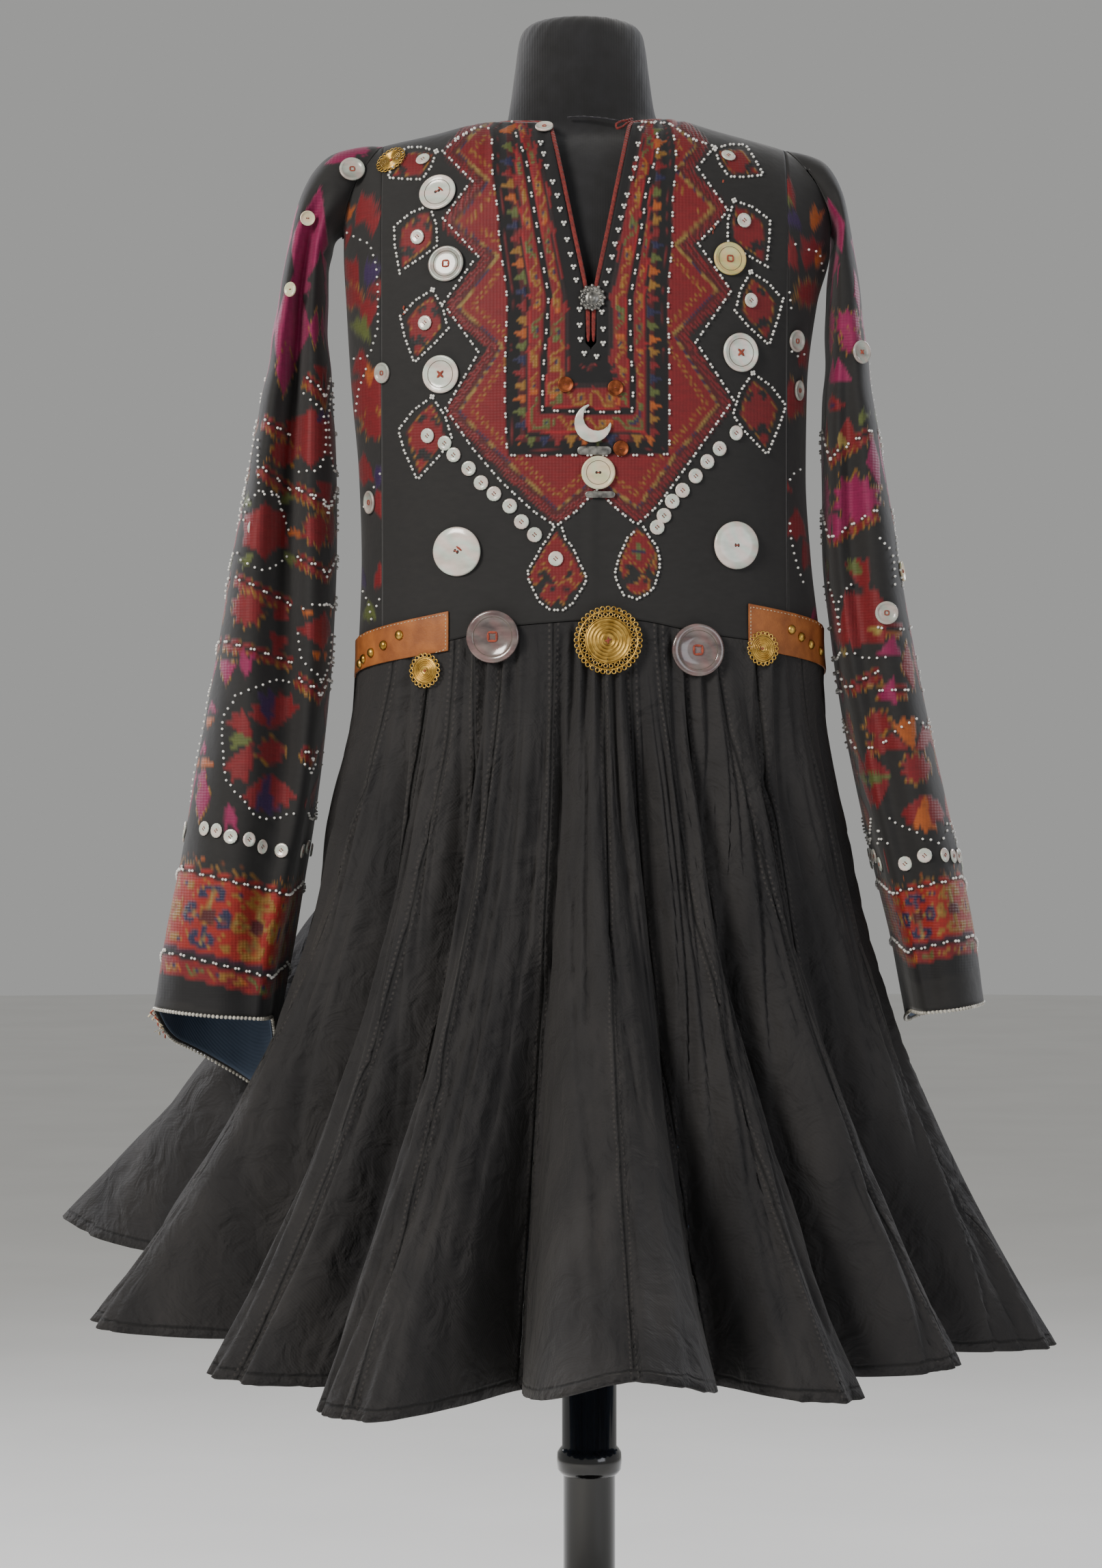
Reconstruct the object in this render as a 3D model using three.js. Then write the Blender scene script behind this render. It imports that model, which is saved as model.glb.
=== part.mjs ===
// Embroidered dress standing on a limbless dress form. Millimetres, +Z up, the front faces -Y,
// the underside of the base is z = 0. Every cloth piece is a closed wall cut out of one of
// three surfaces: the body (a rounded box closing over the shoulders), a sleeve, the skirt.
import * as THREE from 'three';

// ---- driving sizes ----------------------------------------------------------------------
const BODY_WALL = 2.0;        // cotton, its lining and the stitching between them
const SKIRT_WALL = 2.0;
const SLEEVE_WALL = 1.8;
const SEAM = 0.3;             // free space between two pieces at a seam
const ROUND = 2.4;            // how square the body's section is
const CHEST_Z = 1340;         // above this the body closes over the shoulders
const CLOSE = 2.2;            // how square it closes
const SEAM_LEFT = -160;       // front and back panels end at these two upright seams
const SEAM_RIGHT = 151;
const SLIT_Z = 1252;          // foot of the neck slit
const SLIT_HALF = 4.2;
const V_FOOT_Z = 1293;        // the slit opens into the neck from here
const V_TOP_Z = 1434;
const V_TOP_HALF = 33;
const NECK_LEFT = -88;        // ends of the neck edge on the shoulder line
const NECK_RIGHT = 68;
const NAPE_Z = 1433;          // lowest point of the neck edge behind
const BINDING = 3.9;          // how far the neck binding reaches into the opening
const ARMPIT_Z = 1352;
const SLANT_ROWS = [0, 0.05, 0.12, 0.22, 0.34, 0.46, 0.58, 0.69, 0.8, 0.9, 1];
const ARMHOLE_STEPS = 6;      // chords from the shoulder to the armpit
const CREST = 1.7;            // over 1, a fold is broad on its crest and narrow in its valley
const TAB_THICK = 1.6;
const FACING_TOP = 0.9;       // the hem facing starts this far down the skirt
const SKIRT_STEPS = 4;       // columns between a crest and the next valley
const POST_R = 21.4;
const BASE_R = 190;
const BASE_H = 26;

// half width on the left and right, and depth to the front and back, at a height
const BODY = [
  { z: 1000, left: 182, right: 184, front: 113, back: 106 },
  { z: 1040, left: 180, right: 180, front: 112, back: 105 },
  { z: 1100, left: 178, right: 173, front: 114, back: 105 },
  { z: 1165, left: 180, right: 169, front: 117, back: 106 },
  { z: 1234, left: 186, right: 170, front: 119, back: 108 },
  { z: 1300, left: 190, right: 178, front: 114, back: 110 },
  { z: 1340, left: 192, right: 188, front: 106, back: 108 },
  { z: 1470, left: 192, right: 190, front: 104, back: 106 },
];
// the line along the top of the shoulders
const RIDGE = [
  { x: -230, z: 1392 }, { x: -205, z: 1403 }, { x: -190, z: 1412 }, { x: -165, z: 1422 },
  { x: -120, z: 1432 }, { x: -88, z: 1440 }, { x: -40, z: 1446 }, { x: 0, z: 1448 },
  { x: 40, z: 1446 }, { x: 68, z: 1443 }, { x: 100, z: 1434 }, { x: 130, z: 1426 },
  { x: 151, z: 1420 }, { x: 190, z: 1403 }, { x: 230, z: 1384 },
];
// the seam between body and skirt
const WAIST = [
  { x: -200, z: 1022 }, { x: -150, z: 1025 }, { x: -110, z: 1033 }, { x: -50, z: 1045 },
  { x: 25, z: 1049 }, { x: 90, z: 1038 }, { x: 150, z: 1032 }, { x: 200, z: 1030 },
];
// Skirt folds: direction of a crest and of the valley after it (degrees from the front, to
// the right) at the waist and at the hem, the height of the crest and depth of the valley
// half way and at the hem, and how late the fold opens.
const FOLDS = [
  { name: 'back left inner', waist: -170, hem: -170, mid: 8, out: 50, late: 1.4,
    vWaist: -157, vHem: -158, vMid: 8, vOut: 55 },
  { name: 'back left outer', waist: -144, hem: -145, mid: 9, out: 62, late: 1.4,
    vWaist: -131, vHem: -133, vMid: 8, vOut: 60 },
  { name: 'left wing', waist: -122, hem: -119, mid: 16, out: 160, late: 1.1,
    vWaist: -104, vHem: -99, vMid: 6, vOut: 66 },
  { name: 'left side', waist: -64, hem: -81, mid: 10, out: 86, late: 1.9,
    vWaist: -54, vHem: -66, vMid: 9, vOut: 48 },
  { name: 'left hip', waist: -46, hem: -50, mid: 8, out: 46, late: 1.6,
    vWaist: -40, vHem: -41, vMid: 10, vOut: 28 },
  { name: 'left front', waist: -32, hem: -29, mid: 13, out: 62, late: 1.5,
    vWaist: -14, vHem: -15, vMid: 16, vOut: 84 },
  { name: 'centre flare', waist: 5, hem: 4, mid: 12, out: 102, late: 2.3,
    vWaist: 15, vHem: 22, vMid: 13, vOut: 60 },
  { name: 'right front', waist: 25, hem: 34, mid: 11, out: 34, late: 1.5,
    vWaist: 33, vHem: 45, vMid: 12, vOut: 50 },
  { name: 'right hip', waist: 43, hem: 57, mid: 11, out: 26, late: 1.5,
    vWaist: 55, vHem: 68, vMid: 10, vOut: 40 },
  { name: 'right side', waist: 69, hem: 81, mid: 6, out: 56, late: 1.8,
    vWaist: 92, vHem: 96, vMid: 6, vOut: 52 },
  { name: 'right wing', waist: 112, hem: 112, mid: 9, out: 72, late: 1.6,
    vWaist: 126, vHem: 125, vMid: 8, vOut: 58 },
  { name: 'back right outer', waist: 139, hem: 138, mid: 9, out: 58, late: 1.4,
    vWaist: 151, vHem: 151, vMid: 8, vOut: 55 },
  { name: 'back right inner', waist: 163, hem: 163, mid: 8, out: 52, late: 1.4,
    vWaist: 177, vHem: 176, vMid: 8, vOut: 55 },
];
// mean radius of the hem and its height, round the skirt
const HEM = [
  { a: -180, r: 320, z: 496 }, { a: -145, r: 320, z: 500 }, { a: -132, r: 318, z: 520 },
  { a: -117, r: 320, z: 568 }, { a: -98, r: 305, z: 528 }, { a: -81, r: 300, z: 516 },
  { a: -66, r: 300, z: 502 }, { a: -50, r: 300, z: 492 }, { a: -29, r: 300, z: 479 },
  { a: -15, r: 298, z: 482 }, { a: 4, r: 300, z: 519 }, { a: 22, r: 296, z: 488 },
  { a: 40, r: 290, z: 483 }, { a: 57, r: 292, z: 495 }, { a: 81, r: 300, z: 493 },
  { a: 112, r: 312, z: 500 }, { a: 150, r: 320, z: 494 }, { a: 180, r: 320, z: 496 },
];
// Sleeve sections from the armhole to the cuff: inner and outer point seen from the front,
// half depth, and the deep fold down the front (its place, 0 inner to 1 outer, and depth).
const SLEEVE_LEFT = [
  { ix: -190, iz: 1352.6, ox: -160, oz: 1423, w: 45, fold: 0.5, deep: 0, fit: 0 },
  { ix: -194, iz: 1354, ox: -176, oz: 1425, w: 47, fold: 0.5, deep: 0, fit: 0.4 },
  { ix: -200, iz: 1349, ox: -200, oz: 1418, w: 49, fold: 0.5, deep: 2, fit: 0.9 },
  { ix: -201, iz: 1341, ox: -218, oz: 1400, w: 50, fold: 0.5, deep: 8, fit: 1 },
  { ix: -204, iz: 1325, ox: -231, oz: 1366, w: 51, fold: 0.5, deep: 18, fit: 1 },
  { ix: -204, iz: 1298, ox: -242, oz: 1312, w: 53, fold: 0.52, deep: 26, fit: 1 },
  { ix: -202, iz: 1255, ox: -251, oz: 1258, w: 57, fold: 0.52, deep: 32, fit: 1 },
  { ix: -199, iz: 1195, ox: -262, oz: 1195, w: 63, fold: 0.52, deep: 36, fit: 1 },
  { ix: -197, iz: 1120, ox: -276, oz: 1120, w: 70, fold: 0.48, deep: 40, fit: 1 },
  { ix: -200, iz: 1040, ox: -289, oz: 1040, w: 76, fold: 0.4, deep: 40, fit: 1 },
  { ix: -208, iz: 955, ox: -304, oz: 955, w: 82, fold: 0.28, deep: 36, fit: 1 },
  { ix: -223, iz: 865, ox: -320, oz: 865, w: 84, fold: 0.2, deep: 28, fit: 1 },
  { ix: -238, iz: 795, ox: -334, oz: 795, w: 79, fold: 0.16, deep: 18, fit: 1 },
  { ix: -246, iz: 745, ox: -340, oz: 752, w: 72, fold: 0.14, deep: 12, fit: 1 },
];
const SLEEVE_RIGHT = [
  { ix: 188, iz: 1352.6, ox: 151, oz: 1421, w: 45, fold: 0.35, deep: 0, fit: 0 },
  { ix: 190, iz: 1354, ox: 165, oz: 1419, w: 46, fold: 0.35, deep: 0, fit: 0.4 },
  { ix: 192.5, iz: 1348, ox: 184, oz: 1411, w: 46, fold: 0.35, deep: 0, fit: 0.9 },
  { ix: 190, iz: 1334, ox: 197, oz: 1388, w: 53, fold: 0.35, deep: 0, fit: 1 },
  { ix: 187, iz: 1317, ox: 204, oz: 1354, w: 62, fold: 0.35, deep: 0, fit: 1 },
  { ix: 185, iz: 1292, ox: 212, oz: 1306, w: 63, fold: 0.35, deep: 0, fit: 1 },
  { ix: 184, iz: 1252, ox: 218, oz: 1254, w: 64, fold: 0.35, deep: 6, fit: 1 },
  { ix: 182, iz: 1195, ox: 227, oz: 1195, w: 66, fold: 0.35, deep: 13, fit: 1 },
  { ix: 182, iz: 1120, ox: 239, oz: 1120, w: 68, fold: 0.32, deep: 20, fit: 1 },
  { ix: 189, iz: 1040, ox: 252, oz: 1040, w: 74, fold: 0.3, deep: 20, fit: 1 },
  { ix: 203, iz: 955, ox: 269, oz: 955, w: 80, fold: 0.28, deep: 18, fit: 1 },
  { ix: 223, iz: 865, ox: 289, oz: 865, w: 84, fold: 0.25, deep: 16, fit: 1 },
  { ix: 239, iz: 800, ox: 302, oz: 800, w: 84, fold: 0.22, deep: 12, fit: 1 },
  { ix: 249, iz: 750, ox: 307, oz: 757, w: 82, fold: 0.2, deep: 8, fit: 1 },
];
const CUFF_DROP = { left: 72, right: 14 };   // how far the cuff hangs lower behind

// ---- small maths ------------------------------------------------------------------------
const RAD = Math.PI / 180;
const clamp = (v, lo, hi) => Math.min(hi, Math.max(lo, v));
const lerp = (a, b, t) => a + (b - a) * t;
const smooth = (t) => { const c = clamp(t, 0, 1); return c * c * (3 - 2 * c); };
const vec = (x, y, z) => new THREE.Vector3(x, y, z);

// a smooth curve through two columns of a table that never overshoots its rows
function track(rows, key, col) {
  const n = rows.length;
  const d = [];
  for (let i = 0; i < n - 1; i++) {
    d.push((rows[i + 1][col] - rows[i][col]) / (rows[i + 1][key] - rows[i][key]));
  }
  const m = rows.map((_, i) => {
    if (i === 0) return d[0];
    if (i === n - 1) return d[n - 2];
    return d[i - 1] * d[i] <= 0 ? 0 : 2 * d[i - 1] * d[i] / (d[i - 1] + d[i]);
  });
  return (k) => {
    if (k <= rows[0][key]) return rows[0][col];
    if (k >= rows[n - 1][key]) return rows[n - 1][col];
    let i = 0;
    while (rows[i + 1][key] < k) i++;
    const h = rows[i + 1][key] - rows[i][key];
    const t = (k - rows[i][key]) / h;
    const t2 = t * t;
    const t3 = t2 * t;
    return (2 * t3 - 3 * t2 + 1) * rows[i][col] + (t3 - 2 * t2 + t) * h * m[i]
      + (3 * t2 - 2 * t3) * rows[i + 1][col] + (t3 - t2) * h * m[i + 1];
  };
}
const indexed = (rows) => rows.map((row, i) => ({ i, ...row }));

// ---- the body surface -------------------------------------------------------------------
const wide = { left: track(BODY, 'z', 'left'), right: track(BODY, 'z', 'right') };
const deep = { front: track(BODY, 'z', 'front'), back: track(BODY, 'z', 'back') };
const ridge = track(RIDGE, 'x', 'z');
const waist = track(WAIST, 'x', 'z');
const halfWidth = (x, z) => (x < 0 ? wide.left(z) : wide.right(z));
const halfDepth = (z, side) => (side < 0 ? deep.front(z) : deep.back(z));

// depth of the body at x before the shoulders close it; side is -1 in front, 1 behind
function fullDepth(x, z, side) {
  const u = Math.abs(x) / halfWidth(x, z);
  return u >= 1 ? 0 : halfDepth(z, side) * Math.pow(1 - Math.pow(u, ROUND), 1 / ROUND);
}
// A point of a front or back panel. Row 0 to 1 climbs from the waist to the chest, and
// row 1 to 2 from the chest to the given height on the curve over the shoulder.
function panelPoint(x, row, side, topZ) {
  if (row <= 1) {
    const z = lerp(waist(x) + SEAM, CHEST_Z, row);
    return vec(x, side * (fullDepth(x, z, side) + SEAM / 2), z);
  }
  const rise = ridge(x) - CHEST_Z;
  const top = Math.asin(Math.pow(clamp((topZ - CHEST_Z) / rise, 0, 1), CLOSE / 2));
  const a = (row - 1) * top;
  const z = CHEST_Z + rise * Math.pow(Math.sin(a), 2 / CLOSE);
  const close = Math.pow(Math.cos(a), 2 / CLOSE);
  return vec(x, side * (fullDepth(x, z, side) * close + SEAM / 2), z);
}
// A point on the side of the body: w runs 0 at the upright seam to 1 at the very side.
function sidePoint(w, z, hand, side) {
  const seam = hand < 0 ? -SEAM_LEFT : SEAM_RIGHT;
  const half = halfWidth(hand, z);
  const a0 = Math.asin(Math.pow(clamp((seam + SEAM) / half, 0, 1), ROUND / 2));
  const a = lerp(a0, Math.PI / 2, w);
  const x = half * Math.pow(Math.sin(a), 2 / ROUND);
  const up = clamp((z - CHEST_Z) / (ridge(hand * x) - CHEST_Z), 0, 1);
  const close = Math.pow(1 - Math.pow(up, CLOSE), 1 / CLOSE);
  const depth = halfDepth(z, side) * Math.pow(Math.abs(Math.cos(a)), 2 / ROUND) * close;
  return vec(hand * x, side * (depth + SEAM / 2 * (1 - w)), z);
}
// the armhole edge climbs from the armpit to the shoulder line
function armholeZ(w, hand) {
  const seam = hand < 0 ? SEAM_LEFT : SEAM_RIGHT;
  return lerp(ridge(seam), ARMPIT_Z, Math.pow(w, 0.85));
}
// the direction the body's surface faces at a point of it
function bodyFacing(p, side) {
  const level = (x, y, z) => {
    const u = Math.abs(x) / halfWidth(x, z);
    const depth = Math.max(y * side - SEAM / 2, 0) / halfDepth(z, side);
    if (z <= CHEST_Z || u > 0.985) return Math.pow(Math.pow(u, ROUND) + Math.pow(depth, ROUND), 0.5);
    const open = Math.pow(1 - Math.pow(u, ROUND), 1 / ROUND);
    const up = (z - CHEST_Z) / (ridge(x) - CHEST_Z);
    return Math.pow(depth / open, CLOSE) + Math.pow(Math.max(up, 0), CLOSE);
  };
  const h = 0.4;
  return vec(level(p.x + h, p.y, p.z) - level(p.x - h, p.y, p.z),
    level(p.x, p.y + h, p.z) - level(p.x, p.y - h, p.z),
    level(p.x, p.y, p.z + h) - level(p.x, p.y, p.z - h)).normalize();
}
// distance from the axis to the body at an angle and height, below the chest
function bodyRadius(a, z) {
  const s = Math.abs(Math.sin(a)) / halfWidth(Math.sin(a), z);
  const c = Math.abs(Math.cos(a)) / halfDepth(z, Math.cos(a) > 0 ? -1 : 1);
  return Math.pow(Math.pow(s, ROUND) + Math.pow(c, ROUND), -1 / ROUND);
}

// ---- the skirt surface ------------------------------------------------------------------
const hemRadius = track(HEM, 'a', 'r');
const hemHeight = track(HEM, 'a', 'z');
const spread = (s) => Math.pow(Math.max(s, 0), 1.7);
// where a crest or a valley runs, and how far it stands off the plain cone
function extremes(s) {
  const list = [];
  const early = smooth(s / 0.3);
  const grown = clamp((s - 0.3) / 0.7, 0, 1);
  for (const f of FOLDS) {
    const open = Math.pow(grown, f.late);
    list.push({ a: lerp(f.waist, f.hem, s), h: lerp(f.mid * early, f.out, open) });
    const vOpen = Math.pow(grown, 1.3);
    list.push({ a: lerp(f.vWaist, f.vHem, s), h: -lerp(f.vMid * early, f.vOut, vOpen) });
  }
  return list;
}
// Place on the skirt by q, where each whole step of q is one crest or valley of the table.
function skirtPoint(q, s) {
  const list = extremes(s);
  const n = list.length;
  const k = Math.floor(q);
  const t = q - k;
  const one = list[((k % n) + n) % n];
  const two = list[(((k + 1) % n) + n) % n];
  const far = two.a < one.a ? two.a + 360 : two.a;
  const deg = lerp(one.a, far, t);
  const wrapped = deg > 180 ? deg - 360 : deg;
  const bend = k % 2 === 0 ? Math.pow(t, CREST) : 1 - Math.pow(1 - t, CREST);
  const fold = lerp(one.h, two.h, (1 - Math.cos(Math.PI * bend)) / 2);
  const a = wrapped * RAD;
  const top = waist(bodyRadius(a, 1035) * Math.sin(a)) - SEAM;
  const start = bodyRadius(a, top);
  const r = start + (hemRadius(wrapped) - start) * spread(s) + fold;
  const z = lerp(top, hemHeight(wrapped), s);
  return vec(r * Math.sin(a), -r * Math.cos(a), z);
}

// ---- the sleeve surface -----------------------------------------------------------------
function sleeveSurface(table, hand) {
  const rows = indexed(table);
  const at = {};
  for (const col of ['ix', 'iz', 'ox', 'oz', 'w', 'fold', 'deep', 'fit']) {
    at[col] = track(rows, 'i', col);
  }
  const last = rows.length - 1;
  const drop = hand < 0 ? CUFF_DROP.left : CUFF_DROP.right;
  // t runs round the sleeve: 0 outer edge, a quarter front, a half inner edge
  return (k, t) => {
    const a = t * 2 * Math.PI;
    const c = Math.cos(a);
    const s = Math.sin(a);
    const reach = Math.sign(c) * Math.pow(Math.abs(c), 0.85);
    const depth = Math.sign(s) * Math.pow(Math.abs(s), 0.85);
    const even = (reach + 1) / 2;
    const fold = at.fold(k);
    // in front, the middle line round the sleeve runs down the bottom of the fold
    const bent = even < 0.5 ? even * 2 * fold : 1 - (1 - even) * 2 * (1 - fold);
    const share = lerp(even, bent, smooth(s / 0.6));
    const x = lerp(at.ix(k), at.ox(k), share);
    const behind = smooth((0.35 - s) / 1.1) * smooth((k - last + 4) / 4);
    const z = lerp(at.iz(k), at.oz(k), share) - drop * behind * (0.35 + 0.65 * (1 - share));
    let y = -at.w(k) * depth;
    const near = Math.exp(-Math.pow((share - fold) / 0.17, 2));
    if (s > 0) y += at.deep(k) * near * smooth(s / 0.5);
    const fit = at.fit(k);
    if (fit >= 1) return vec(x, y, z);
    const w = (1 - Math.abs(1 - 2 * (t - Math.floor(t)))) * ARMHOLE_STEPS;
    const side = s > 0 ? -1 : 1;
    const on = (i) => sidePoint(i / ARMHOLE_STEPS,
      armholeZ(i / ARMHOLE_STEPS, hand) + 3 * SEAM, hand, side);
    const i = clamp(Math.floor(w), 0, ARMHOLE_STEPS - 1);
    const edge = on(i).lerp(on(i + 1), w - i);
    edge.x += hand * 4 * SEAM * (1 - w / ARMHOLE_STEPS);
    return edge.lerp(vec(x, y, z), fit);
  };
}
const sleeveLeft = sleeveSurface(SLEEVE_LEFT, -1);
const sleeveRight = sleeveSurface(SLEEVE_RIGHT, 1);

// ---- making solids ----------------------------------------------------------------------
const part = new THREE.Group();
part.name = 'embroidered_dress';

function finish(hex, roughness, metalness = 0) {
  return new THREE.MeshStandardMaterial({ color: hex, roughness, metalness });
}
function addMesh(name, points, faces, material) {
  const geometry = new THREE.BufferGeometry();
  geometry.setAttribute('position',
    new THREE.Float32BufferAttribute(points.flatMap((p) => [p.x, p.y, p.z]), 3));
  geometry.setIndex(faces.flat());
  geometry.computeVertexNormals();
  const mesh = new THREE.Mesh(geometry, material);
  mesh.name = name;
  part.add(mesh);
  return mesh;
}
// the direction a surface faces at (u, v), out of the cloth
function facing(surface, u, v, du, dv, flip) {
  const a = surface(u + du, v).sub(surface(u - du, v));
  const b = surface(u, v + dv).sub(surface(u, v - dv));
  return a.cross(b).normalize().multiplyScalar(flip);
}
// The way out of a net of quads at each point, a little longer where the net turns sharply.
function wayOut(points, quads) {
  const sums = points.map(() => vec(0, 0, 0));
  const faces = quads.map((q) => points[q[2]].clone().sub(points[q[0]])
    .cross(points[q[3]].clone().sub(points[q[1]])).normalize());
  quads.forEach((q, i) => q.forEach((v) => sums[v].add(faces[i])));
  const least = points.map(() => 1);
  sums.forEach((sum) => sum.normalize());
  quads.forEach((q, i) => q.forEach((v) => {
    least[v] = Math.min(least[v], sums[v].dot(faces[i]));
  }));
  return sums.map((sum, i) => sum.divideScalar(Math.max(least[i], 0.6)));
}
// A wall whose outer face is a list of points and quads, thickened inwards by their normals.
function addWall(name, points, normals, quads, thick, material) {
  const n = points.length;
  const inner = points.map((p, i) => p.clone().addScaledVector(normals[i], -thick));
  const faces = [];
  const edges = new Map();
  for (const q of quads) {
    const loop = q.filter((v, i) => q.indexOf(v) === i);
    const span = (a, b) => points[loop[a]].distanceTo(points[loop[b]]);
    if (loop.length === 4 && span(1, 3) < span(0, 2)) loop.push(loop.shift());
    for (let i = 1; i < loop.length - 1; i++) {
      faces.push([loop[0], loop[i], loop[i + 1]]);
      faces.push([loop[0] + n, loop[i + 1] + n, loop[i] + n]);
    }
    loop.forEach((v, i) => {
      const w = loop[(i + 1) % loop.length];
      const back = `${w}_${v}`;
      if (edges.has(back)) edges.delete(back);
      else edges.set(`${v}_${w}`, [v, w]);
    });
  }
  for (const [v, w] of edges.values()) {
    faces.push([w, v, v + n], [w, v + n, w + n]);
  }
  return addMesh(name, points.concat(inner), faces, material);
}
// A rectangular patch of a surface(u, v) made into a wall.
function addPatch(name, surface, us, vs, thick, material, { closed = false, flip = 1,
  normalAt = null } = {}) {
  const points = [];
  for (const v of vs) for (const u of us) points.push(surface(u, v));
  const quads = [];
  const nu = us.length;
  for (let j = 0; j < vs.length - 1; j++) {
    for (let i = 0; i < (closed ? nu : nu - 1); i++) {
      const e = (i + 1) % nu;
      const quad = [j * nu + i, j * nu + e, (j + 1) * nu + e, (j + 1) * nu + i];
      quads.push(flip > 0 ? quad : quad.reverse());
    }
  }
  const normals = normalAt ? points.map((p, i) => normalAt(p, us[i % nu])) : wayOut(points, quads);
  return addWall(name, points, normals, quads, thick, material);
}
const steps = (from, to, count) => Array.from({ length: count + 1 },
  (_, i) => lerp(from, to, i / count));

// ---- finishes ---------------------------------------------------------------------------
const cloth = () => finish(0x2b2a29, 0.92);
const embroidered = () => finish(0x4a1c20, 0.9);
const lining = () => finish(0x5b6b80, 0.9);
const leather = () => finish(0x9a5a2c, 0.7);
const pearl = () => finish(0xd8d6d0, 0.3);
const smoky = () => finish(0x6e5c5c, 0.3);
const brass = () => finish(0xb08a3e, 0.4, 1);

// ---- body panels ------------------------------------------------------------------------
const LOW_ROWS = [0, 0.17, 0.34, 0.52];
// the neck edge: height of the panel's top at x
function topOfFront(x) {
  if (x <= NECK_LEFT || x >= NECK_RIGHT) return ridge(x);
  const end = x < 0 ? NECK_LEFT : NECK_RIGHT;
  const corner = x < 0 ? -V_TOP_HALF : V_TOP_HALF;
  return lerp(V_TOP_Z, ridge(end), Math.pow(clamp((x - corner) / (end - corner), 0, 1), 1.4));
}
function topOfBack(x) {
  if (x <= NECK_LEFT || x >= NECK_RIGHT) return ridge(x);
  const end = x < 0 ? NECK_LEFT : NECK_RIGHT;
  return lerp(NAPE_Z, ridge(end), Math.pow(x / end, 2));
}
// half width of the neck slit and opening at a height
function slitHalf(z) {
  if (z <= V_FOOT_Z) return SLIT_HALF;
  const up = Math.min((z - V_FOOT_Z) / (V_TOP_Z - V_FOOT_Z), 1);
  return lerp(SLIT_HALF, V_TOP_HALF, Math.pow(up, 0.95));
}
// front panel: hand is -1 or 1, c runs 0 at the upright seam to 1 at the middle edge
function frontPoint(hand, c, row) {
  const seam = hand < 0 ? SEAM_LEFT + SEAM / 2 : SEAM_RIGHT - SEAM / 2;
  const edge = (z) => (row < slitRow ? 0 : hand * slitHalf(z));
  let z = panelPoint(hand * 40, row, -1, V_TOP_Z).z;
  let x = lerp(seam, edge(z), c);
  for (let i = 0; i < 3; i++) {
    z = panelPoint(x, row, -1, topOfFront(x)).z;
    x = lerp(seam, edge(z), c);
  }
  return panelPoint(x, row, -1, topOfFront(x));
}
const slitRow = (SLIT_Z - waist(0)) / (CHEST_Z - waist(0));
const vRow = (V_FOOT_Z - waist(0)) / (CHEST_Z - waist(0));
const BODY_ROWS = [...LOW_ROWS, slitRow, vRow, 1, 1.22, 1.44, 1.66, 1.85, 2];
const FRONT_ROWS = [...BODY_ROWS.slice(0, 5), slitRow + 0.015, ...BODY_ROWS.slice(5)];
// seven columns from the upright seam to the middle, the fifth line ending at the neck edge
function frontColumns(hand) {
  const seam = hand < 0 ? SEAM_LEFT + SEAM / 2 : SEAM_RIGHT - SEAM / 2;
  const neck = (seam - (hand < 0 ? NECK_LEFT : NECK_RIGHT)) / (seam - hand * V_TOP_HALF);
  return [...steps(0, neck, 4), ...steps(neck, 1, 3).slice(1)];
}
const BACK_XS = [SEAM_LEFT + SEAM / 2, -136, -112, NECK_LEFT, -80, -66, -44, -22, 0, 22, 45,
  60, NECK_RIGHT, 96, 122, SEAM_RIGHT - SEAM / 2];
{
  const rows = FRONT_ROWS;
  const points = [];
  const normals = [];
  const left = [];
  const right = [];
  for (const row of rows) {
    for (const hand of [-1, 1]) {
      const line = [];
      for (const c of frontColumns(hand)) {
        const middle = c === 1;
        if (middle && hand > 0 && row <= slitRow) {
          line.push(left[left.length - 1][7]);
          continue;
        }
        const p = frontPoint(hand, c, row);
        if (middle && row <= slitRow) p.x = 0;
        line.push(points.length);
        points.push(p);
        normals.push(bodyFacing(p, -1));
      }
      (hand < 0 ? left : right).push(line);
    }
  }
  const quads = [];
  for (let j = 0; j < rows.length - 1; j++) {
    for (let i = 0; i < 7; i++) {
      quads.push([left[j][i], left[j][i + 1], left[j + 1][i + 1], left[j + 1][i]]);
      quads.push([right[j][i + 1], right[j][i], right[j + 1][i], right[j + 1][i + 1]]);
    }
  }
  addWall('bodice_front', points, normals, quads, BODY_WALL, cloth());
}
{
  // the back is one piece with a shallow neck edge
  const surface = (x, row) => panelPoint(x, Math.min(row, 2), 1, topOfBack(x));
  addPatch('bodice_back', surface, BACK_XS, BODY_ROWS, BODY_WALL, cloth(),
    { flip: -1, normalAt: (p) => bodyFacing(p, 1) });
}
const sideZ = (w, row, hand) => {
  const seam = hand < 0 ? SEAM_LEFT : SEAM_RIGHT;
  const atSeam = panelPoint(seam, row, -1, ridge(seam)).z;
  const atSide = lerp(waist(hand * 180) + SEAM, ARMPIT_Z, row / 2);
  return lerp(atSeam, atSide, Math.pow(w, 0.85));
};
for (const [name, hand] of [['side_panel_left', -1], ['side_panel_right', 1]]) {
  // from the front seam (g = -1) round the side (g = 0) to the back seam (g = 1)
  const surface = (g, row) => {
    const w = clamp(1 - Math.abs(g), 0, 1);
    return sidePoint(w, sideZ(w, Math.min(row, 2), hand), hand, g < 0 ? -1 : 1);
  };
  addPatch(name, surface, steps(-1, 1, 2 * ARMHOLE_STEPS), BODY_ROWS, BODY_WALL, embroidered(),
    { flip: hand, normalAt: (p, g) => bodyFacing(p, g < 0 ? -1 : 1) });
}

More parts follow.
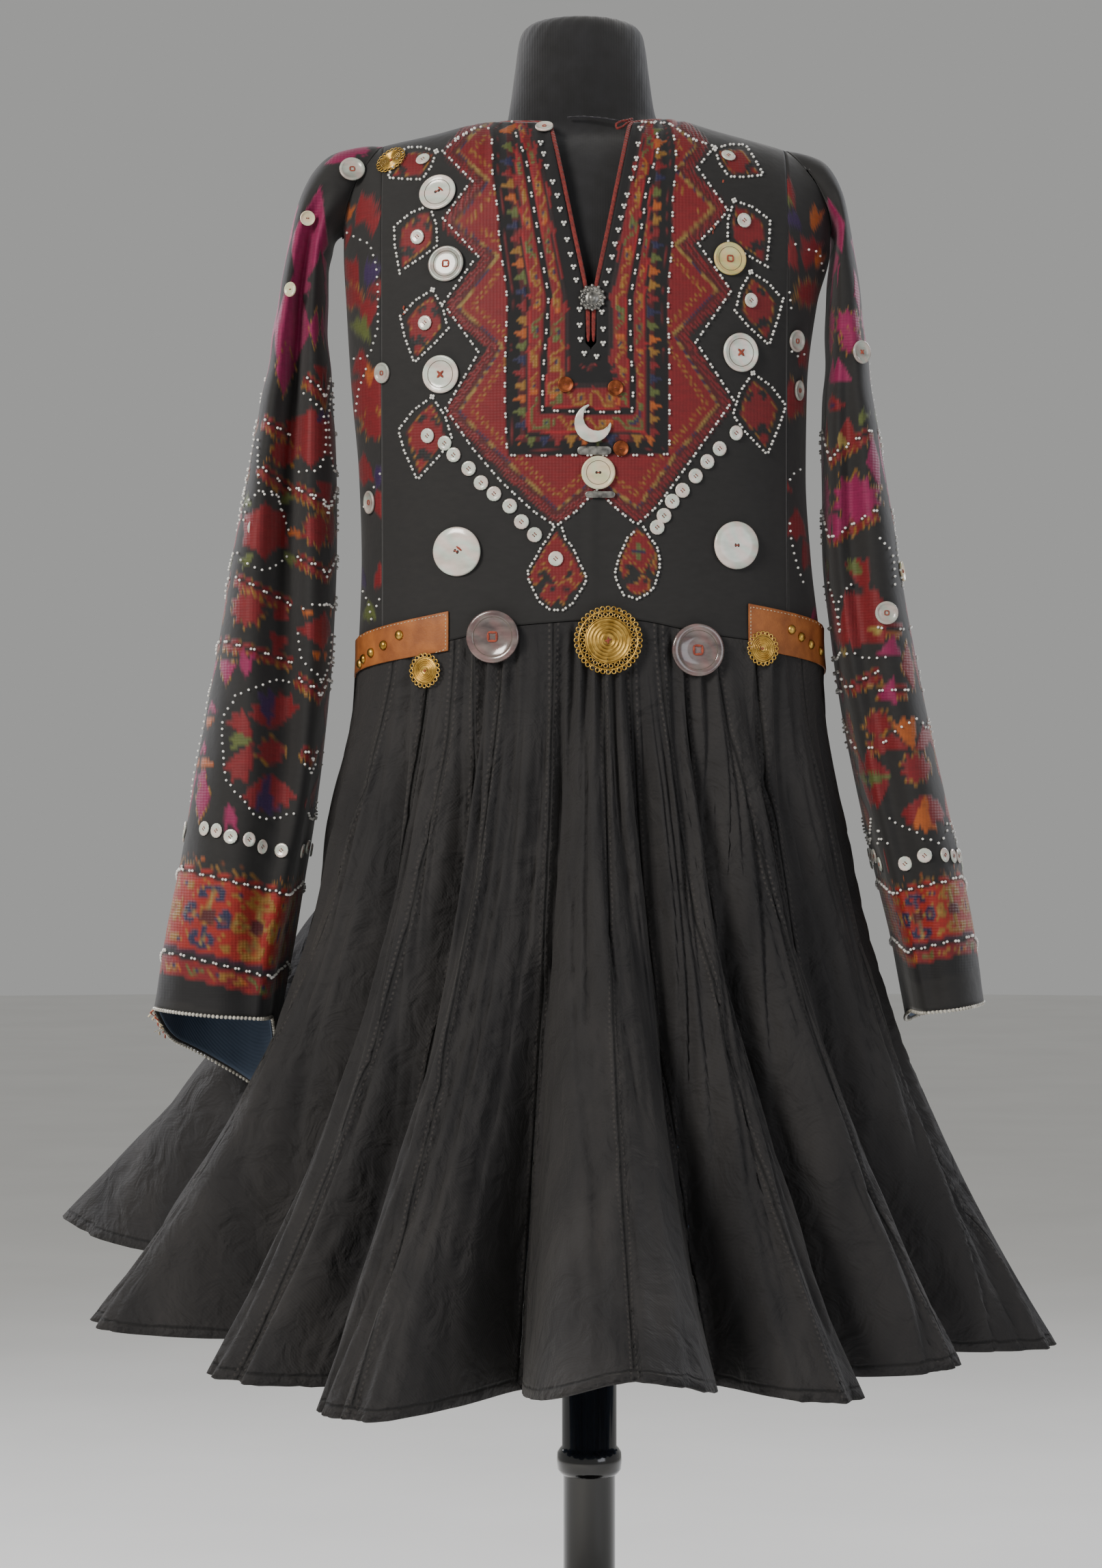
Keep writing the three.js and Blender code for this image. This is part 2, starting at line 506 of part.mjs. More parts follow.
// ---- sleeves ----------------------------------------------------------------------------
const LEFT_COLUMNS = [...steps(0, 1 / 6, 4), 0.207, 0.232, 0.25, 0.268, 0.293,
  ...steps(1 / 3, 1, 16).slice(0, -1)];
const LEFT_ROWS = [0, 2, 3, 4, 5, 6.3, 7.6, 9, 10.4, 11.7, 13];
const RIGHT_ROWS = [0, 2, 3, 4, 5, 6.3, 7.6, 9, 10.4, 11.7, 13];
const RIGHT_COLUMNS = [0, 0.045, 0.09, 0.135, 0.18, 0.25, 0.32, 0.365, 0.41, 0.455,
  0.5, 0.545, 0.59, 0.635, 0.68, 0.75, 0.82, 0.865, 0.91, 0.955];
for (const [name, surface, hand, columns, rows] of [
  ['sleeve_left', sleeveLeft, -1, LEFT_COLUMNS, LEFT_ROWS],
  ['sleeve_right', sleeveRight, 1, RIGHT_COLUMNS, RIGHT_ROWS],
]) {
  addPatch(name, (t, k) => surface(k, t), columns, rows, SLEEVE_WALL, embroidered(),
    { closed: true, flip: hand });
}

// ---- skirt ------------------------------------------------------------------------------
// panels by name: first valley and last valley of each (odd numbers in the list of extremes)
const SKIRT_PANELS = [
  ['skirt_back_side_left', 3, 5], ['skirt_side_left', 5, 7], ['skirt_front_left', 7, 11],
  ['skirt_front_centre', 11, 13], ['skirt_front_right', 13, 17], ['skirt_side_right', 17, 21],
  ['skirt_back_right', 21, 25], ['skirt_back_left', 25, 29],
];
for (const [name, from, to] of SKIRT_PANELS) {
  const count = (to - from) * SKIRT_STEPS;
  const qs = steps(from, to, count);
  const surface = (q, s) => {
    const p = skirtPoint(q, s);
    const inset = q <= from ? 1 : q >= to ? -1 : 0;
    const a = Math.atan2(p.x, -p.y);
    p.x += Math.cos(a) * inset * SEAM / 2;
    p.y += Math.sin(a) * inset * SEAM / 2;
    return p;
  };
  const points = [];
  const normals = [];
  for (const s of SLANT_ROWS) {
    for (const q of qs) {
      points.push(surface(q, s));
      normals.push(facing(skirtPoint, q, s, 0.02, 0.01, -1));
    }
  }
  const quads = [];
  for (let j = 0; j < SLANT_ROWS.length - 1; j++) {
    for (let i = 0; i < count; i++) {
      const o = j * (count + 1) + i;
      quads.push([o, o + count + 1, o + count + 2, o + 1]);
    }
  }
  addWall(name, points, normals, quads, SKIRT_WALL, cloth());
}

// ---- linings that show ------------------------------------------------------------------
{
  // a facing inside the front of the hem, from the deep left valley to the right side
  const qs = steps(11 + 1 / SKIRT_STEPS, 19, 8 * SKIRT_STEPS - 1);
  const depth = SKIRT_WALL + 2 * SEAM;
  const inset = (q, s, normal) => skirtPoint(q, s).addScaledVector(normal, -depth);
  const points = [];
  const normals = [];
  for (const down of [0, 0.93]) {
    for (const q of qs) {
      const high = facing(skirtPoint, q, FACING_TOP, 0.02, 0.01, -1);
      const low = facing(skirtPoint, q, 1, 0.02, 0.01, -1);
      points.push(inset(q, FACING_TOP, high).lerp(inset(q, 1, low), down));
      normals.push(high.lerp(low, down).normalize());
    }
  }
  const quads = [];
  for (let i = 0; i < qs.length - 1; i++) {
    quads.push([i, i + qs.length, i + qs.length + 1, i + 1]);
  }
  addWall('hem_facing', points, normals, quads, 1, lining());
}
for (const [name, surface, hand, columns] of [
  ['cuff_lining_left', sleeveLeft, -1, LEFT_COLUMNS],
  ['cuff_lining_right', sleeveRight, 1, RIGHT_COLUMNS],
]) {
  const inner = (t, k) => {
    const around = (u, v) => surface(v, u);
    const normal = facing(around, t, k, 0.03, 0.03, hand);
    return surface(k, t).addScaledVector(normal, -SLEEVE_WALL - 3 * SEAM);
  };
  addPatch(name, inner, columns, [11.7, 12.94], 1, lining(), { closed: true, flip: hand });
}

// ---- neck binding -----------------------------------------------------------------------
{
  // The path runs up the left edge of the slit, round the neck and down the right edge. Each
  // stop has a place, the way into the opening and the way out of the cloth.
  const stops = [];
  const along = (p, side) => stops.push({ p, out: bodyFacing(p, side) });
  const frontEdge = (hand) => [
    ...FRONT_ROWS.filter((row) => row > slitRow).map((row) => frontPoint(hand, 1, row)),
    ...frontColumns(hand).slice(4, 7).reverse().map((c) => frontPoint(hand, c, 2)),
  ];
  for (const p of frontEdge(-1)) along(p, -1);
  for (const x of BACK_XS.slice(4, 12)) along(panelPoint(x, 2, 1, topOfBack(x)), 1);
  for (const p of frontEdge(1).reverse()) along(p, -1);
  stops.forEach((stop, i) => {
    const before = stop.p.clone().sub(stops[Math.max(i - 1, 0)].p).normalize();
    const after = stops[Math.min(i + 1, stops.length - 1)].p.clone().sub(stop.p).normalize();
    const way = before.clone().add(after).normalize();
    const bend = Math.max(0.6, before.lengthSq() && after.lengthSq() ? way.dot(after) : 1);
    stop.into = way.cross(stop.out).normalize().divideScalar(bend);
  });
  const near = 1.6 * SEAM;
  const corners = [[near, 0.5], [BINDING, 0.5], [BINDING, -2.3], [near, -2.3]];
  const points = [];
  for (const stop of stops) {
    for (const [into, out] of corners) {
      points.push(stop.p.clone().addScaledVector(stop.into, into)
        .addScaledVector(stop.out, out));
    }
  }
  const faces = [[0, 2, 1], [0, 3, 2]];
  const n = stops.length;
  for (let i = 0; i < n - 1; i++) {
    for (let c = 0; c < 4; c++) {
      const a = i * 4 + c;
      const b = i * 4 + (c + 1) % 4;
      faces.push([a, b + 4, a + 4], [a, b, b + 4]);
    }
  }
  const e = (n - 1) * 4;
  faces.push([e, e + 1, e + 2], [e, e + 2, e + 3]);
  addMesh('neck_binding', points, faces, finish(0x8e2b22, 0.85));
}

// ---- leather waist tabs -----------------------------------------------------------------
for (const [name, hand, from, to, high, low] of [
  ['waist_tab_left', -1, 131, 3, [1056, 1026], [1029, 1004]],
  ['waist_tab_right', 1, 140, 3, [1062, 1028], [1040, 1008]]]) {
  // u runs from the front end round the side, v from the lower edge to the upper
  const surface = (u, v) => {
    const a0 = Math.asin(from / 178);
    const a1 = (100 * Math.PI) / 180;
    const a = hand * lerp(a0, a1, u);
    const z = lerp(lerp(high[1], low[1], u), lerp(high[0], low[0], u), v);
    const top = waist(bodyRadius(a, 1035) * Math.sin(a));
    const s = Math.max(top - z, 0) / (top - 500);
    const flare = (300 - 180) * spread(s) + 8 * smooth(s / 0.3);
    const r = Math.max(bodyRadius(a, z), bodyRadius(a, top) + flare) + to * 0.3 + TAB_THICK;
    return vec(r * Math.sin(a), -r * Math.cos(a), z);
  };
  addPatch(name, surface, steps(0, 1, 10), [0, 0.35, 0.7, 1], TAB_THICK, leather(),
    { flip: hand });
}

// ---- buttons, discs and medallions ------------------------------------------------------
// The outer faces of the cloth, as triangles, so that a disc can be laid on them.
const coverings = ['bodice_front', 'side_panel_left', 'side_panel_right', 'skirt_front_left',
  'skirt_front_centre', 'skirt_front_right', 'skirt_side_left', 'skirt_side_right',
  'sleeve_left', 'sleeve_right', 'waist_tab_left', 'waist_tab_right'];
const clothTriangles = [];
part.updateMatrixWorld(true);
for (const name of coverings) {
  const geometry = part.getObjectByName(name).geometry.toNonIndexed();
  const p = geometry.attributes.position;
  for (let i = 0; i < p.count; i += 3) {
    clothTriangles.push([0, 1, 2].map((k) => vec(0, 0, 0).fromBufferAttribute(p, i + k)));
  }
}
// first cloth met by a ray
function castOn(from, way) {
  const ray = new THREE.Ray(from, way);
  const hit = vec(0, 0, 0);
  let best = null;
  for (const [a, b, c] of clothTriangles) {
    if (!ray.intersectTriangle(a, b, c, false, hit)) continue;
    const far = hit.distanceTo(from);
    if (!best || far < best.far) {
      best = { far, p: hit.clone(), n: b.clone().sub(a).cross(c.clone().sub(a)).normalize() };
    }
  }
  if (best && best.n.dot(way) > 0) best.n.negate();
  return best;
}
// A turned disc: radius, thickness, a rim and a dished middle; the axis stands off the cloth.
function addDisc(name, x, z, r, thick, material, { rim = 0.12, dish = 0.35, sides = 18,
  wide: squash = 1, high = 1, turn = 0, from = vec(0, -1, 0), y = -900 } = {}) {
  const way = from.clone().negate();
  const start = from.y < -0.5 ? vec(x, y, z) : vec(from.x * 900, y, z);
  const mid = castOn(start, way);
  if (!mid) throw new Error(`${name} meets no cloth`);
  // lean as the cloth under the whole disc does
  const up = vec(0, 0, 1);
  const e1 = up.clone().cross(from).normalize();
  const e2 = from.clone().cross(e1).normalize();
  const lean = vec(0, 0, 0);
  for (let i = 0; i < 12; i++) {
    const a = (i / 12) * 2 * Math.PI;
    const spot = start.clone().addScaledVector(e1, 0.8 * r * Math.cos(a))
      .addScaledVector(e2, 0.8 * r * Math.sin(a));
    const hit = castOn(spot, way);
    if (hit && hit.p.distanceTo(mid.p) < 2.2 * r) lean.add(hit.n);
  }
  const axis = lean.add(mid.n).normalize();
  const side = up.clone().cross(axis).normalize().applyAxisAngle(axis, turn);
  const top = axis.clone().cross(side).normalize();
  // how far the cloth stands up under the disc
  let rise = 0;
  for (let i = 0; i < 24; i++) {
    const a = (i / 24) * 2 * Math.PI;
    for (const part2 of [0.35, 0.7, 1]) {
      const spot = mid.p.clone().addScaledVector(side, part2 * r * squash * Math.cos(a))
        .addScaledVector(top, part2 * r * high * Math.sin(a)).addScaledVector(axis, 30);
      const hit = castOn(spot, axis.clone().negate());
      if (hit && hit.far < 55) rise = Math.max(rise, 30 - hit.far);
    }
  }
  const base = mid.p.clone().addScaledVector(axis, rise + SEAM + 0.1);
  const profile = [[0, 0], [0.94, 0], [1, 0.4], [1 - rim / 2, 1], [1 - rim * 1.8, 1 - dish],
    [0, 1 - dish]];
  const points = [base.clone()];
  for (let k = 1; k < profile.length - 1; k++) {
    for (let i = 0; i < sides; i++) {
      const a = (i / sides) * 2 * Math.PI;
      points.push(base.clone()
        .addScaledVector(side, profile[k][0] * r * squash * Math.cos(a))
        .addScaledVector(top, profile[k][0] * r * high * Math.sin(a))
        .addScaledVector(axis, profile[k][1] * thick));
    }
  }
  points.push(base.clone().addScaledVector(axis, (1 - dish) * thick));
  const faces = [];
  const rings = profile.length - 2;
  for (let i = 0; i < sides; i++) {
    const j = (i + 1) % sides;
    faces.push([0, 1 + j, 1 + i]);
    for (let k = 0; k < rings - 1; k++) {
      const a = 1 + k * sides;
      faces.push([a + i, a + j, a + sides + j], [a + i, a + sides + j, a + sides + i]);
    }
    const a = 1 + (rings - 1) * sides;
    faces.push([a + i, a + j, points.length - 1]);
  }
  return addMesh(name, points, faces, material);
}
const LEFT = vec(-1, 0, 0);
const RIGHT = vec(1, 0, 0);
const DISCS = [
  // name, x, z, radius, thickness, finish, options
  ['pearl_disc_left', -101, 1101, 19, 2.6, pearl(), {}],
  ['pearl_disc_right', 110, 1106, 18.5, 2.6, pearl(), {}],
  ['breast_button_left_1', -116, 1375, 14.6, 2.4, pearl(), {}],
  ['breast_button_left_2', -109, 1319, 14, 2.4, pearl(), {}],
  ['breast_button_left_3', -113, 1235, 14.6, 2.4, pearl(), {}],
  ['breast_button_right_1', 105, 1323, 13, 2.4, finish(0xd8c98c, 0.35), {}],
  ['breast_button_right_2', 113, 1252, 15, 2.4, pearl(), {}],
  ['smoky_disc_left', -73, 1036, 20.3, 2.8, smoky(), {}],
  ['smoky_disc_right', 80, 1026, 20.3, 2.8, smoky(), {}],
  ['centre_medallion', 13, 1033, 25.7, 1.6, brass(), { sides: 24, rim: 0.06, dish: 0.3 }],
  ['small_medallion_left', -124, 1011, 13.2, 1.4, brass(), { rim: 0.08, dish: 0.3 }],
  ['small_medallion_right', 131, 1028, 13.2, 1.4, brass(), { rim: 0.08, dish: 0.3 }],
  ['shoulder_medallion', -152, 1404, 12.5, 1.2, brass(), { rim: 0.08, dish: 0.3 }],
  ['cream_button', 5.6, 1159.5, 12.8, 2.6, finish(0xe6dcc0, 0.4), {}],
  ['copper_button_1', -19, 1225.5, 6, 2, finish(0x8a4b30, 0.45, 1), { sides: 12 }],
  ['copper_button_2', 18.5, 1223, 6, 2, finish(0x8a4b30, 0.45, 1), { sides: 12 }],
  ['copper_button_3', 22.6, 1177.6, 6, 2, finish(0x8a4b30, 0.45, 1), { sides: 12 }],
  ['shoulder_button_left', -184, 1398, 10, 2, pearl(), { sides: 12 }],
  ['side_button_left_1', -158, 1239, 8, 2, pearl(), { sides: 12 }],
  ['side_button_left_2', -169, 1142, 9, 2, pearl(), { sides: 12 }],
  ['side_button_right_1', 157, 1265, 8.5, 2, pearl(), { sides: 12 }],
  ['side_button_right_2', 160, 1228, 8, 2, pearl(), { sides: 12 }],
  ['sleeve_button_left_1', -218, 1362, 5.8, 1.8, pearl(), { sides: 12 }],
  ['sleeve_button_left_2', -220, 1306, 5.8, 1.8, pearl(), { sides: 12 }],
  ['sleeve_button_left_3', -252, 1122, 9.2, 2, pearl(), { sides: 12 }],
  ['sleeve_button_left_4', -205, 1036, 10.3, 2, finish(0xb9bec8, 0.35), { sides: 12 }],
  ['sleeve_button_left_5', -258, 1046, 5.8, 1.8, pearl(), { sides: 12 }],
  ['sleeve_button_right_1', 208, 1257, 9, 2, pearl(), { sides: 12 }],
  ['sleeve_button_right_2', 227, 1056, 9, 2, pearl(), { sides: 12 }],
  ['sleeve_button_right_3', 242, 1090, 8, 2, pearl(), { sides: 12 }],
];
for (const [name, x, z, r, thick, material, options] of DISCS) {
  addDisc(name, x, z, r, thick, material, options);
}

// ---- centre column ----------------------------------------------------------------------
// A flat plate with an outline given by points in its own plane, laid on the cloth.
function addPlate(name, x, z, outline, thick, material, lift = 0) {
  const hit = castOn(vec(x, -900, z), vec(0, 1, 0));
  const mid = hit || { p: vec(x, -fullDepth(x, z, -1) - SEAM / 2, z) };
  const axis = bodyFacing(mid.p, -1);
  const side = vec(0, 0, 1).cross(axis).normalize();
  const top = axis.clone().cross(side).normalize();
  const place = ([u, v]) => mid.p.clone().addScaledVector(side, u).addScaledVector(top, v);
  let rise = 0;
  for (const point of outline) {
    const under = castOn(place(point).addScaledVector(axis, 30), axis.clone().negate());
    if (under) rise = Math.max(rise, 30 - under.far);
  }
  const low = rise + SEAM + lift;
  const points = [low, low + thick].flatMap((h) => outline.map(
    (point) => place(point).addScaledVector(axis, h)));
  const flat = outline.map(([u, v]) => new THREE.Vector2(u, v));
  const n = outline.length;
  const faces = [];
  for (const [a, b, c] of THREE.ShapeUtils.triangulateShape(flat, [])) {
    faces.push([a, c, b], [a + n, b + n, c + n]);
  }
  for (let i = 0; i < n; i++) {
    const j = (i + 1) % n;
    faces.push([i, j, j + n], [i, j + n, i + n]);
  }
  return addMesh(name, points, faces, material);
}
const arc = (cx, cy, rx, ry, from, to, count) => steps(from * RAD, to * RAD, count)
  .map((a) => [cx + rx * Math.cos(a), cy + ry * Math.sin(a)]);
{
  // shell crescent open to the upper right
  const outer = arc(0, 0, 14, 14.6, 105, 355, 16);
  const inner = arc(3.4, 4.6, 10.6, 10.4, 338, 122, 10);
  addPlate('shell_crescent', 1.5, 1196.6, [...outer, ...inner], 2.2, pearl());
}
const bar = (half, high) => [...arc(half - high, 0, high, high, -90, 90, 6),
  ...arc(high - half, 0, high, high, 90, 270, 6)];
addPlate('metal_bar_upper', 2.6, 1176, bar(13, 3.3), 1.6, finish(0x8b8d90, 0.45, 1));
addPlate('metal_bar_lower', 7, 1143, bar(11.4, 2.6), 1.6, finish(0x8b8d90, 0.45, 1));
{
  // flower button closing the foot of the neck opening: it bridges the binding
  const petals = [];
  for (let i = 0; i < 32; i++) {
    const a = (i / 32) * 2 * Math.PI;
    const r = 9.6 + 0.75 * Math.cos(8 * a);
    petals.push([r * Math.cos(a), r * Math.sin(a)]);
  }
  addPlate('flower_button', 1, 1291, petals, 2.2, finish(0xa9aaa8, 0.4, 1), 0.75);
}
{
  // pearl button at the left corner of the neck
  const corner = panelPoint(-V_TOP_HALF - 2, 2, -1, V_TOP_Z);
  addPlate('neck_button', corner.x, corner.z - 7, arc(0, 0, 7, 7, 0, 345, 23), 2.2, pearl(), 1);
}

// ---- dress form, post and base ----------------------------------------------------------
// A ring of the form at a height: the neck, the shoulders under the cloth, or the trunk.
const FORM = [
  { z: 776, wide: 96, front: 78, back: 80 }, { z: 786, wide: 122, front: 92, back: 96 },
  { z: 812, wide: 142, front: 100, back: 106 }, { z: 880, wide: 152, front: 100, back: 108 },
  { z: 950, wide: 142, front: 94, back: 98 }, { z: 1040, wide: 124, front: 84, back: 84 },
  { z: 1130, wide: 134, front: 92, back: 90 }, { z: 1220, wide: 150, front: 106, back: 96 },
  { z: 1290, wide: 160, front: 106, back: 101 }, { z: 1340, wide: 168, front: 98, back: 101 },
  { z: 1400, wide: 172, front: 92, back: 98 }, { z: 1530, wide: 172, front: 92, back: 98 },
];
const NECK = [
  { z: 1395, r: 88, deep: 47 }, { z: 1418, r: 72, deep: 47 }, { z: 1432, r: 63, deep: 47 },
  { z: 1444, r: 58.5, deep: 47 }, { z: 1458, r: 56, deep: 49 }, { z: 1475, r: 53.5, deep: 51 },
  { z: 1500, r: 50.5, deep: 51 }, { z: 1512, r: 49, deep: 50 }, { z: 1518, r: 45, deep: 46 },
  { z: 1521, r: 38, deep: 39 },
];
const SHOULDER_DROP = BODY_WALL + 1.3;       // from the cloth's outer face to the form
{
  const wideAt = track(FORM, 'z', 'wide');
  const frontAt = track(FORM, 'z', 'front');
  const backAt = track(FORM, 'z', 'back');
  const neckWide = track(NECK, 'z', 'r');
  const neckDeep = track(NECK, 'z', 'deep');
  const inside = (x, y, z) => {
    const depth = (y < 0 ? frontAt(z) : backAt(z));
    const u = Math.pow(Math.abs(x) / wideAt(z), 2.2);
    if (z <= CHEST_Z) return u + Math.pow(Math.abs(y) / depth, 2.2) < 1;
    const top = ridge(x) - SHOULDER_DROP - 6 * smooth((112 - Math.abs(x)) / 40);
    const up = (z - CHEST_Z) / (top - CHEST_Z);
    if (u >= 1 || up >= 1) return false;
    const open = Math.pow(1 - u, 1 / 2.2) * Math.pow(1 - Math.pow(up, CLOSE), 1 / CLOSE);
    return Math.abs(y) < depth * open;
  };
  const reach = (a, z) => {
    let lo = 0;
    let hi = 220;
    for (let i = 0; i < 26; i++) {
      const r = (lo + hi) / 2;
      if (inside(r * Math.sin(a), -r * Math.cos(a), z)) lo = r;
      else hi = r;
    }
    const neck = 1 / Math.hypot(Math.sin(a) / neckWide(z), Math.cos(a) / neckDeep(z));
    return z < NECK[0].z ? lo : Math.max(lo, neck);
  };
  const lean = (z) => -6 * smooth((z - 1428) / 14);     // the neck stands a little to the left
  const levels = [776, 786, 812, 880, 960, 1060, 1170, 1260, 1340, 1370, 1392, 1406, 1417,
    1426, 1434, 1444, 1460, 1485, 1512, 1521];
  const sides = 28;
  const points = [vec(0, 0, levels[0])];
  for (const z of levels) {
    for (let i = 0; i < sides; i++) {
      const a = (i / sides) * 2 * Math.PI;
      const r = reach(a, z);
      points.push(vec(r * Math.sin(a) + lean(z), -r * Math.cos(a), z));
    }
  }
  points.push(vec(lean(1521), 0, levels[levels.length - 1] + 1));
  const faces = [];
  const end = points.length - 1;
  for (let i = 0; i < sides; i++) {
    const j = (i + 1) % sides;
    faces.push([0, 1 + j, 1 + i]);
    for (let k = 0; k < levels.length - 1; k++) {
      const o = 1 + k * sides;
      faces.push([o + i, o + j, o + sides + j], [o + i, o + sides + j, o + sides + i]);
    }
    const o = 1 + (levels.length - 1) * sides;
    faces.push([o + i, o + j, end]);
  }
  addMesh('form_torso', points, faces, finish(0x141414, 0.95));
}
// A turned solid about the vertical axis, from a profile of radius and height.
function addTurned(name, profile, sides, material) {
  const geometry = new THREE.LatheGeometry(profile.map(([r, z]) => new THREE.Vector2(r, z)), sides);
  geometry.rotateX(Math.PI / 2);
  const mesh = new THREE.Mesh(geometry, material);
  mesh.name = name;
  part.add(mesh);
}
addTurned('stand_post', [[0, BASE_H + SEAM], [27, BASE_H + SEAM], [27, BASE_H + 6],
  [POST_R - 1, BASE_H + 14], [POST_R - 1, 385], [25, 390], [25, 401], [POST_R, 406], [POST_R, 776 - SEAM], [0, 776 - SEAM]], 18, finish(0x0a0a0a, 0.12));
addTurned('stand_base', [[0, 0], [BASE_R - 3, 0], [BASE_R, 3], [BASE_R, 12], [BASE_R - 5, 18],
  [BASE_R - 40, BASE_H], [0, BASE_H]], 32, finish(0x0a0a0a, 0.15));

export default part;
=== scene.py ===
"""Embroidered dress on a limbless dress form: cloth, needlework, beads, buttons, stand, stage."""
import math
import random

import bmesh
import bpy
import numpy as np
from mathutils import Matrix, Vector
from mathutils.bvhtree import BVHTree
from mathutils.kdtree import KDTree


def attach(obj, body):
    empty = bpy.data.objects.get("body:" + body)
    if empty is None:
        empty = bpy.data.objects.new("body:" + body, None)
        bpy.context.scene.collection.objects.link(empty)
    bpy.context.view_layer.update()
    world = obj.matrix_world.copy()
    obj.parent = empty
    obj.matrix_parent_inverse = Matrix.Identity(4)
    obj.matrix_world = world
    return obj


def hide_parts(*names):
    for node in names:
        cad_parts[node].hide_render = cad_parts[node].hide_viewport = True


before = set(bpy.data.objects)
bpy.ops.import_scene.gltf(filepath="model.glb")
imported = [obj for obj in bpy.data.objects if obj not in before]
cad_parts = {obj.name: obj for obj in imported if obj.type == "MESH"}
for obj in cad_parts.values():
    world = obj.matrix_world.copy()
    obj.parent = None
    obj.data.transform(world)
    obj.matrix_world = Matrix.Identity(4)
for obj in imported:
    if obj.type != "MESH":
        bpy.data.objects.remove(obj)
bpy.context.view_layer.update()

bl_info = {
    "name": "Embroidered dress",
    "version": (1, 0, 0),
    "blender": (4, 5, 0),
    "location": "View3D > Sidebar > Dress",
    "description": "Builds an embroidered cotton dress on its dress form",
    "category": "Object",
}

MM = 0.001

# ---- the garment's sizes in millimetres, as its pattern has them -------------------------
SEAM = 0.3
ROUND = 2.4
CHEST_Z = 1340
CLOSE = 2.2
SEAM_LEFT, SEAM_RIGHT = -160, 151
SLIT_Z, SLIT_HALF = 1252, 4.2
V_FOOT_Z, V_TOP_Z, V_TOP_HALF = 1293, 1434, 33
NECK_LEFT, NECK_RIGHT, NAPE_Z = -88, 68, 1433
ARMPIT_Z = 1352
CREST = 1.7
FACING_TOP = 0.9
BODY_WALL, SKIRT_WALL, SLEEVE_WALL = 2.0, 2.0, 1.8
CUFF_DROP = {-1: 72, 1: 14}

# height, half width left and right, depth in front and behind
BODY = [(1000, 182, 184, 113, 106), (1040, 180, 180, 112, 105), (1100, 178, 173, 114, 105),
        (1165, 180, 169, 117, 106), (1234, 186, 170, 119, 108), (1300, 190, 178, 114, 110),
        (1340, 192, 188, 106, 108), (1470, 192, 190, 104, 106)]
RIDGE = [(-230, 1392), (-205, 1403), (-190, 1412), (-165, 1422), (-120, 1432), (-88, 1440),
         (-40, 1446), (0, 1448), (40, 1446), (68, 1443), (100, 1434), (130, 1426),
         (151, 1420), (190, 1403), (230, 1384)]
WAIST = [(-200, 1022), (-150, 1025), (-110, 1033), (-50, 1045), (25, 1049), (90, 1038),
         (150, 1032), (200, 1030)]
# each skirt fold: crest at waist, crest at hem, height half way, height at the hem, how late
# it opens, then valley at waist, valley at hem, depth half way, depth at the hem
FOLDS = [(-170, -170, 8, 50, 1.4, -157, -158, 8, 55), (-144, -145, 9, 62, 1.4, -131, -133, 8, 60),
         (-122, -119, 16, 160, 1.1, -104, -99, 6, 66), (-64, -81, 10, 86, 1.9, -54, -66, 9, 48),
         (-46, -50, 8, 46, 1.6, -40, -41, 10, 28), (-32, -29, 13, 62, 1.5, -14, -15, 16, 84),
         (5, 4, 12, 102, 2.3, 15, 22, 13, 60), (25, 34, 11, 34, 1.5, 33, 45, 12, 50),
         (43, 57, 11, 26, 1.5, 55, 68, 10, 40), (69, 81, 6, 56, 1.8, 92, 96, 6, 52),
         (112, 112, 9, 72, 1.6, 126, 125, 8, 58), (139, 138, 9, 58, 1.4, 151, 151, 8, 55),
         (163, 163, 8, 52, 1.4, 177, 176, 8, 55)]
HEM = [(-180, 320, 496), (-145, 320, 500), (-132, 318, 520), (-117, 320, 568), (-98, 305, 528),
       (-81, 300, 516), (-66, 300, 502), (-50, 300, 492), (-29, 300, 479), (-15, 298, 482),
       (4, 300, 519), (22, 296, 488), (40, 290, 483), (57, 292, 495), (81, 300, 493),
       (112, 312, 500), (150, 320, 494), (180, 320, 496)]
# inner and outer point of each sleeve ring, half depth, place and depth of the fold, fit
SLEEVE = {-1: [
    (-190, 1352.6, -160, 1423, 45, 0.5, 0, 0), (-194, 1354, -176, 1425, 47, 0.5, 0, 0.4),
    (-200, 1349, -200, 1418, 49, 0.5, 2, 0.9), (-201, 1341, -218, 1400, 50, 0.5, 8, 1),
    (-204, 1325, -231, 1366, 51, 0.5, 18, 1), (-204, 1298, -242, 1312, 53, 0.52, 26, 1),
    (-202, 1255, -251, 1258, 57, 0.52, 32, 1), (-199, 1195, -262, 1195, 63, 0.52, 36, 1),
    (-197, 1120, -276, 1120, 70, 0.48, 40, 1), (-200, 1040, -289, 1040, 76, 0.4, 40, 1),
    (-208, 955, -304, 955, 82, 0.28, 36, 1), (-223, 865, -320, 865, 84, 0.2, 28, 1),
    (-238, 795, -334, 795, 79, 0.16, 18, 1), (-246, 745, -340, 752, 72, 0.14, 12, 1)],
    1: [
    (188, 1352.6, 151, 1421, 45, 0.35, 0, 0), (190, 1354, 165, 1419, 46, 0.35, 0, 0.4),
    (192.5, 1348, 184, 1411, 46, 0.35, 0, 0.9), (190, 1334, 197, 1388, 53, 0.35, 0, 1),
    (187, 1317, 204, 1354, 62, 0.35, 0, 1), (185, 1292, 212, 1306, 63, 0.35, 0, 1),
    (184, 1252, 218, 1254, 64, 0.35, 6, 1), (182, 1195, 227, 1195, 66, 0.35, 13, 1),
    (182, 1120, 239, 1120, 68, 0.32, 20, 1), (189, 1040, 252, 1040, 74, 0.3, 20, 1),
    (203, 955, 269, 955, 80, 0.28, 18, 1), (223, 865, 289, 865, 84, 0.25, 16, 1),
    (239, 800, 302, 800, 84, 0.22, 12, 1), (249, 750, 307, 757, 82, 0.2, 8, 1)]}
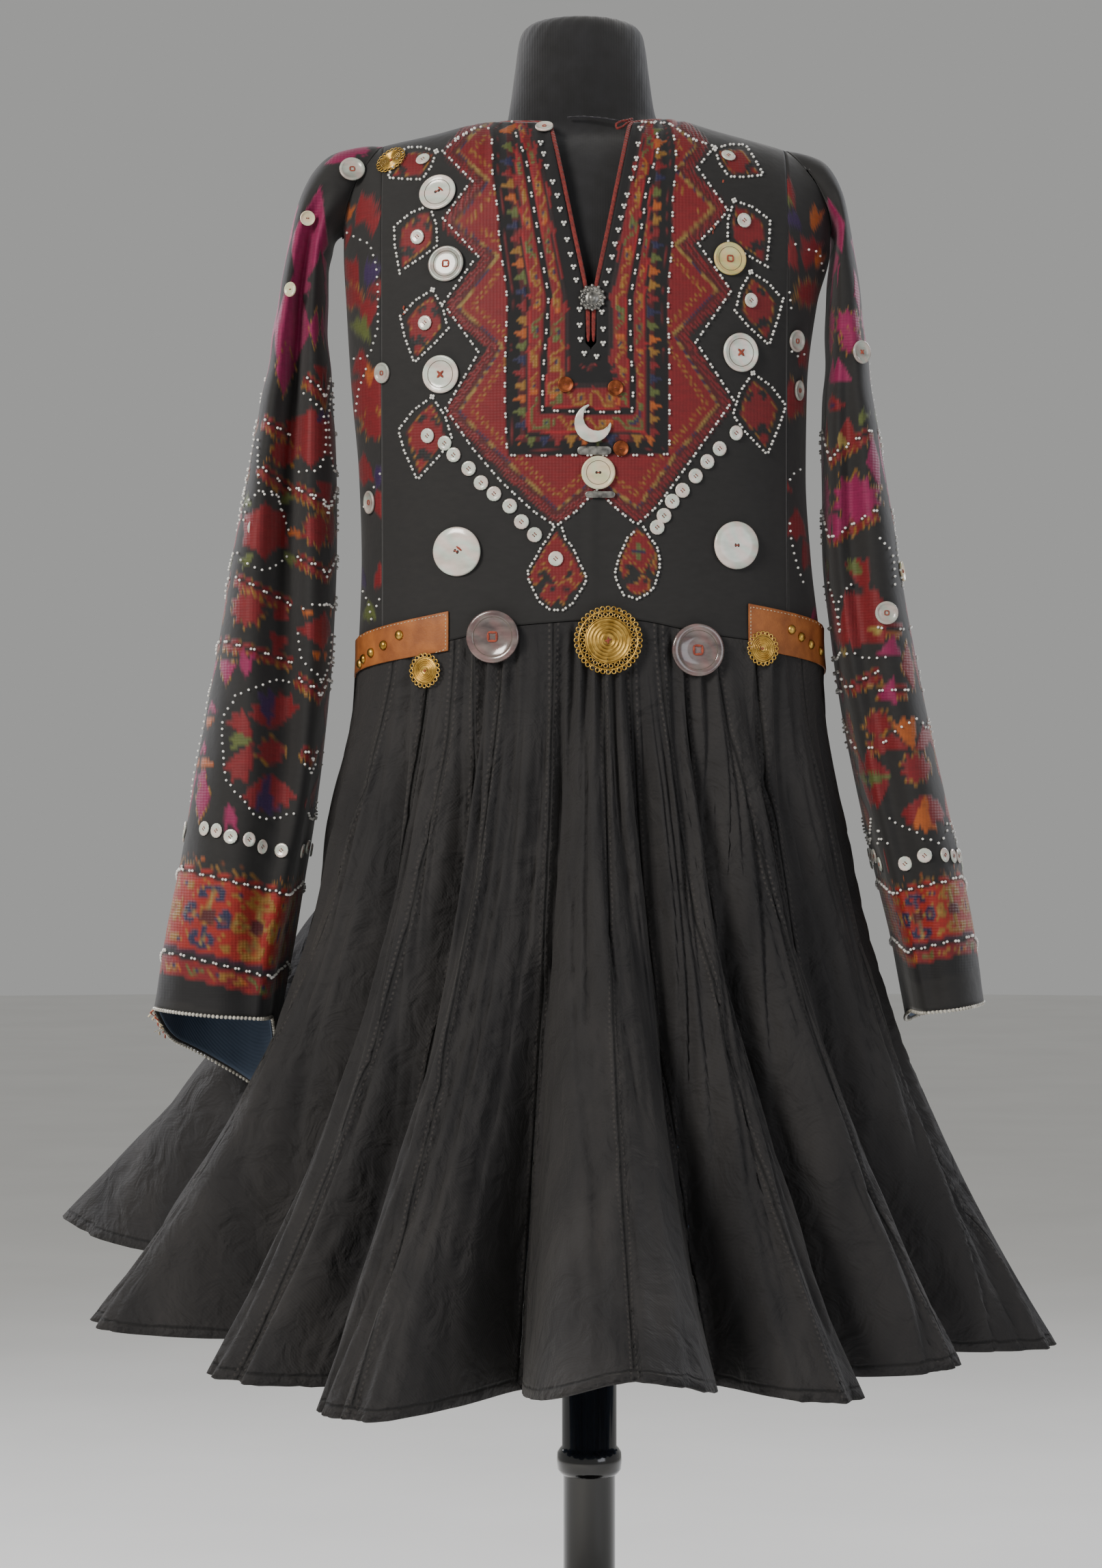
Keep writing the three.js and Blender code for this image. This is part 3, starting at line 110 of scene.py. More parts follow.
SKIRT_PANELS = [
    ("skirt_back_side_left", 3, 5), ("skirt_side_left", 5, 7), ("skirt_front_left", 7, 11),
    ("skirt_front_centre", 11, 13), ("skirt_front_right", 13, 17),
    ("skirt_side_right", 17, 21), ("skirt_back_right", 21, 25), ("skirt_back_left", 25, 29)]


# ---- small sums ---------------------------------------------------------------------------
def lerp(a, b, t):
    return a + (b - a) * t


def smooth(t):
    c = np.clip(t, 0, 1)
    return c * c * (3 - 2 * c)


def track(rows, col, key=0):
    """A smooth curve through two columns of a table that never overshoots its rows."""
    k = np.array([row[key] for row in rows], float)
    v = np.array([row[col] for row in rows], float)
    d = np.diff(v) / np.diff(k)
    m = np.concatenate([d[:1], np.zeros(len(v) - 2), d[-1:]])
    for i in range(1, len(v) - 1):
        if d[i - 1] * d[i] > 0:
            m[i] = 2 * d[i - 1] * d[i] / (d[i - 1] + d[i])

    def curve(x):
        x = np.clip(x, k[0], k[-1])
        i = np.clip(np.searchsorted(k, x, side="right") - 1, 0, len(k) - 2)
        h = k[i + 1] - k[i]
        t = (x - k[i]) / h
        t2, t3 = t * t, t * t * t
        return ((2 * t3 - 3 * t2 + 1) * v[i] + (t3 - 2 * t2 + t) * h * m[i]
                + (3 * t2 - 2 * t3) * v[i + 1] + (t3 - t2) * h * m[i + 1])
    return curve


wide = {-1: track(BODY, 1), 1: track(BODY, 2)}
deep = {-1: track(BODY, 3), 1: track(BODY, 4)}
ridge = track(RIDGE, 1)
waist = track(WAIST, 1)
hem_radius, hem_height = track(HEM, 1), track(HEM, 2)


# ---- the body's surface -------------------------------------------------------------------
def half_width(x, z):
    return np.where(x < 0, wide[-1](z), wide[1](z))


def full_depth(x, z, side):
    u = np.minimum(np.abs(x) / half_width(x, z), 1)
    return deep[side](z) * (1 - u ** ROUND) ** (1 / ROUND)


def panel(x, row, side, top_z):
    """A point of a front or back panel: row 0 to 1 waist to chest, 1 to 2 over the shoulder."""
    low = waist(x) + SEAM
    z1 = lerp(low, CHEST_Z, row)
    rise = ridge(x) - CHEST_Z
    top = np.arcsin(np.clip((top_z - CHEST_Z) / rise, 0, 1) ** (CLOSE / 2))
    a = np.maximum(row - 1, 0) * top
    z2 = CHEST_Z + rise * np.sin(a) ** (2 / CLOSE)
    close = np.cos(a) ** (2 / CLOSE)
    up = row > 1
    z = np.where(up, z2, z1)
    y = full_depth(x, z, side) * np.where(up, close, 1) + SEAM / 2
    return np.stack(np.broadcast_arrays(x, side * y, z), -1)


def top_of_front(x):
    end = np.where(x < 0, NECK_LEFT, NECK_RIGHT)
    corner = np.where(x < 0, -V_TOP_HALF, V_TOP_HALF)
    t = np.clip((x - corner) / (end - corner), 0, 1) ** 1.4
    out = (x <= NECK_LEFT) | (x >= NECK_RIGHT)
    return np.where(out, ridge(x), lerp(V_TOP_Z, ridge(end), t))


def top_of_back(x):
    end = np.where(x < 0, NECK_LEFT, NECK_RIGHT)
    out = (x <= NECK_LEFT) | (x >= NECK_RIGHT)
    return np.where(out, ridge(x), lerp(NAPE_Z, ridge(end), (x / end) ** 2))


SLIT_ROW = float((SLIT_Z - waist(0)) / (CHEST_Z - waist(0)))


def front_point(hand, c, row):
    """The front from the upright seam (c 0) to the middle or the neck's edge (c 1)."""
    seam = SEAM_LEFT + SEAM / 2 if hand < 0 else SEAM_RIGHT - SEAM / 2
    open_now = smooth((row - SLIT_ROW) / 0.02)

    def edge(z):
        up = np.clip((z - V_FOOT_Z) / (V_TOP_Z - V_FOOT_Z), 0, 1)
        return hand * lerp(SLIT_HALF, V_TOP_HALF, up ** 0.95) * open_now
    z = panel(hand * 40.0, row, -1, V_TOP_Z)[..., 2]
    x = lerp(seam, edge(z), c)
    for _ in range(3):
        z = panel(x, row, -1, top_of_front(x))[..., 2]
        x = lerp(seam, edge(z), c)
    return panel(x, row, -1, top_of_front(x))


def side_point(w, z, hand, side):
    """A point on the body's side: w runs 0 at the upright seam to 1 at the very side."""
    seam = -SEAM_LEFT if hand < 0 else SEAM_RIGHT
    half = half_width(np.float64(hand), z)
    a0 = np.arcsin(np.clip((seam + SEAM) / half, 0, 1) ** (ROUND / 2))
    a = lerp(a0, math.pi / 2, w)
    x = half * np.sin(a) ** (2 / ROUND)
    up = np.clip((z - CHEST_Z) / (ridge(hand * x) - CHEST_Z), 0, 1)
    close = (1 - up ** CLOSE) ** (1 / CLOSE)
    depth = (np.where(side < 0, deep[-1](z), deep[1](z))
             * np.abs(np.cos(a)) ** (2 / ROUND) * close)
    return np.stack([hand * x, side * (depth + SEAM / 2 * (1 - w)), z], -1)


def body_radius(a, z):
    s = np.abs(np.sin(a)) / half_width(np.sin(a), z)
    c = np.abs(np.cos(a)) / np.where(np.cos(a) > 0, deep[-1](z), deep[1](z))
    return (s ** ROUND + c ** ROUND) ** (-1 / ROUND)


# ---- the skirt's surface ------------------------------------------------------------------
def skirt_point(q, s, lift=0.0):
    """Place on the skirt: each whole step of q is one crest or valley, s runs down it."""
    early = smooth(s / 0.3)
    grown = np.clip((s - 0.3) / 0.7, 0, 1)
    angles, heights = [], []
    for cw, ch, mid, out, late, vw, vh, vmid, vout in FOLDS:
        angles += [lerp(cw, ch, s), lerp(vw, vh, s)]
        heights += [lerp(mid * early, out, grown ** late),
                    -lerp(vmid * early, vout, grown ** 1.3)]
    angles, heights = np.array(angles), np.array(heights)
    n = len(angles)
    k = np.floor(q).astype(int)
    t = q - k

    def pick(table, i):
        return np.take_along_axis(table, (i % n)[None], 0)[0]
    a1, a2 = pick(angles, k), pick(angles, k + 1)
    deg = lerp(a1, np.where(a2 < a1, a2 + 360, a2), t)
    deg = np.where(deg > 180, deg - 360, deg)
    bend = np.where(k % 2 == 0, t ** CREST, 1 - (1 - t) ** CREST)
    fold = lerp(pick(heights, k), pick(heights, k + 1), (1 - np.cos(math.pi * bend)) / 2)
    a = np.radians(deg)
    top = waist(body_radius(a, 1035.0) * np.sin(a)) - SEAM
    start = body_radius(a, top)
    r = start + (hem_radius(deg) - start) * np.maximum(s, 0) ** 1.7 + fold + lift
    return np.stack([r * np.sin(a), -r * np.cos(a), lerp(top, hem_height(deg), s)], -1)


# ---- the sleeve's surface -----------------------------------------------------------------
def sleeve_point(hand, k, t):
    """k counts rings from the armhole down, t runs round: 0 outer, a quarter front, half in."""
    table = [(i,) + row for i, row in enumerate(SLEEVE[hand])]
    ix, iz, ox, oz, w, fold, depth_of, fit = [track(table, c)(k) for c in range(1, 9)]
    last = len(table) - 1
    c, s = np.cos(2 * math.pi * t), np.sin(2 * math.pi * t)
    even = (np.sign(c) * np.abs(c) ** 0.85 + 1) / 2
    bent = np.where(even < 0.5, even * 2 * fold, 1 - (1 - even) * 2 * (1 - fold))
    share = lerp(even, bent, smooth(s / 0.6))
    behind = smooth((0.35 - s) / 1.1) * smooth((k - last + 4) / 4)
    x = lerp(ix, ox, share)
    z = lerp(iz, oz, share) - CUFF_DROP[hand] * behind * (0.35 + 0.65 * (1 - share))
    near = np.exp(-((share - fold) / 0.17) ** 2)
    y = -w * np.sign(s) * np.abs(s) ** 0.85 + np.where(s > 0, depth_of * near * smooth(s / 0.5), 0)
    hang = np.stack([x, y, z], -1)
    round_arm = (1 - np.abs(1 - 2 * (t - np.floor(t))))
    seam = SEAM_LEFT if hand < 0 else SEAM_RIGHT
    hole = lerp(float(ridge(seam)), ARMPIT_Z, round_arm ** 0.85) + 3 * SEAM
    edge = side_point(round_arm, hole, hand, np.where(s > 0, -1, 1))
    edge[..., 0] += hand * 4 * SEAM * (1 - round_arm)
    return lerp(edge, hang, np.minimum(fit, 1)[..., None])


# ---- needlework: each chart is drawn flat, seen square from the front ----------------------
# One count of the chart is 0.5155 mm on the chest. Counts run right and down.
COUNT = 5626.0
# the place the garment is seen from, and the chart's place straight ahead of it
EYE = Vector((-30.0, -3010.0, 925.0))
CHART_MIDDLE = (806, 1148)
# each face of a sleeve has a chart of its own, this far from the next
FACE_STEP = 1000.0
SLEEVE_FACES = 6
# a bead or button is left off where the nearest marked point of the sleeve is further away
CHART_REACH = 8


def to_chart(p):
    """Chart place of garment points; the back of a sleeve repeats its front."""
    far = -EYE.y - np.abs(p[..., 1])
    return (CHART_MIDDLE[0] + COUNT * (p[..., 0] - EYE.x) / far,
            CHART_MIDDLE[1] - COUNT * (p[..., 2] - EYE.z) / far)


def chart(left, top, size, text):
    """Points given as 'x,y x,y' in a chart drawn at its own size and corner."""
    pairs = [tuple(float(v) for v in pair.split(",")) for pair in text.split()]
    return np.array([(left + x / size, top + y / size) for x, y in pairs])


def hex_colour(code):
    """sRGB hex to linear."""
    out = []
    for i in (1, 3, 5):
        v = int(code[i:i + 2], 16) / 255
        out.append(v / 12.92 if v <= 0.04045 else ((v + 0.055) / 1.055) ** 2.4)
    return tuple(out)


THREAD = {name: np.array(hex_colour(code)) for name, code in {
    "cloth": "#201f1f", "red": "#6c0810", "deep": "#44060b", "bright": "#8a0e16",
    "fire": "#861608", "gold": "#80591a", "green": "#4c5424", "navy": "#17173a",
    "magenta": "#7c0842", "orange": "#984a10", "purple": "#28123f", "black": "#121113",
    "wine": "#380e24", "straw": "#837034"}.items()}


def from_line(u, v, line):
    """Distance to a line of points, the length run along it, and the side (left is plus)."""
    best = np.full(u.shape, 1e9)
    run, side = np.zeros(u.shape), np.zeros(u.shape)
    gone = 0.0
    for (x1, y1), (x2, y2) in zip(line[:-1], line[1:]):
        dx, dy = x2 - x1, y2 - y1
        span = math.hypot(dx, dy) or 1e-9
        t = np.clip(((u - x1) * dx + (v - y1) * dy) / span ** 2, 0, 1)
        far = np.hypot(u - x1 - t * dx, v - y1 - t * dy)
        near = far < best
        best = np.where(near, far, best)
        run = np.where(near, gone + t * span, run)
        side = np.where(near, np.sign(dx * (v - y1) - dy * (u - x1)), side)
        gone += span
    return best, run, side


def inside(u, v, shape):
    """True inside a closed shape."""
    hit = np.zeros(u.shape, bool)
    for (x1, y1), (x2, y2) in zip(shape, np.roll(shape, -1, 0)):
        if y1 == y2:
            continue
        hit ^= ((v < y1) != (v < y2)) & (u < x1 + (v - y1) * (x2 - x1) / (y2 - y1))
    return hit


def depth_in(u, v, shape):
    """Signed distance, plus inside."""
    far = from_line(u, v, np.vstack([shape, shape[:1]]))[0]
    return np.where(inside(u, v, shape), far, -far)


class Cloth:
    """The colour and the raised height of the thread at each point of one cloth."""
    def __init__(self, u, v):
        self.u, self.v = u, v
        self.colour = np.tile(THREAD["cloth"], (len(u), 1))
        self.raised = np.zeros(len(u))

    def near(self, shape, margin=6):
        low, high = shape.min(0) - margin, shape.max(0) + margin
        return np.nonzero((self.u > low[0]) & (self.u < high[0])
                          & (self.v > low[1]) & (self.v < high[1]))[0]

    def lay(self, index, cover, thread, height=0.5):
        cover = np.clip(cover, 0, 1)
        tone = THREAD[thread]
        self.colour[index] += (tone - self.colour[index]) * cover[:, None]
        self.raised[index] = np.maximum(self.raised[index] * (1 - cover), height * cover)

    def fill(self, shape, thread, soft=1.2, feather=0.0, pitch=5.0):
        i = self.near(shape, 4 + feather)
        if len(i) == 0:
            return
        d = depth_in(self.u[i], self.v[i], shape)
        if feather:
            comb = 0.5 + 0.5 * np.sin((self.u[i] * 0.8 + self.v[i]) * 2 * math.pi / pitch)
            d = d + feather * comb
        self.lay(i, 0.5 + d / soft, thread)

    def line(self, points, thread, width=1.6, dash=0.0, soft=1.0):
        i = self.near(points, width + 3)
        if len(i) == 0:
            return
        d, run, _ = from_line(self.u[i], self.v[i], points)
        cover = 0.5 + (width - d) / soft
        if dash:
            cover *= (run % dash < dash * 0.62)
        self.lay(i, cover, thread, 0.7)


def turned(shape, x, y, size=1.0, deg=0.0, squash=1.0):
    """A motif set down at a place, turned and scaled."""
    c, s = math.cos(math.radians(deg)), math.sin(math.radians(deg))
    p = np.array(shape, float) * (size * squash, size)
    return np.stack([x + p[:, 0] * c - p[:, 1] * s, y + p[:, 0] * s + p[:, 1] * c], -1)


# the yoke's lines, from the left shoulder round its foot to the right shoulder
YOKE_EDGE = chart(580, 120, 2.613, "352,175 365,220 368,275 366,317 368,372 378,427 387,488 "
                  "390,546 394,606 401,662 409,712 419,774 424,845 421,920 418,996 416,1075 "
                  "415,1150 415,1218 418,1285 420,1350 424,1428 505,1430 650,1428 780,1428 "
                  "915,1428 1043,1424 1043,1318 1043,1240 1043,1153 1042,1056 1041,982 1037,906 "
                  "1038,845 1040,772 1046,704 1053,633 1055,573 1055,514 1056,452 1061,392 "
                  "1067,340 1068,290 1065,243 1057,200 1047,160")
YOKE_MIDDLE = chart(580, 120, 2.613, "440,150 465,225 487,275 498,317 505,365 512,405 521,458 "
                    "530,510 540,568 546,620 558,684 570,752 582,820 577,893 573,960 567,1032 "
                    "562,1098 559,1163 558,1256 650,1260 740,1262 822,1264 900,1258 904,1195 "
                    "902,1117 896,1043 895,982 893,906 892,843 902,782 915,713 924,655 931,600 "
                    "938,546 946,502 949,450 959,400 971,355 989,308 1000,260 998,215 990,150")
NECK_GROUND = chart(580, 120, 2.613, "500,140 525,200 545,260 568,330 590,420 602,500 614,600 "
                    "634,700 652,800 665,900 666,1000 668,1080 666,1148 750,1152 832,1148 "
                    "812,1080 808,1000 808,900 815,800 832,700 848,600 865,500 885,400 905,310 "
                    "925,240 935,140")
# the diamond chain round the yoke's outward points
POINT_EDGE = chart(580, 120, 2.613, "360,150 295,190 230,268 350,380 222,540 385,665 238,862 "
                   "402,1010 238,1262 420,1450 614,1640 765,1516 922,1634 1052,1450 1234,1235 "
                   "1062,965 1230,797 1070,625 1214,485 1074,338 1145,240 1075,175")
BEAD_EDGE = chart(580, 120, 2.613, "295,185 240,218 178,268 288,378 180,524 310,665 180,848 "
                  "315,1035 190,1250 290,1400 400,1528 520,1640 609,1700 690,1640 765,1560 "
                  "850,1640 918,1695 1000,1620 1130,1440 1286,1215 1144,995 1278,800 1152,618 "
                  "1267,494 1150,330 1215,250 1140,225")
# ram's-horn motif: a diamond with a hooked pair above and below
HORN_BODY = [(0, -46), (13, -28), (22, -4), (14, 16), (0, 46), (-14, 18), (-22, -4), (-13, -28)]
HORN_HOOK = [(0, -34), (9, -34), (9, -20), (4, -20), (4, -27), (0, -27)]
HORN_VOID = [(-3, 14), (3, 14), (3, 22), (12, 22), (12, 28), (-3, 28)]
# outline, turn, and the size of each motif, in counts
HORNS = [((603, 242), 0.72, 62), ((607, 350), 0.95, 24), ((620, 478), 0.98, 14),
         ((622, 642), 1.1, 10), ((1081, 238), 0.72, -62), ((1097, 342), 0.95, -26),
         ((1111, 452), 0.98, -14), ((1111, 606), 1.08, -10)]


def hook_band(cloth, index, run, across, pitch, flip=1):
    """A running scroll of gold hooks with coloured squares; across goes 0 to 1."""
    t = run / pitch
    k = np.floor(t)
    x = (t - k) * pitch
    y = np.where(flip > 0, across, 1 - across) * 22
    hook = np.array([(0, 4), (7, 4), (15, 14), (17, 19), (30, 19), (30, 8), (22, 8), (22, 14),
                     (26, 14)], float) * (pitch / 40.0, 1.0)
    d = from_line(x, y, hook)[0]
    gold = k % 3
    block = (x > 32 * pitch / 40) & (x < 39 * pitch / 40) & (y > 5) & (y < 18)
    for n, thread in enumerate(("gold", "green", "gold")):
        here = gold == n
        cloth.lay(index[here], (1.6 - d[here]) / 1.2 + 0.5, thread, 0.8)
        cloth.lay(index[here], block[here] * (np.sin(x[here] * 3.1) > -0.55), "orange"
                  if n == 0 else thread, 0.8)
    dark = (x > 23.2 * pitch / 40) & (x < 28.5 * pitch / 40) & (y > 9.2) & (y < 13)
    cloth.lay(index, dark * 1.0, "navy", 0.6)


def stitch_yoke(cloth):
    """The breast: pointed border, then red bands of hooks nested round the neck."""
    closed = np.vstack([POINT_EDGE, [(1000, 150), (720, 150)]])
    i = cloth.near(BEAD_EDGE, 20)
    u, v = cloth.u[i], cloth.v[i]
    d = depth_in(u, v, closed)
    strokes = 0.5 + 0.5 * np.sin((u + 0.6 * v) * 2 * math.pi / 5.2)
    cloth.lay(i, 0.5 + (d + 14 + 5 * strokes) / 3, "deep", 0.5)
    stripes = (d > -17) & (d < -5) & (strokes > 0.45)
    cloth.lay(i, stripes * 0.9, "red", 0.9)
    cloth.lay(i, 0.5 + (d - 1) / 1.5, "red", 0.5)
    d_line, run, _ = from_line(u, v, POINT_EDGE)
    wave = np.abs((run % 9.2) - 4.6) * 0.95
    for turn in (wave, 4.4 - wave):
        off = np.abs(np.where(d > 0, d_line, -d_line) - 1 - turn + 2.2)
        cloth.lay(i, 0.9 - off / 1.5, "straw", 0.8)
    centre = (np.abs(wave - 2.2) > 1.2) & (np.abs(d - 1) < 1.1)
    cloth.lay(i, centre * 0.9, "navy", 0.6)
    steps = 16 + 2.2 * np.sign(np.sin(run * 2 * math.pi / 10.5))
    inner = np.abs(d - steps)
    cloth.lay(i, (d > 6) * (1.0 - inner / 2.0) * 1.4, "gold", 0.8)
    # the yoke itself
    yoke = np.vstack([YOKE_EDGE, [(940, 140), (760, 140)]])
    i = cloth.near(YOKE_EDGE, 8)
    u, v = cloth.u[i], cloth.v[i]
    d = depth_in(u, v, yoke)
    cloth.lay(i, 0.5 + d / 1.2, "black", 0.0)
    i, u, v, d = i[d > 0], u[d > 0], v[d > 0], d[d > 0]
    m, run, _ = from_line(u, v, YOKE_MIDDLE)
    middle = np.vstack([YOKE_MIDDLE, [(940, 140), (760, 140)]])
    within = inside(u, v, middle)
    m = np.where(within, -m, m)
    _, run_edge, _ = from_line(u, v, YOKE_EDGE)
    # small pointed teeth against the outline, each of its own colour
    tooth = (run_edge % 19.5) / 19.5
    reach = np.abs(tooth - 0.5) * 2
    up = (d - 11) / 17.5
    teeth = (up > 0) & (up < 1.02) & (reach < up * 0.8)
    order = np.floor(run_edge / 19.5) % 5
    for n, thread in enumerate(("orange", "green", "navy", "red", "gold")):
        cloth.lay(i, (teeth & (order == n)) * 0.95, thread, 0.6)
    base = (up > 0.55) & (up < 1.02) & (reach > up - 0.25) & ~teeth
    cloth.lay(i, base * 0.8, "deep", 0.4)
    cloth.lay(i, 0.8 - np.abs(d - 8) / 1.1, "red", 0.6)
    outer = (m > 4) & (d > 30)
    cloth.lay(i, outer * np.clip(0.5 + (m - 5) / 1.2, 0, 1), "red", 0.5)
    width = m + d - 36
    cloth.lay(i, (outer & (np.abs(d - 32) < 1.2)) * 0.9, "black", 0.3)
    cloth.lay(i, (outer & (np.abs(d - 34.5) < 1.1)) * 0.9, "bright", 0.6)
    here = np.nonzero(outer & (d > 36) & (m > 6))[0]
    hook_band(cloth, i[here], run[here], (m[here] - 6) / np.maximum(width[here] - 6, 1), 41)
    # the inner band, down to the ground round the neck
    ground = np.vstack([NECK_GROUND, [(935, 130), (760, 130)]])
    g = depth_in(u, v, ground)
    inner = (m < -4.5) & (g < -1)
    cloth.lay(i, inner * 1.0, "red", 0.5)
    cloth.lay(i, (inner & (g > -7.5) & (g < -5.5)) * 0.95, "black", 0.3)
    cloth.lay(i, (inner & (g > -3.5) & (g < -1.5)) * 0.95, "black", 0.3)
    cloth.lay(i, (inner & (m > -6.5)) * 0.8, "bright", 0.6)
    here = np.nonzero(inner & (g < -8) & (m < -7))[0]
    span = np.maximum(-m[here] - g[here] - 14, 1)
    hook_band(cloth, i[here], run[here] + 14, (-m[here] - 6) / span, 43, -1)
    # red thread ends on the bare ground under the slit
    for x, y in ((854, 538), (862, 541), (868, 536)):
        cloth.line(np.array([(x - 3, y - 3), (x, y), (x + 3, y - 2)]), "red", 1.2)


def stitch_horn(cloth, x, y, size, deg):
    """One red ram's-horn motif with dotted gold hooks."""
    cloth.fill(turned(HORN_BODY, x, y, size, deg, 1.15), "red")
    for flip in (1, -1):
        for sign in (1, -1):
            body = [(flip * a * 1.3 + flip * 3, sign * b * 0.9) for a, b in HORN_HOOK]
            cloth.fill(turned(body, x, y, size, deg), "black", 1.0)
        void = [(flip * a + flip * 3, b) for a, b in HORN_VOID]
        cloth.fill(turned(void, x, y, size, deg), "black", 1.0)
    edge = turned(HORN_BODY + HORN_BODY[:1], x, y, size * 0.93, deg, 1.15)
    cloth.line(edge, "gold", 0.9, dash=4.0)


def pendants():
    """The two hanging lozenges under the yoke, each with its pair of horns."""
    left = [chart(600, 700, 2.412, text) for text in (
        "515,192 545,235 580,285 527,395 452,285 482,235",
        "452,285 425,335 418,350 440,382 470,352 452,330 478,322",
        "580,285 600,330 614,350 588,388 560,352 578,335 552,322",
        "525,372 565,350 592,388 562,405 540,455 524,425 497,455 458,415 480,372")]
    right = [chart(600, 700, 2.412, text) for text in (
        "800,180 835,205 866,262 822,342 752,268 775,210",
        "752,268 738,310 752,352 775,330 760,312 780,302",
        "866,262 872,300 860,340 845,318 858,300",
        "820,340 850,360 845,395 798,415 766,390 772,362 800,372")]
    return left, right


def stitch_pendants(cloth):
    for group in pendants():
        for shape in group:
            cloth.fill(shape, "red")
        for shape in group:
            middle = shape.mean(0)
            closed = np.vstack([shape, shape[:1]])
            cloth.line(middle + (closed - middle) * 0.9, "gold", 0.9, dash=3.6)
        x, y = group[1][:, 0].mean(), group[1][:, 1].mean()
        cloth.fill(turned([(-5, -3), (5, -3), (5, 4), (0, 7), (-5, 4)], x + 4, y, 0.8), "black")
        low = group[3].mean(0)
        for dx in (-10, 10):
            cloth.fill(turned([(-4, -4), (4, -4), (4, 3), (-4, 3)], low[0] + dx, low[1] - 4),
                       "black")
    cross = turned([(-2, -13), (2, -13), (2, -3), (11, -3), (11, 2), (2, 2), (2, 13), (-2, 13),
                    (-2, 2), (-11, 2), (-11, -3), (-2, -3)], 934, 808, 0.95)
    cloth.fill(cross, "navy", 1.0)
    cloth.line(np.vstack([cross, cross[:1]]), "green", 0.7)


# ---- sleeve needlework ----------------------------------------------------------------------
PETAL = [(0, 0), (-11, -22), (-16, -46), (-6, -41), (0, -50), (7, -40), (16, -45), (11, -22)]
LEAF = [(0, -6), (5, -16), (9, -34), (2, -26), (-4, -38), (-7, -24), (-4, -12)]
STAR = [(0, -24), (5, -15), (11, -21), (13, -11), (24, -9), (16, -3), (24, 3), (14, 8), (16, 19),
        (7, 14), (0, 24), (-5, 15), (-13, 20), (-12, 9), (-24, 8), (-15, 0), (-22, -8),
        (-13, -10), (-14, -20), (-5, -15)]
HEXAGON = [(0, -42), (14, -30), (34, -24), (30, 0), (36, 22), (14, 28), (0, 44), (-14, 28),
           (-34, 22), (-30, 0), (-36, -22), (-14, -30)]
DIAMOND = [(0, -40), (14, 0), (0, 40), (-14, 0)]
TRIANGLE = [(-20, -18), (20, -18), (4, 26)]
MOTIF = {"petal": PETAL, "leaf": LEAF, "star": STAR, "hexagon": HEXAGON, "diamond": DIAMOND,
         "triangle": TRIANGLE}
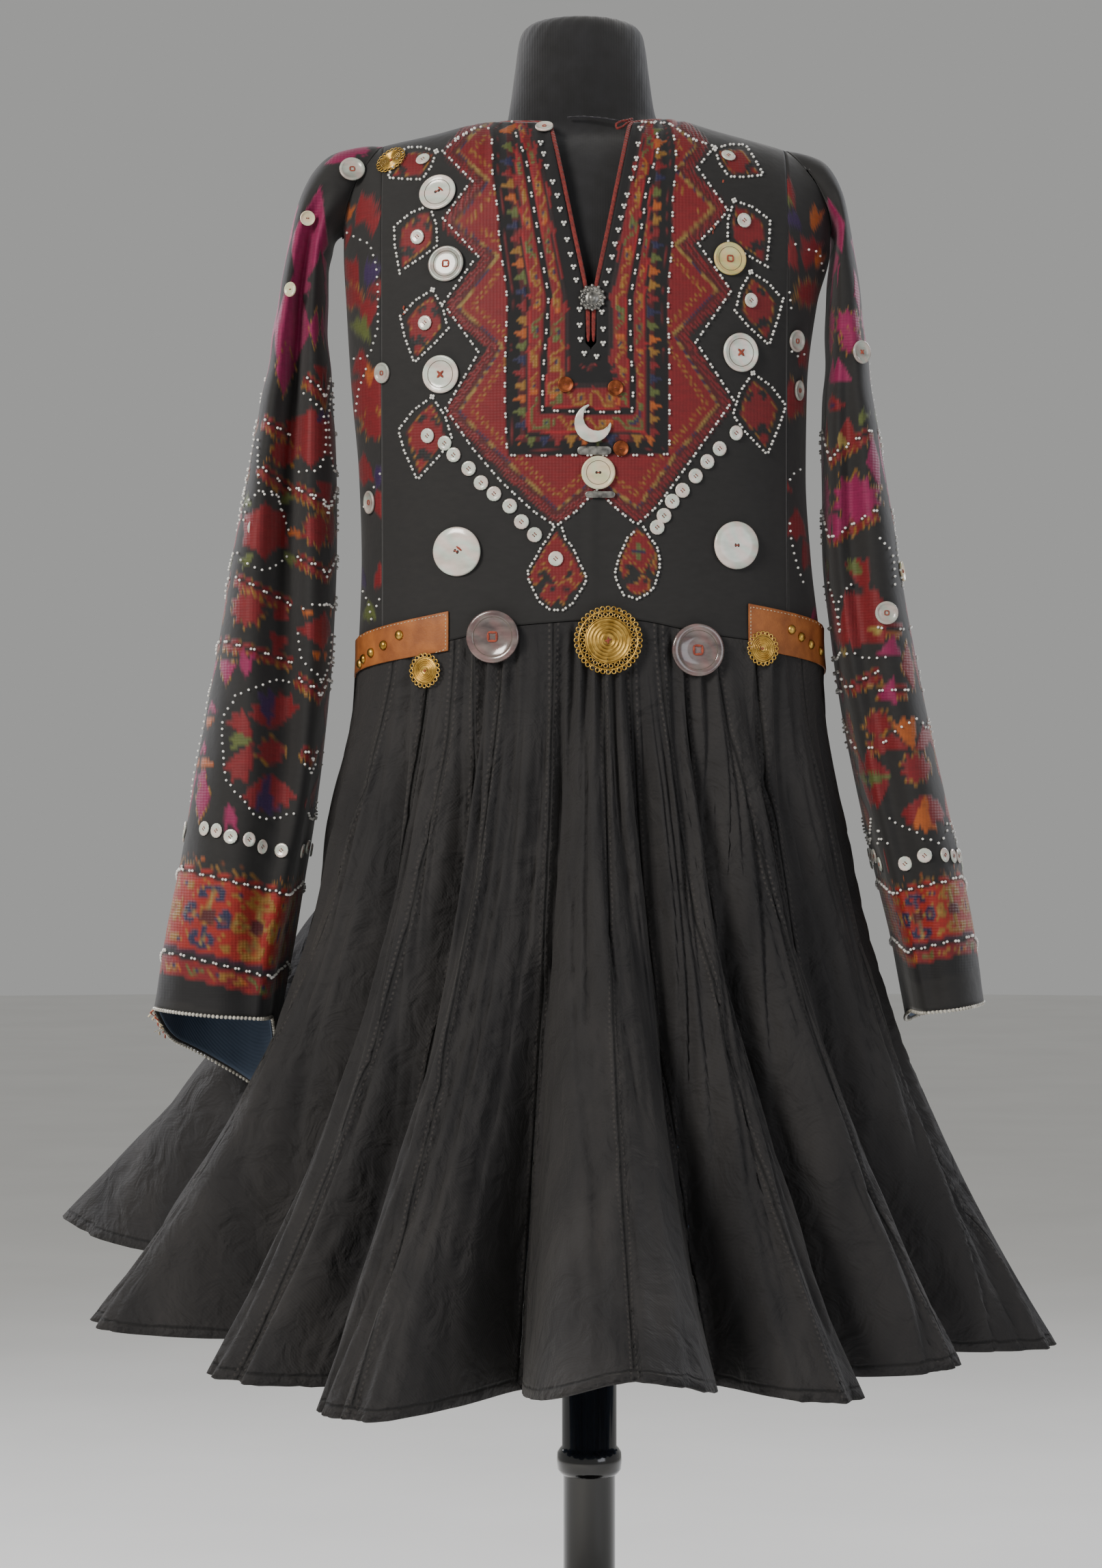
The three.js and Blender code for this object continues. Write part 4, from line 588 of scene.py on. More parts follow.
# kind, thread, x, y, size, turn; kinds ending in a plus have a dotted gold edge
SLEEVE_MOTIFS = {-1: [
    ("leaf", "green", 372, 742, 0.8, -60), ("leaf", "green", 408, 742, 0.8, 40),
    ("leaf", "green", 372, 806, 0.8, -140), ("leaf", "green", 410, 806, 0.8, 130),
    ("leaf", "orange", 415, 780, 0.7, 90), ("hexagon", "red", 387, 777, 0.95, 0),
    ("star+", "red", 362, 892, 1.15, 10), ("triangle", "red", 411, 895, 0.6, 180),
    ("triangle", "red", 405, 944, 0.75, 20), ("triangle+", "magenta", 330, 982, 0.75, 10),
    ("leaf", "magenta", 360, 1000, 1.3, 0), ("petal", "red", 398, 1067, 0.9, -38),
    ("petal", "purple", 396, 1067, 1.15, 0), ("petal", "red", 398, 1067, 1.15, 30),
    ("petal", "red", 369, 1082, 0.95, -38), ("petal", "green", 370, 1084, 0.7, -90),
    ("petal", "red", 369, 1088, 1.25, -152), ("star+", "red", 397, 1101, 0.95, 0),
    ("petal", "red", 392, 1134, 1.1, -152), ("petal", "purple", 392, 1134, 1.2, 180),
    ("petal", "red", 394, 1134, 1.1, 150), ("leaf", "magenta", 322, 1042, 0.9, -70),
    ("leaf", "orange", 316, 1052, 0.8, -110), ("leaf", "magenta", 306, 1108, 1.1, -50),
    ("leaf", "orange", 318, 1118, 0.9, -90), ("leaf", "magenta", 305, 1124, 0.9, -140),
    ("diamond+", "magenta", 296, 1168, 0.8, 8), ("leaf", "magenta", 332, 1170, 1.3, 170),
    ("star+", "red", 466, 777, 1.15, 0), ("triangle", "red", 474, 932, 1.5, -28),
    ("leaf", "orange", 462, 898, 0.6, -90), ("leaf", "orange", 452, 958, 0.6, 100),
    ("petal", "red", 466, 1214, 0.9, 0), ("petal", "orange", 466, 1216, 0.8, 180),
    ("petal", "red", 464, 1238, 1.1, 172), ("star", "deep", 482, 1086, 0.45, 0),
    ("diamond", "magenta", 424, 480, 2.1, 6), ("diamond", "magenta", 452, 352, 2.0, 12),
    ("diamond+", "magenta", 417, 540, 1.0, 4), ("diamond+", "magenta", 462, 480, 0.7, 4),
    ("star", "magenta", 440, 420, 0.6, 0), ("triangle", "red", 472, 548, 0.6, 0),
    ("hexagon", "red", 455, 640, 1.0, 0), ("petal", "purple", 462, 618, 0.5, 50),
    ("star+", "red", 414, 665, 0.9, 0), ("triangle", "red", 480, 722, 0.8, 0),
    ("diamond", "magenta", 506, 226, 0.8, 65), ("star", "magenta", 530, 219, 0.4, 0)],
    1: [
    ("diamond", "magenta", 1206, 380, 1.5, -8), ("diamond", "magenta", 1222, 330, 1.0, -14),
    ("star+", "magenta", 1240, 475, 1.0, 0), ("star+", "magenta", 1246, 500, 0.8, 20),
    ("diamond", "magenta", 1262, 430, 0.9, -10), ("triangle", "magenta", 1222, 548, 0.9, 60),
    ("petal", "red", 1238, 595, 0.8, -80), ("leaf", "purple", 1225, 594, 0.6, -90),
    ("leaf", "green", 1256, 628, 0.8, 20), ("petal", "red", 1240, 612, 0.9, 180),
    ("leaf", "straw", 1226, 630, 0.8, 160), ("star+", "magenta", 1252, 731, 1.6, 0),
    ("diamond", "magenta", 1281, 676, 0.9, -8), ("triangle", "magenta", 1222, 772, 0.9, 20),
    ("petal", "red", 1270, 868, 1.1, -20), ("petal", "green", 1262, 842, 0.6, -45),
    ("hexagon", "red", 1265, 905, 1.1, 20), ("petal", "red", 1262, 918, 1.1, -110),
    ("leaf", "straw", 1266, 922, 0.7, 90), ("leaf", "straw", 1240, 950, 0.6, -120),
    ("triangle", "magenta", 1300, 950, 0.75, 70), ("triangle", "magenta", 1303, 1012, 0.8, 200),
    ("diamond+", "red", 1332, 975, 0.9, -8), ("star+", "red", 1284, 1060, 0.9, 10),
    ("star+", "red", 1287, 1090, 0.6, 0), ("petal", "red", 1330, 1097, 0.8, -70),
    ("petal", "orange", 1337, 1097, 1.0, -20), ("petal", "red", 1340, 1100, 0.9, 40),
    ("star+", "red", 1340, 1125, 1.05, 0), ("petal", "red", 1302, 1133, 1.0, -70),
    ("petal", "green", 1304, 1138, 0.8, -100), ("petal", "red", 1300, 1140, 1.0, -140),
    ("petal", "red", 1352, 1165, 1.0, 210), ("petal", "orange", 1354, 1165, 1.1, 180),
    ("petal", "red", 1358, 1165, 0.9, 150), ("leaf", "straw", 1275, 1232, 0.8, -60),
    ("petal", "red", 1282, 1240, 0.8, 180)]}
SIDE_MOTIFS = {-1: [
    ("petal", "red", 520, 330, 1.0, 30), ("petal", "red", 545, 345, 0.8, 0),
    ("leaf", "orange", 506, 330, 0.9, 10), ("petal", "red", 500, 372, 0.9, 0),
    ("petal", "red", 522, 425, 1.0, -20), ("petal", "purple", 535, 420, 0.8, 20),
    ("petal", "red", 536, 426, 0.7, 80), ("star+", "red", 513, 435, 0.8, 0),
    ("petal", "red", 538, 480, 0.9, 0), ("petal", "green", 540, 500, 0.8, -30),
    ("petal", "red", 528, 512, 0.8, 180), ("hexagon", "red", 552, 585, 1.1, 0),
    ("leaf", "orange", 541, 570, 1.0, 0), ("star+", "red", 549, 622, 1.0, 0),
    ("petal", "red", 532, 665, 0.9, 180), ("petal", "purple", 551, 680, 0.7, 160),
    ("petal", "red", 570, 770, 1.1, -20), ("petal", "orange", 566, 768, 0.9, 38),
    ("petal", "red", 560, 760, 1.0, 150), ("petal", "red", 548, 862, 0.8, 30),
    ("petal", "green", 540, 880, 0.6, 180), ("petal", "purple", 530, 832, 0.6, 190)],
    1: [
    ("petal", "red", 1162, 302, 0.9, -30), ("leaf", "green", 1165, 300, 0.9, -60),
    ("petal", "purple", 1172, 335, 0.6, -40), ("leaf", "orange", 1189, 345, 1.2, 10),
    ("petal", "red", 1168, 395, 1.0, -30), ("petal", "red", 1178, 395, 1.0, 15),
    ("leaf", "orange", 1192, 398, 0.9, 20), ("leaf", "green", 1160, 410, 0.9, -80),
    ("star+", "red", 1183, 430, 0.9, 0), ("petal", "red", 1180, 500, 0.8, 180),
    ("star+", "red", 1158, 585, 1.25, 0), ("petal", "red", 1160, 720, 1.0, -60),
    ("petal", "red", 1165, 745, 0.9, 180), ("petal", "red", 1176, 790, 0.9, 160),
    ("petal", "magenta", 1188, 740, 0.7, 170), ("leaf", "magenta", 1195, 880, 0.9, 180)]}
# slanted red bands with bead pairs: two ends of each
SLEEVE_BANDS = {-1: [((344, 845), (424, 884)), ((325, 938), (426, 969)), ((432, 712), (494, 752)),
                     ((434, 815), (494, 845)), ((436, 992), (485, 1026)), ((443, 1098), (490, 1124)),
                     ((448, 552), (492, 590)), ((386, 614), (422, 636)), ((382, 684), (424, 716)),
                     ((436, 716), (492, 742))],
                1: [((1203, 675), (1272, 632)), ((1213, 788), (1280, 748)),
                    ((1282, 918), (1318, 920)), ((1240, 1008), (1284, 984)),
                    ((1284, 1012), (1325, 1010)), ((1268, 1096), (1296, 1086))]}
# arcs of single beads
SLEEVE_ARCS = {-1: [
    chart(200, 700, 2.6136, "370,860 380,830 420,815 470,795 520,772 585,778"),
    chart(200, 700, 2.6136, "370,862 345,890 330,925 330,1000 335,1070 340,1150 375,1200 "
          "402,1225 425,1255 447,1295 490,1305 555,1300 600,1280"),
    chart(200, 700, 2.6136, "385,290 402,315 440,335 475,352 520,340 575,300"),
    chart(200, 700, 2.6136, "405,160 420,85 465,58 525,50 550,125 580,200"),
    chart(200, 700, 2.6136, "620,598 628,680 660,730 705,770 770,785"),
    chart(200, 700, 2.6136, "640,495 690,484 755,483"),
    chart(200, 700, 2.6136, "640,1095 670,1118 698,1138 730,1170 740,1210 754,1248"),
    chart(200, 700, 2.6136, "632,1535 670,1533 700,1528"),
    chart(250, 180, 2.705, "530,1075 560,1100 605,1155 622,1195 620,1280 585,1365 550,1385 510,1378"),
    chart(250, 180, 2.705, "345,1255 350,1465 420,1475 435,1535")],
    1: [chart(1100, 180, 2.306, "235,815 230,1070 228,1135 222,1180"),
        chart(1080, 850, 2.412, "397,10 365,55 345,105 335,165 328,180"),
        chart(1080, 850, 2.412, "385,255 430,270 485,278 520,270"),
        chart(1080, 850, 2.412, "555,535 585,510 625,490 655,505 675,520"),
        chart(1080, 850, 2.412, "470,887 500,915 530,930"),
        chart(1080, 850, 2.412, "533,845 565,858 600,875 630,888 650,910 705,928 740,885 746,860"),
        chart(1100, 180, 2.306, "430,1400 480,1465 480,1560")]}
SIDE_ARCS = {-1: [
    chart(250, 180, 2.705, "650,455 690,430 745,460 790,480 815,565 822,670 822,810 790,920 "
          "735,940 705,915"),
    chart(250, 180, 2.705, "860,920 885,980 900,1070 900,1170 890,1230 870,1260"),
    chart(250, 180, 2.705, "775,975 745,1060 735,1140"),
    chart(250, 180, 2.705, "830,1390 870,1415 895,1475 905,1525"),
    chart(200, 700, 2.6136, "910,35 870,115 840,200 835,295 850,395 890,480 900,540"),
    chart(200, 700, 2.6136, "968,10 1000,65 1003,110 1000,200 990,300 975,360 940,440 920,490")],
    1: [chart(1100, 180, 2.306, "145,410 115,420 115,500 125,575 130,625"),
        chart(1100, 180, 2.306, "190,428 225,436 238,500 205,720 185,775 155,790 130,770 105,770 "
              "100,870 98,915"),
        chart(1100, 180, 2.306, "160,1170 130,1190 112,1255 112,1300 125,1350 130,1405 140,1455 "
              "155,1510 170,1550"),
        chart(1100, 180, 2.306, "185,1240 190,1310 185,1370 190,1410")]}


def stitch_motif(cloth, kind, thread, x, y, size, deg):
    shape = turned(MOTIF[kind.rstrip("+")], x, y, size, deg)
    cloth.fill(shape, thread, 1.6, feather=0.0 if kind.endswith("+") else 1.5, pitch=3.4)
    if kind.endswith("+"):
        outline = np.vstack([shape, shape[:1]])
        cloth.line(x * np.array([1, 0]) + y * np.array([0, 1])
                   + (outline - (x, y)) * 1.12, "gold", 0.9, dash=3.6)


def stitch_band(cloth, start, end):
    """A red band with its bead line in black, gold edges and a comb of gold stitches below."""
    line = np.array([start, end], float)
    i = cloth.near(line, 24)
    if len(i) == 0:
        return
    dx, dy = line[1] - line[0]
    span = math.hypot(dx, dy)
    along = ((cloth.u[i] - line[0][0]) * dx + (cloth.v[i] - line[0][1]) * dy) / span
    off = ((cloth.v[i] - line[0][1]) * dx - (cloth.u[i] - line[0][0]) * dy) / span
    on = (along > -2) & (along < span + 2)
    cloth.lay(i, on * (0.5 + (6.5 - np.abs(off)) / 1.4), "red", 0.5)
    cloth.lay(i, on * (0.5 + (2.6 - np.abs(off)) / 1.2), "black", 0.2)
    comb = np.abs((along % 9.0) - 4.5)
    teeth = on & (off > 6) & (off < 15 - comb * 1.4)
    cloth.lay(i, teeth * 0.9, "red", 0.6)
    rim = on & (off > 6) & (np.abs(off - (16 - comb * 1.4)) < 1.2)
    cloth.lay(i, rim * 0.9, "gold", 0.8)
    cloth.lay(i, on * (0.7 - np.abs(np.abs(off) - 7) / 1.2), "gold", 0.6)


# the cuff's stripes: left and right end of the line that the others lie parallel to
CUFF = {-1: ((265, 1272), (422, 1310), 1.0), 1: ((1297, 1309), (1408, 1284), 0.72)}


def stitch_cuff(cloth, hand):
    """Zigzag, bead line, the wide red band with its horned crosses, scroll band, dark edge."""
    (x1, y1), (x2, y2), scale = CUFF[hand]
    i = np.nonzero((cloth.v > min(y1, y2) - 60) & (cloth.u < 560 if hand < 0 else cloth.u > 1240))[0]
    u, v = cloth.u[i], cloth.v[i]
    span = math.hypot(x2 - x1, y2 - y1)
    along = ((u - x1) * (x2 - x1) + (v - y1) * (y2 - y1)) / span
    off = ((v - y1) * (x2 - x1) - (u - x1) * (y2 - y1)) / span / scale
    along = along / scale

    def stripe(low, high, thread, height=0.5):
        cloth.lay(i, (0.5 + (off - low) / 1.4) * (off < high), thread, height)
    tooth = np.abs((along % 9) - 4.5)
    cloth.lay(i, 1.0 - np.abs(off + 15 - tooth * 1.3) / 1.7, "gold", 0.7)
    cloth.lay(i, (1.0 - np.abs(off + 24 - tooth) / 1.4) * (along % 4 < 2), "orange", 0.5)
    stripe(-7, -3, "fire")
    stripe(-3, 4, "black", 0.2)
    stripe(4, 112, "fire")
    cloth.lay(i, 0.8 - np.abs(off - 7) / 1.1, "gold", 0.6)
    stripe(112, 118, "wine")
    stripe(118, 128, "black", 0.2)
    stripe(128, 154, "red")
    for at in (129, 152):
        cloth.lay(i, 0.8 - np.abs(off - at) / 1.2, "fire", 0.7)
    stripe(154, 190, "black", 0.2)
    # horned crosses in the wide band, navy in turn with gold
    pitch = 74.0
    cell = np.floor((along - 16) / pitch)
    x = (along - 16) - (cell + 0.5) * pitch
    y = off - 59
    mx, my = np.abs(x), np.abs(y)
    arm = np.array([(0, 0), (0, 26), (0, 44)], float)
    horn = np.array([(0, 43), (9, 43), (15, 38), (16, 30), (10, 28)], float)
    band = (off > 8) & (off < 110)
    d_arm = np.minimum(from_line(mx, my, arm)[0], from_line(my * 1.35, mx * 1.35, arm)[0] / 1.2)
    d_horn = np.minimum(from_line(mx, my, horn)[0], from_line(my * 1.35, mx * 1.35, horn)[0] / 1.2)
    for odd, thread in ((0, "navy"), (1, "gold")):
        here = band & (np.abs(cell) % 2 == odd)
        cloth.lay(i, here * (0.5 + (3.6 - np.minimum(d_arm, d_horn)) / 1.4), "straw"
                  if odd == 0 else "green", 0.7)
        cloth.lay(i, here * (0.5 + (2.8 - d_arm) / 1.2), thread, 0.8)
        cloth.lay(i, here * (0.5 + (4.2 - d_horn) / 1.4), thread, 0.8)
        cloth.lay(i, here * (0.5 + (0.7 - d_arm) / 1.0), "straw", 0.8)
    cloth.lay(i, band * (0.5 + (11 - np.maximum(mx, my)) / 1.4), "deep", 0.7)
    cloth.lay(i, band * (1.2 - np.abs(np.maximum(mx, my) - 11)) * 1.0, "gold", 0.8)
    rhomb = np.abs(mx / 36 + my / 46 - 1.3)
    cloth.lay(i, band * (rhomb < 0.035) * (np.sin(my * 1.6) > -0.3), "gold", 0.7)
    corner = np.maximum(np.abs(mx - 33), np.abs(my - 40))
    cloth.lay(i, band * (corner < 4.5), "gold", 0.7)
    cloth.lay(i, band * (corner < 2), "navy", 0.7)
    # scrolls
    here = np.nonzero((off > 131) & (off < 150))[0]
    hook_band(cloth, i[here], along[here], (off[here] - 131) / 19, 34)


def stitch_piece(name, cloth):
    """Works the needlework of one piece into its cloth."""
    hand = -1 if name.endswith("left") else 1
    if name == "bodice_front":
        stitch_yoke(cloth)
        stitch_pendants(cloth)
        for (x, y), size, deg in HORNS:
            stitch_horn(cloth, x, y, size, deg)
    elif name.startswith("side_panel"):
        for motif in SIDE_MOTIFS[hand]:
            stitch_motif(cloth, *motif)
    elif name.startswith("sleeve"):
        for start, end in SLEEVE_BANDS[hand]:
            stitch_band(cloth, start, end)
        for motif in SLEEVE_MOTIFS[hand]:
            stitch_motif(cloth, *motif)
        stitch_cuff(cloth, hand)


# ---- finishes -------------------------------------------------------------------------------
def add_node(tree, kind, inputs=None, links=None, **settings):
    """Adds one node, sets it, fills its sockets and joins it up."""
    node = tree.nodes.new(kind)
    for key, value in settings.items():
        setattr(node, key, value)
    for key, value in (inputs or {}).items():
        node.inputs[key].default_value = value
    for key, source in (links or {}).items():
        tree.links.new(source, node.inputs[key])
    return node


def wave_scale(period_mm):
    """Scale of a wave texture whose bands repeat at a real distance."""
    return 0.31416 / (period_mm * MM)


def noise_scale(grain_mm):
    return 1 / (grain_mm * MM)


def open_material(name, **sockets):
    """A new material, its tree, its shader and the object coordinates."""
    material = bpy.data.materials.new(name)
    material.use_nodes = True
    tree = material.node_tree
    shader = tree.nodes["Principled BSDF"]
    for key, value in sockets.items():
        shader.inputs[key.replace("_", " ")].default_value = value
    place = add_node(tree, "ShaderNodeTexCoord").outputs["Object"]
    return material, tree, shader, place


def rgba(code):
    return hex_colour(code) + (1.0,)


def mottled(tree, place, dark, light, grain_mm, stretch=(1, 1, 1), detail=4.0):
    """A colour that wanders between two tones at a real grain size."""
    mapped = add_node(tree, "ShaderNodeMapping", {"Scale": stretch}, {"Vector": place})
    cloud = add_node(tree, "ShaderNodeTexNoise", {"Scale": noise_scale(grain_mm),
                     "Detail": detail}, {"Vector": mapped.outputs["Vector"]})
    ramp = add_node(tree, "ShaderNodeValToRGB", None, {"Fac": cloud.outputs["Fac"]})
    ramp.color_ramp.elements[0].position = 0.3
    ramp.color_ramp.elements[1].position = 0.7
    ramp.color_ramp.elements[0].color = rgba(dark)
    ramp.color_ramp.elements[1].color = rgba(light)
    return ramp.outputs["Color"], cloud.outputs["Fac"]


def toned(tree, shader, place, *tones, **more):
    """Gives the shader its mottled colour and passes on the cloud that made it."""
    colour, cloud = mottled(tree, place, *tones, **more)
    tree.links.new(colour, shader.inputs["Base Color"])
    return cloud


def lines(tree, place, pitch_mm, distortion, direction, **sockets):
    """Parallel lines at a real pitch."""
    return add_node(tree, "ShaderNodeTexWave", {"Scale": wave_scale(pitch_mm),
                    "Distortion": distortion, **sockets}, {"Vector": place},
                    wave_type="BANDS", bands_direction=direction).outputs["Fac"]


def noise(tree, place, grain_mm, detail=2.0, **sockets):
    """An even noise at a real grain size."""
    return add_node(tree, "ShaderNodeTexNoise", {"Scale": noise_scale(grain_mm),
                    "Detail": detail, **sockets}, {"Vector": place}).outputs["Fac"]


def add_bumps(tree, shader, *layers):
    """Stacks height layers, each with its strength and its depth in millimetres."""
    normal = None
    for height, strength, depth in layers:
        links = {"Height": height}
        if normal is not None:
            links["Normal"] = normal
        bump = add_node(tree, "ShaderNodeBump", {"Strength": strength, "Distance": depth * MM},
                        links)
        normal = bump.outputs["Normal"]
    tree.links.new(normal, shader.inputs["Normal"])


# the real twill line is 0.8 mm; it is drawn wider so that it shows
TWILL_PITCH = 1.8


def twill_cotton(name, dark, light, sheen):
    """Hand-dyed cotton twill, yarn-spun and washed: matt, with a soft bloom on the folds."""
    material, tree, shader, place = open_material(name, Roughness=0.86, Sheen_Weight=sheen,
                                                  Sheen_Roughness=0.45)
    shader.inputs["Sheen Tint"].default_value = rgba("#c4c0ba")
    cloud = toned(tree, shader, place, dark, light, 55, (1, 1, 0.35))
    twill = lines(tree, place, TWILL_PITCH, 0.6, "DIAGONAL")
    crumple = noise(tree, place, 26, 3.0)
    add_bumps(tree, shader, (twill, 0.28, 0.3), (crumple, 0.5, 3.0), (cloud, 0.3, 2.0))
    return material


def ranged(tree, value, low, high, start=0.0, end=1.0):
    """A value held between two marks and spread over a new range."""
    return add_node(tree, "ShaderNodeMapRange", {"From Min": low, "From Max": high,
                    "To Min": start, "To Max": end}, {"Value": value}).outputs["Result"]


def sums(tree, operation, a, b):
    return add_node(tree, "ShaderNodeMath", None, {0: a, 1: b},
                    operation=operation).outputs["Value"]


def gored_cotton(name):
    """The same twill cut in narrow gores: run seams, puckered beside them, and a turned hem, with
    painted shade darkening each seam line and a line along the top of the turned hem.
    """
    material, tree, shader, place = open_material(name, Roughness=0.88, Sheen_Weight=0.08,
                                                  Sheen_Roughness=0.5)
    shader.inputs["Sheen Tint"].default_value = rgba("#c4c0ba")
    colour, cloud = mottled(tree, place, "#181719", "#2c2a2a", 45, (1, 1, 0.35), 6.0)
    sewn = add_node(tree, "ShaderNodeAttribute", attribute_name="sewn",
                    attribute_type="GEOMETRY")
    marks = add_node(tree, "ShaderNodeSeparateColor", None, {"Color": sewn.outputs["Color"]})
    seam, hem, run = (marks.outputs[i] for i in range(3))
    stroke = add_node(tree, "ShaderNodeMath", {1: 1.4}, {0: run}, operation="MULTIPLY")
    dash = ranged(tree, add_node(tree, "ShaderNodeMath", None, {0: stroke.outputs["Value"]},
                  operation="SINE").outputs["Value"], -0.2, 0.4)
    row = sums(tree, "MULTIPLY", ranged(tree, seam, 2.2, 3.0), ranged(tree, seam, 4.6, 3.8))
    stitches = sums(tree, "MULTIPLY", row, dash)
    groove = sums(tree, "MULTIPLY", ranged(tree, seam, 0.3, 1.6), ranged(tree, hem, 9.0, 10.4))
    groove_shade_and_relief = sums(tree, "MAXIMUM", groove, ranged(tree, hem, 8.2, 7.0))
    # painted shade: near-black #0b0a0c is mixed into the colour along each seam and in a line 8 to 9
    # mm above the hem, where the grooves lie in shade
    shade = add_node(tree, "ShaderNodeMix", {6: rgba("#0b0a0c")}, {0: groove_shade_and_relief, 7: colour},
                     data_type="RGBA")
    lit = add_node(tree, "ShaderNodeMix", {7: rgba("#343130")},
                   {0: stitches, 6: shade.outputs[2]}, data_type="RGBA")
    tree.links.new(lit.outputs[2], shader.inputs["Base Color"])
    twill = lines(tree, place, TWILL_PITCH, 0.6, "DIAGONAL")
    crumple = noise(tree, place, 30, 4.0, Distortion=0.8)
    tug = noise(tree, place, 8)
    pucker = sums(tree, "MULTIPLY", tug, ranged(tree, seam, 11.0, 1.0))
    ruffle = sums(tree, "MULTIPLY", tug, ranged(tree, hem, 22.0, 6.0))
    add_bumps(tree, shader, (twill, 0.25, 0.3), (crumple, 0.9, 8.0), (cloud, 0.4, 3.0),
              (pucker, 1.0, 4.0), (ruffle, 1.0, 4.5), (groove_shade_and_relief, 0.9, 1.2), (stitches, 0.5, 0.4))
    return material


def needlework(name):
    """Cotton covered with floss silk: the cloth is matt, the silk ribbed and slightly bright."""
    material, tree, shader, place = open_material(name, Sheen_Weight=0.18, Sheen_Roughness=0.4)
    thread = add_node(tree, "ShaderNodeAttribute", attribute_name="stitch",
                      attribute_type="GEOMETRY")
    mapped = add_node(tree, "ShaderNodeMapping", {"Scale": (1, 1, 3)}, {"Vector": place})
    wander = noise(tree, mapped.outputs["Vector"], 9, 4.0)
    shade = add_node(tree, "ShaderNodeMapRange", {"To Min": 0.72, "To Max": 1.28},
                     {"Value": wander})
    tinted = add_node(tree, "ShaderNodeVectorMath", None,
                      {0: thread.outputs["Color"], 1: shade.outputs["Result"]},
                      operation="MULTIPLY")
    tree.links.new(tinted.outputs["Vector"], shader.inputs["Base Color"])
    shine = add_node(tree, "ShaderNodeMapRange", {"To Min": 0.86, "To Max": 0.5},
                     {"Value": thread.outputs["Alpha"]})
    tree.links.new(shine.outputs["Result"], shader.inputs["Roughness"])
    # counted stitches stand 1.1 mm apart, drawn at 2.2 mm so that they show
    grid = sums(tree, "ADD", lines(tree, place, 2.2, 1.2, "Z"), lines(tree, place, 2.6, 1.2, "X"))
    worked = sums(tree, "MULTIPLY", grid, thread.outputs["Alpha"])
    add_bumps(tree, shader, (noise(tree, place, 24, 3.0), 0.4, 2.4),
              (thread.outputs["Alpha"], 0.6, 0.9), (worked, 0.5, 0.4))
    return material


def twisted_cotton(name, dark, light):
    """Twisted cotton cord and binding: fine slanting ply lines."""
    material, tree, shader, place = open_material(name, Roughness=0.75, Sheen_Weight=0.2)
    cloud = toned(tree, shader, place, dark, light, 4)
    ply = lines(tree, place, 2.4, 0.8, "DIAGONAL")
    add_bumps(tree, shader, (ply, 0.8, 0.6), (cloud, 0.3, 0.5))
    return material


def tanned_leather(name):
    """Vegetable-tanned hide, worn: dry, with fine grain and darker handling marks."""
    material, tree, shader, place = open_material(name, Roughness=0.62, IOR=1.5)
    cloud = toned(tree, shader, place, "#7d431c", "#a9652f", 16, detail=7.0)
    grain = add_node(tree, "ShaderNodeTexVoronoi", {"Scale": noise_scale(1.6)},
                     {"Vector": place})
    add_bumps(tree, shader, (grain.outputs["Distance"], 0.35, 0.3), (cloud, 0.5, 1.0))
    return material


def shell(name, dark, light, rough, coat):
    """Sea shell cut and polished: milky layers that turn pink and green, under a gloss."""
    material, tree, shader, place = open_material(name, Roughness=rough, IOR=1.55,
                                                  Coat_Weight=coat, Coat_Roughness=0.12)
    colour, cloud = mottled(tree, place, dark, light, 18, (1, 1, 2.4), 3.0)
    layers = lines(tree, place, 9, 9.0, "DIAGONAL", Detail=2.0)
    tint = add_node(tree, "ShaderNodeMix", {6: rgba("#f4ddd8"), 7: rgba("#d4ebe2")},
                    {0: layers}, data_type="RGBA")
    mixed = add_node(tree, "ShaderNodeMix", {0: 0.6}, {6: colour, 7: tint.outputs[2]},
                     data_type="RGBA", blend_type="MULTIPLY")
    tree.links.new(mixed.outputs[2], shader.inputs["Base Color"])
    add_bumps(tree, shader, (layers, 0.1, 0.2), (cloud, 0.12, 0.4))
    return material


def worn_metal(name, dark, light, rough):
    """Stamped or cast sheet metal, handled: its tone and its roughness wander at random between a
    dark and a bright metal.
    """
    material, tree, shader, place = open_material(name, Metallic=1.0)
    cloud = toned(tree, shader, place, dark, light, 5, detail=6.0)
    haze = add_node(tree, "ShaderNodeMapRange", {"To Min": rough, "To Max": rough + 0.22},
                    {"Value": cloud})
    tree.links.new(haze.outputs["Result"], shader.inputs["Roughness"])
    add_bumps(tree, shader, (cloud, 0.35, 0.5))
    return material


def glass_bead(name, dark, light, rough):
    """Drawn glass seed bead: small, opaque, with a bright glint."""
    material, tree, shader, place = open_material(name, Roughness=rough, IOR=1.52,
                                                  Coat_Weight=0.5)
    toned(tree, shader, place, dark, light, 6)
    return material


def lacquered_wood(name):
    """Turned beech, stained black and French polished: deep gloss, faintly uneven."""
    material, tree, shader, place = open_material(name, Roughness=0.16, IOR=1.5,
                                                  Coat_Weight=0.7, Coat_Roughness=0.06)
    toned(tree, shader, place, "#060606", "#12100f", 30, (1, 1, 0.1))
    add_bumps(tree, shader, (noise(tree, place, 7), 0.03, 0.3))
    return material


def jersey(name):
    """Knitted black cotton stretched over a padded form: very matt, with a fine rib."""
    material, tree, shader, place = open_material(name, Roughness=0.92, Sheen_Weight=0.3,
                                                  Sheen_Roughness=0.5)
    cloud = toned(tree, shader, place, "#0e0e10", "#1a1a1d", 14)
    rib = lines(tree, place, 2.0, 1.0, "X")
    add_bumps(tree, shader, (rib, 0.25, 0.3), (cloud, 0.4, 1.4))
    return material


def floor_paper(name):
    """Pale matt studio paper."""
    material, tree, shader, place = open_material(name, Roughness=0.9)
    toned(tree, shader, place, "#ebeae7", "#f1f0ed", 400)
    return material


FINISH = {}


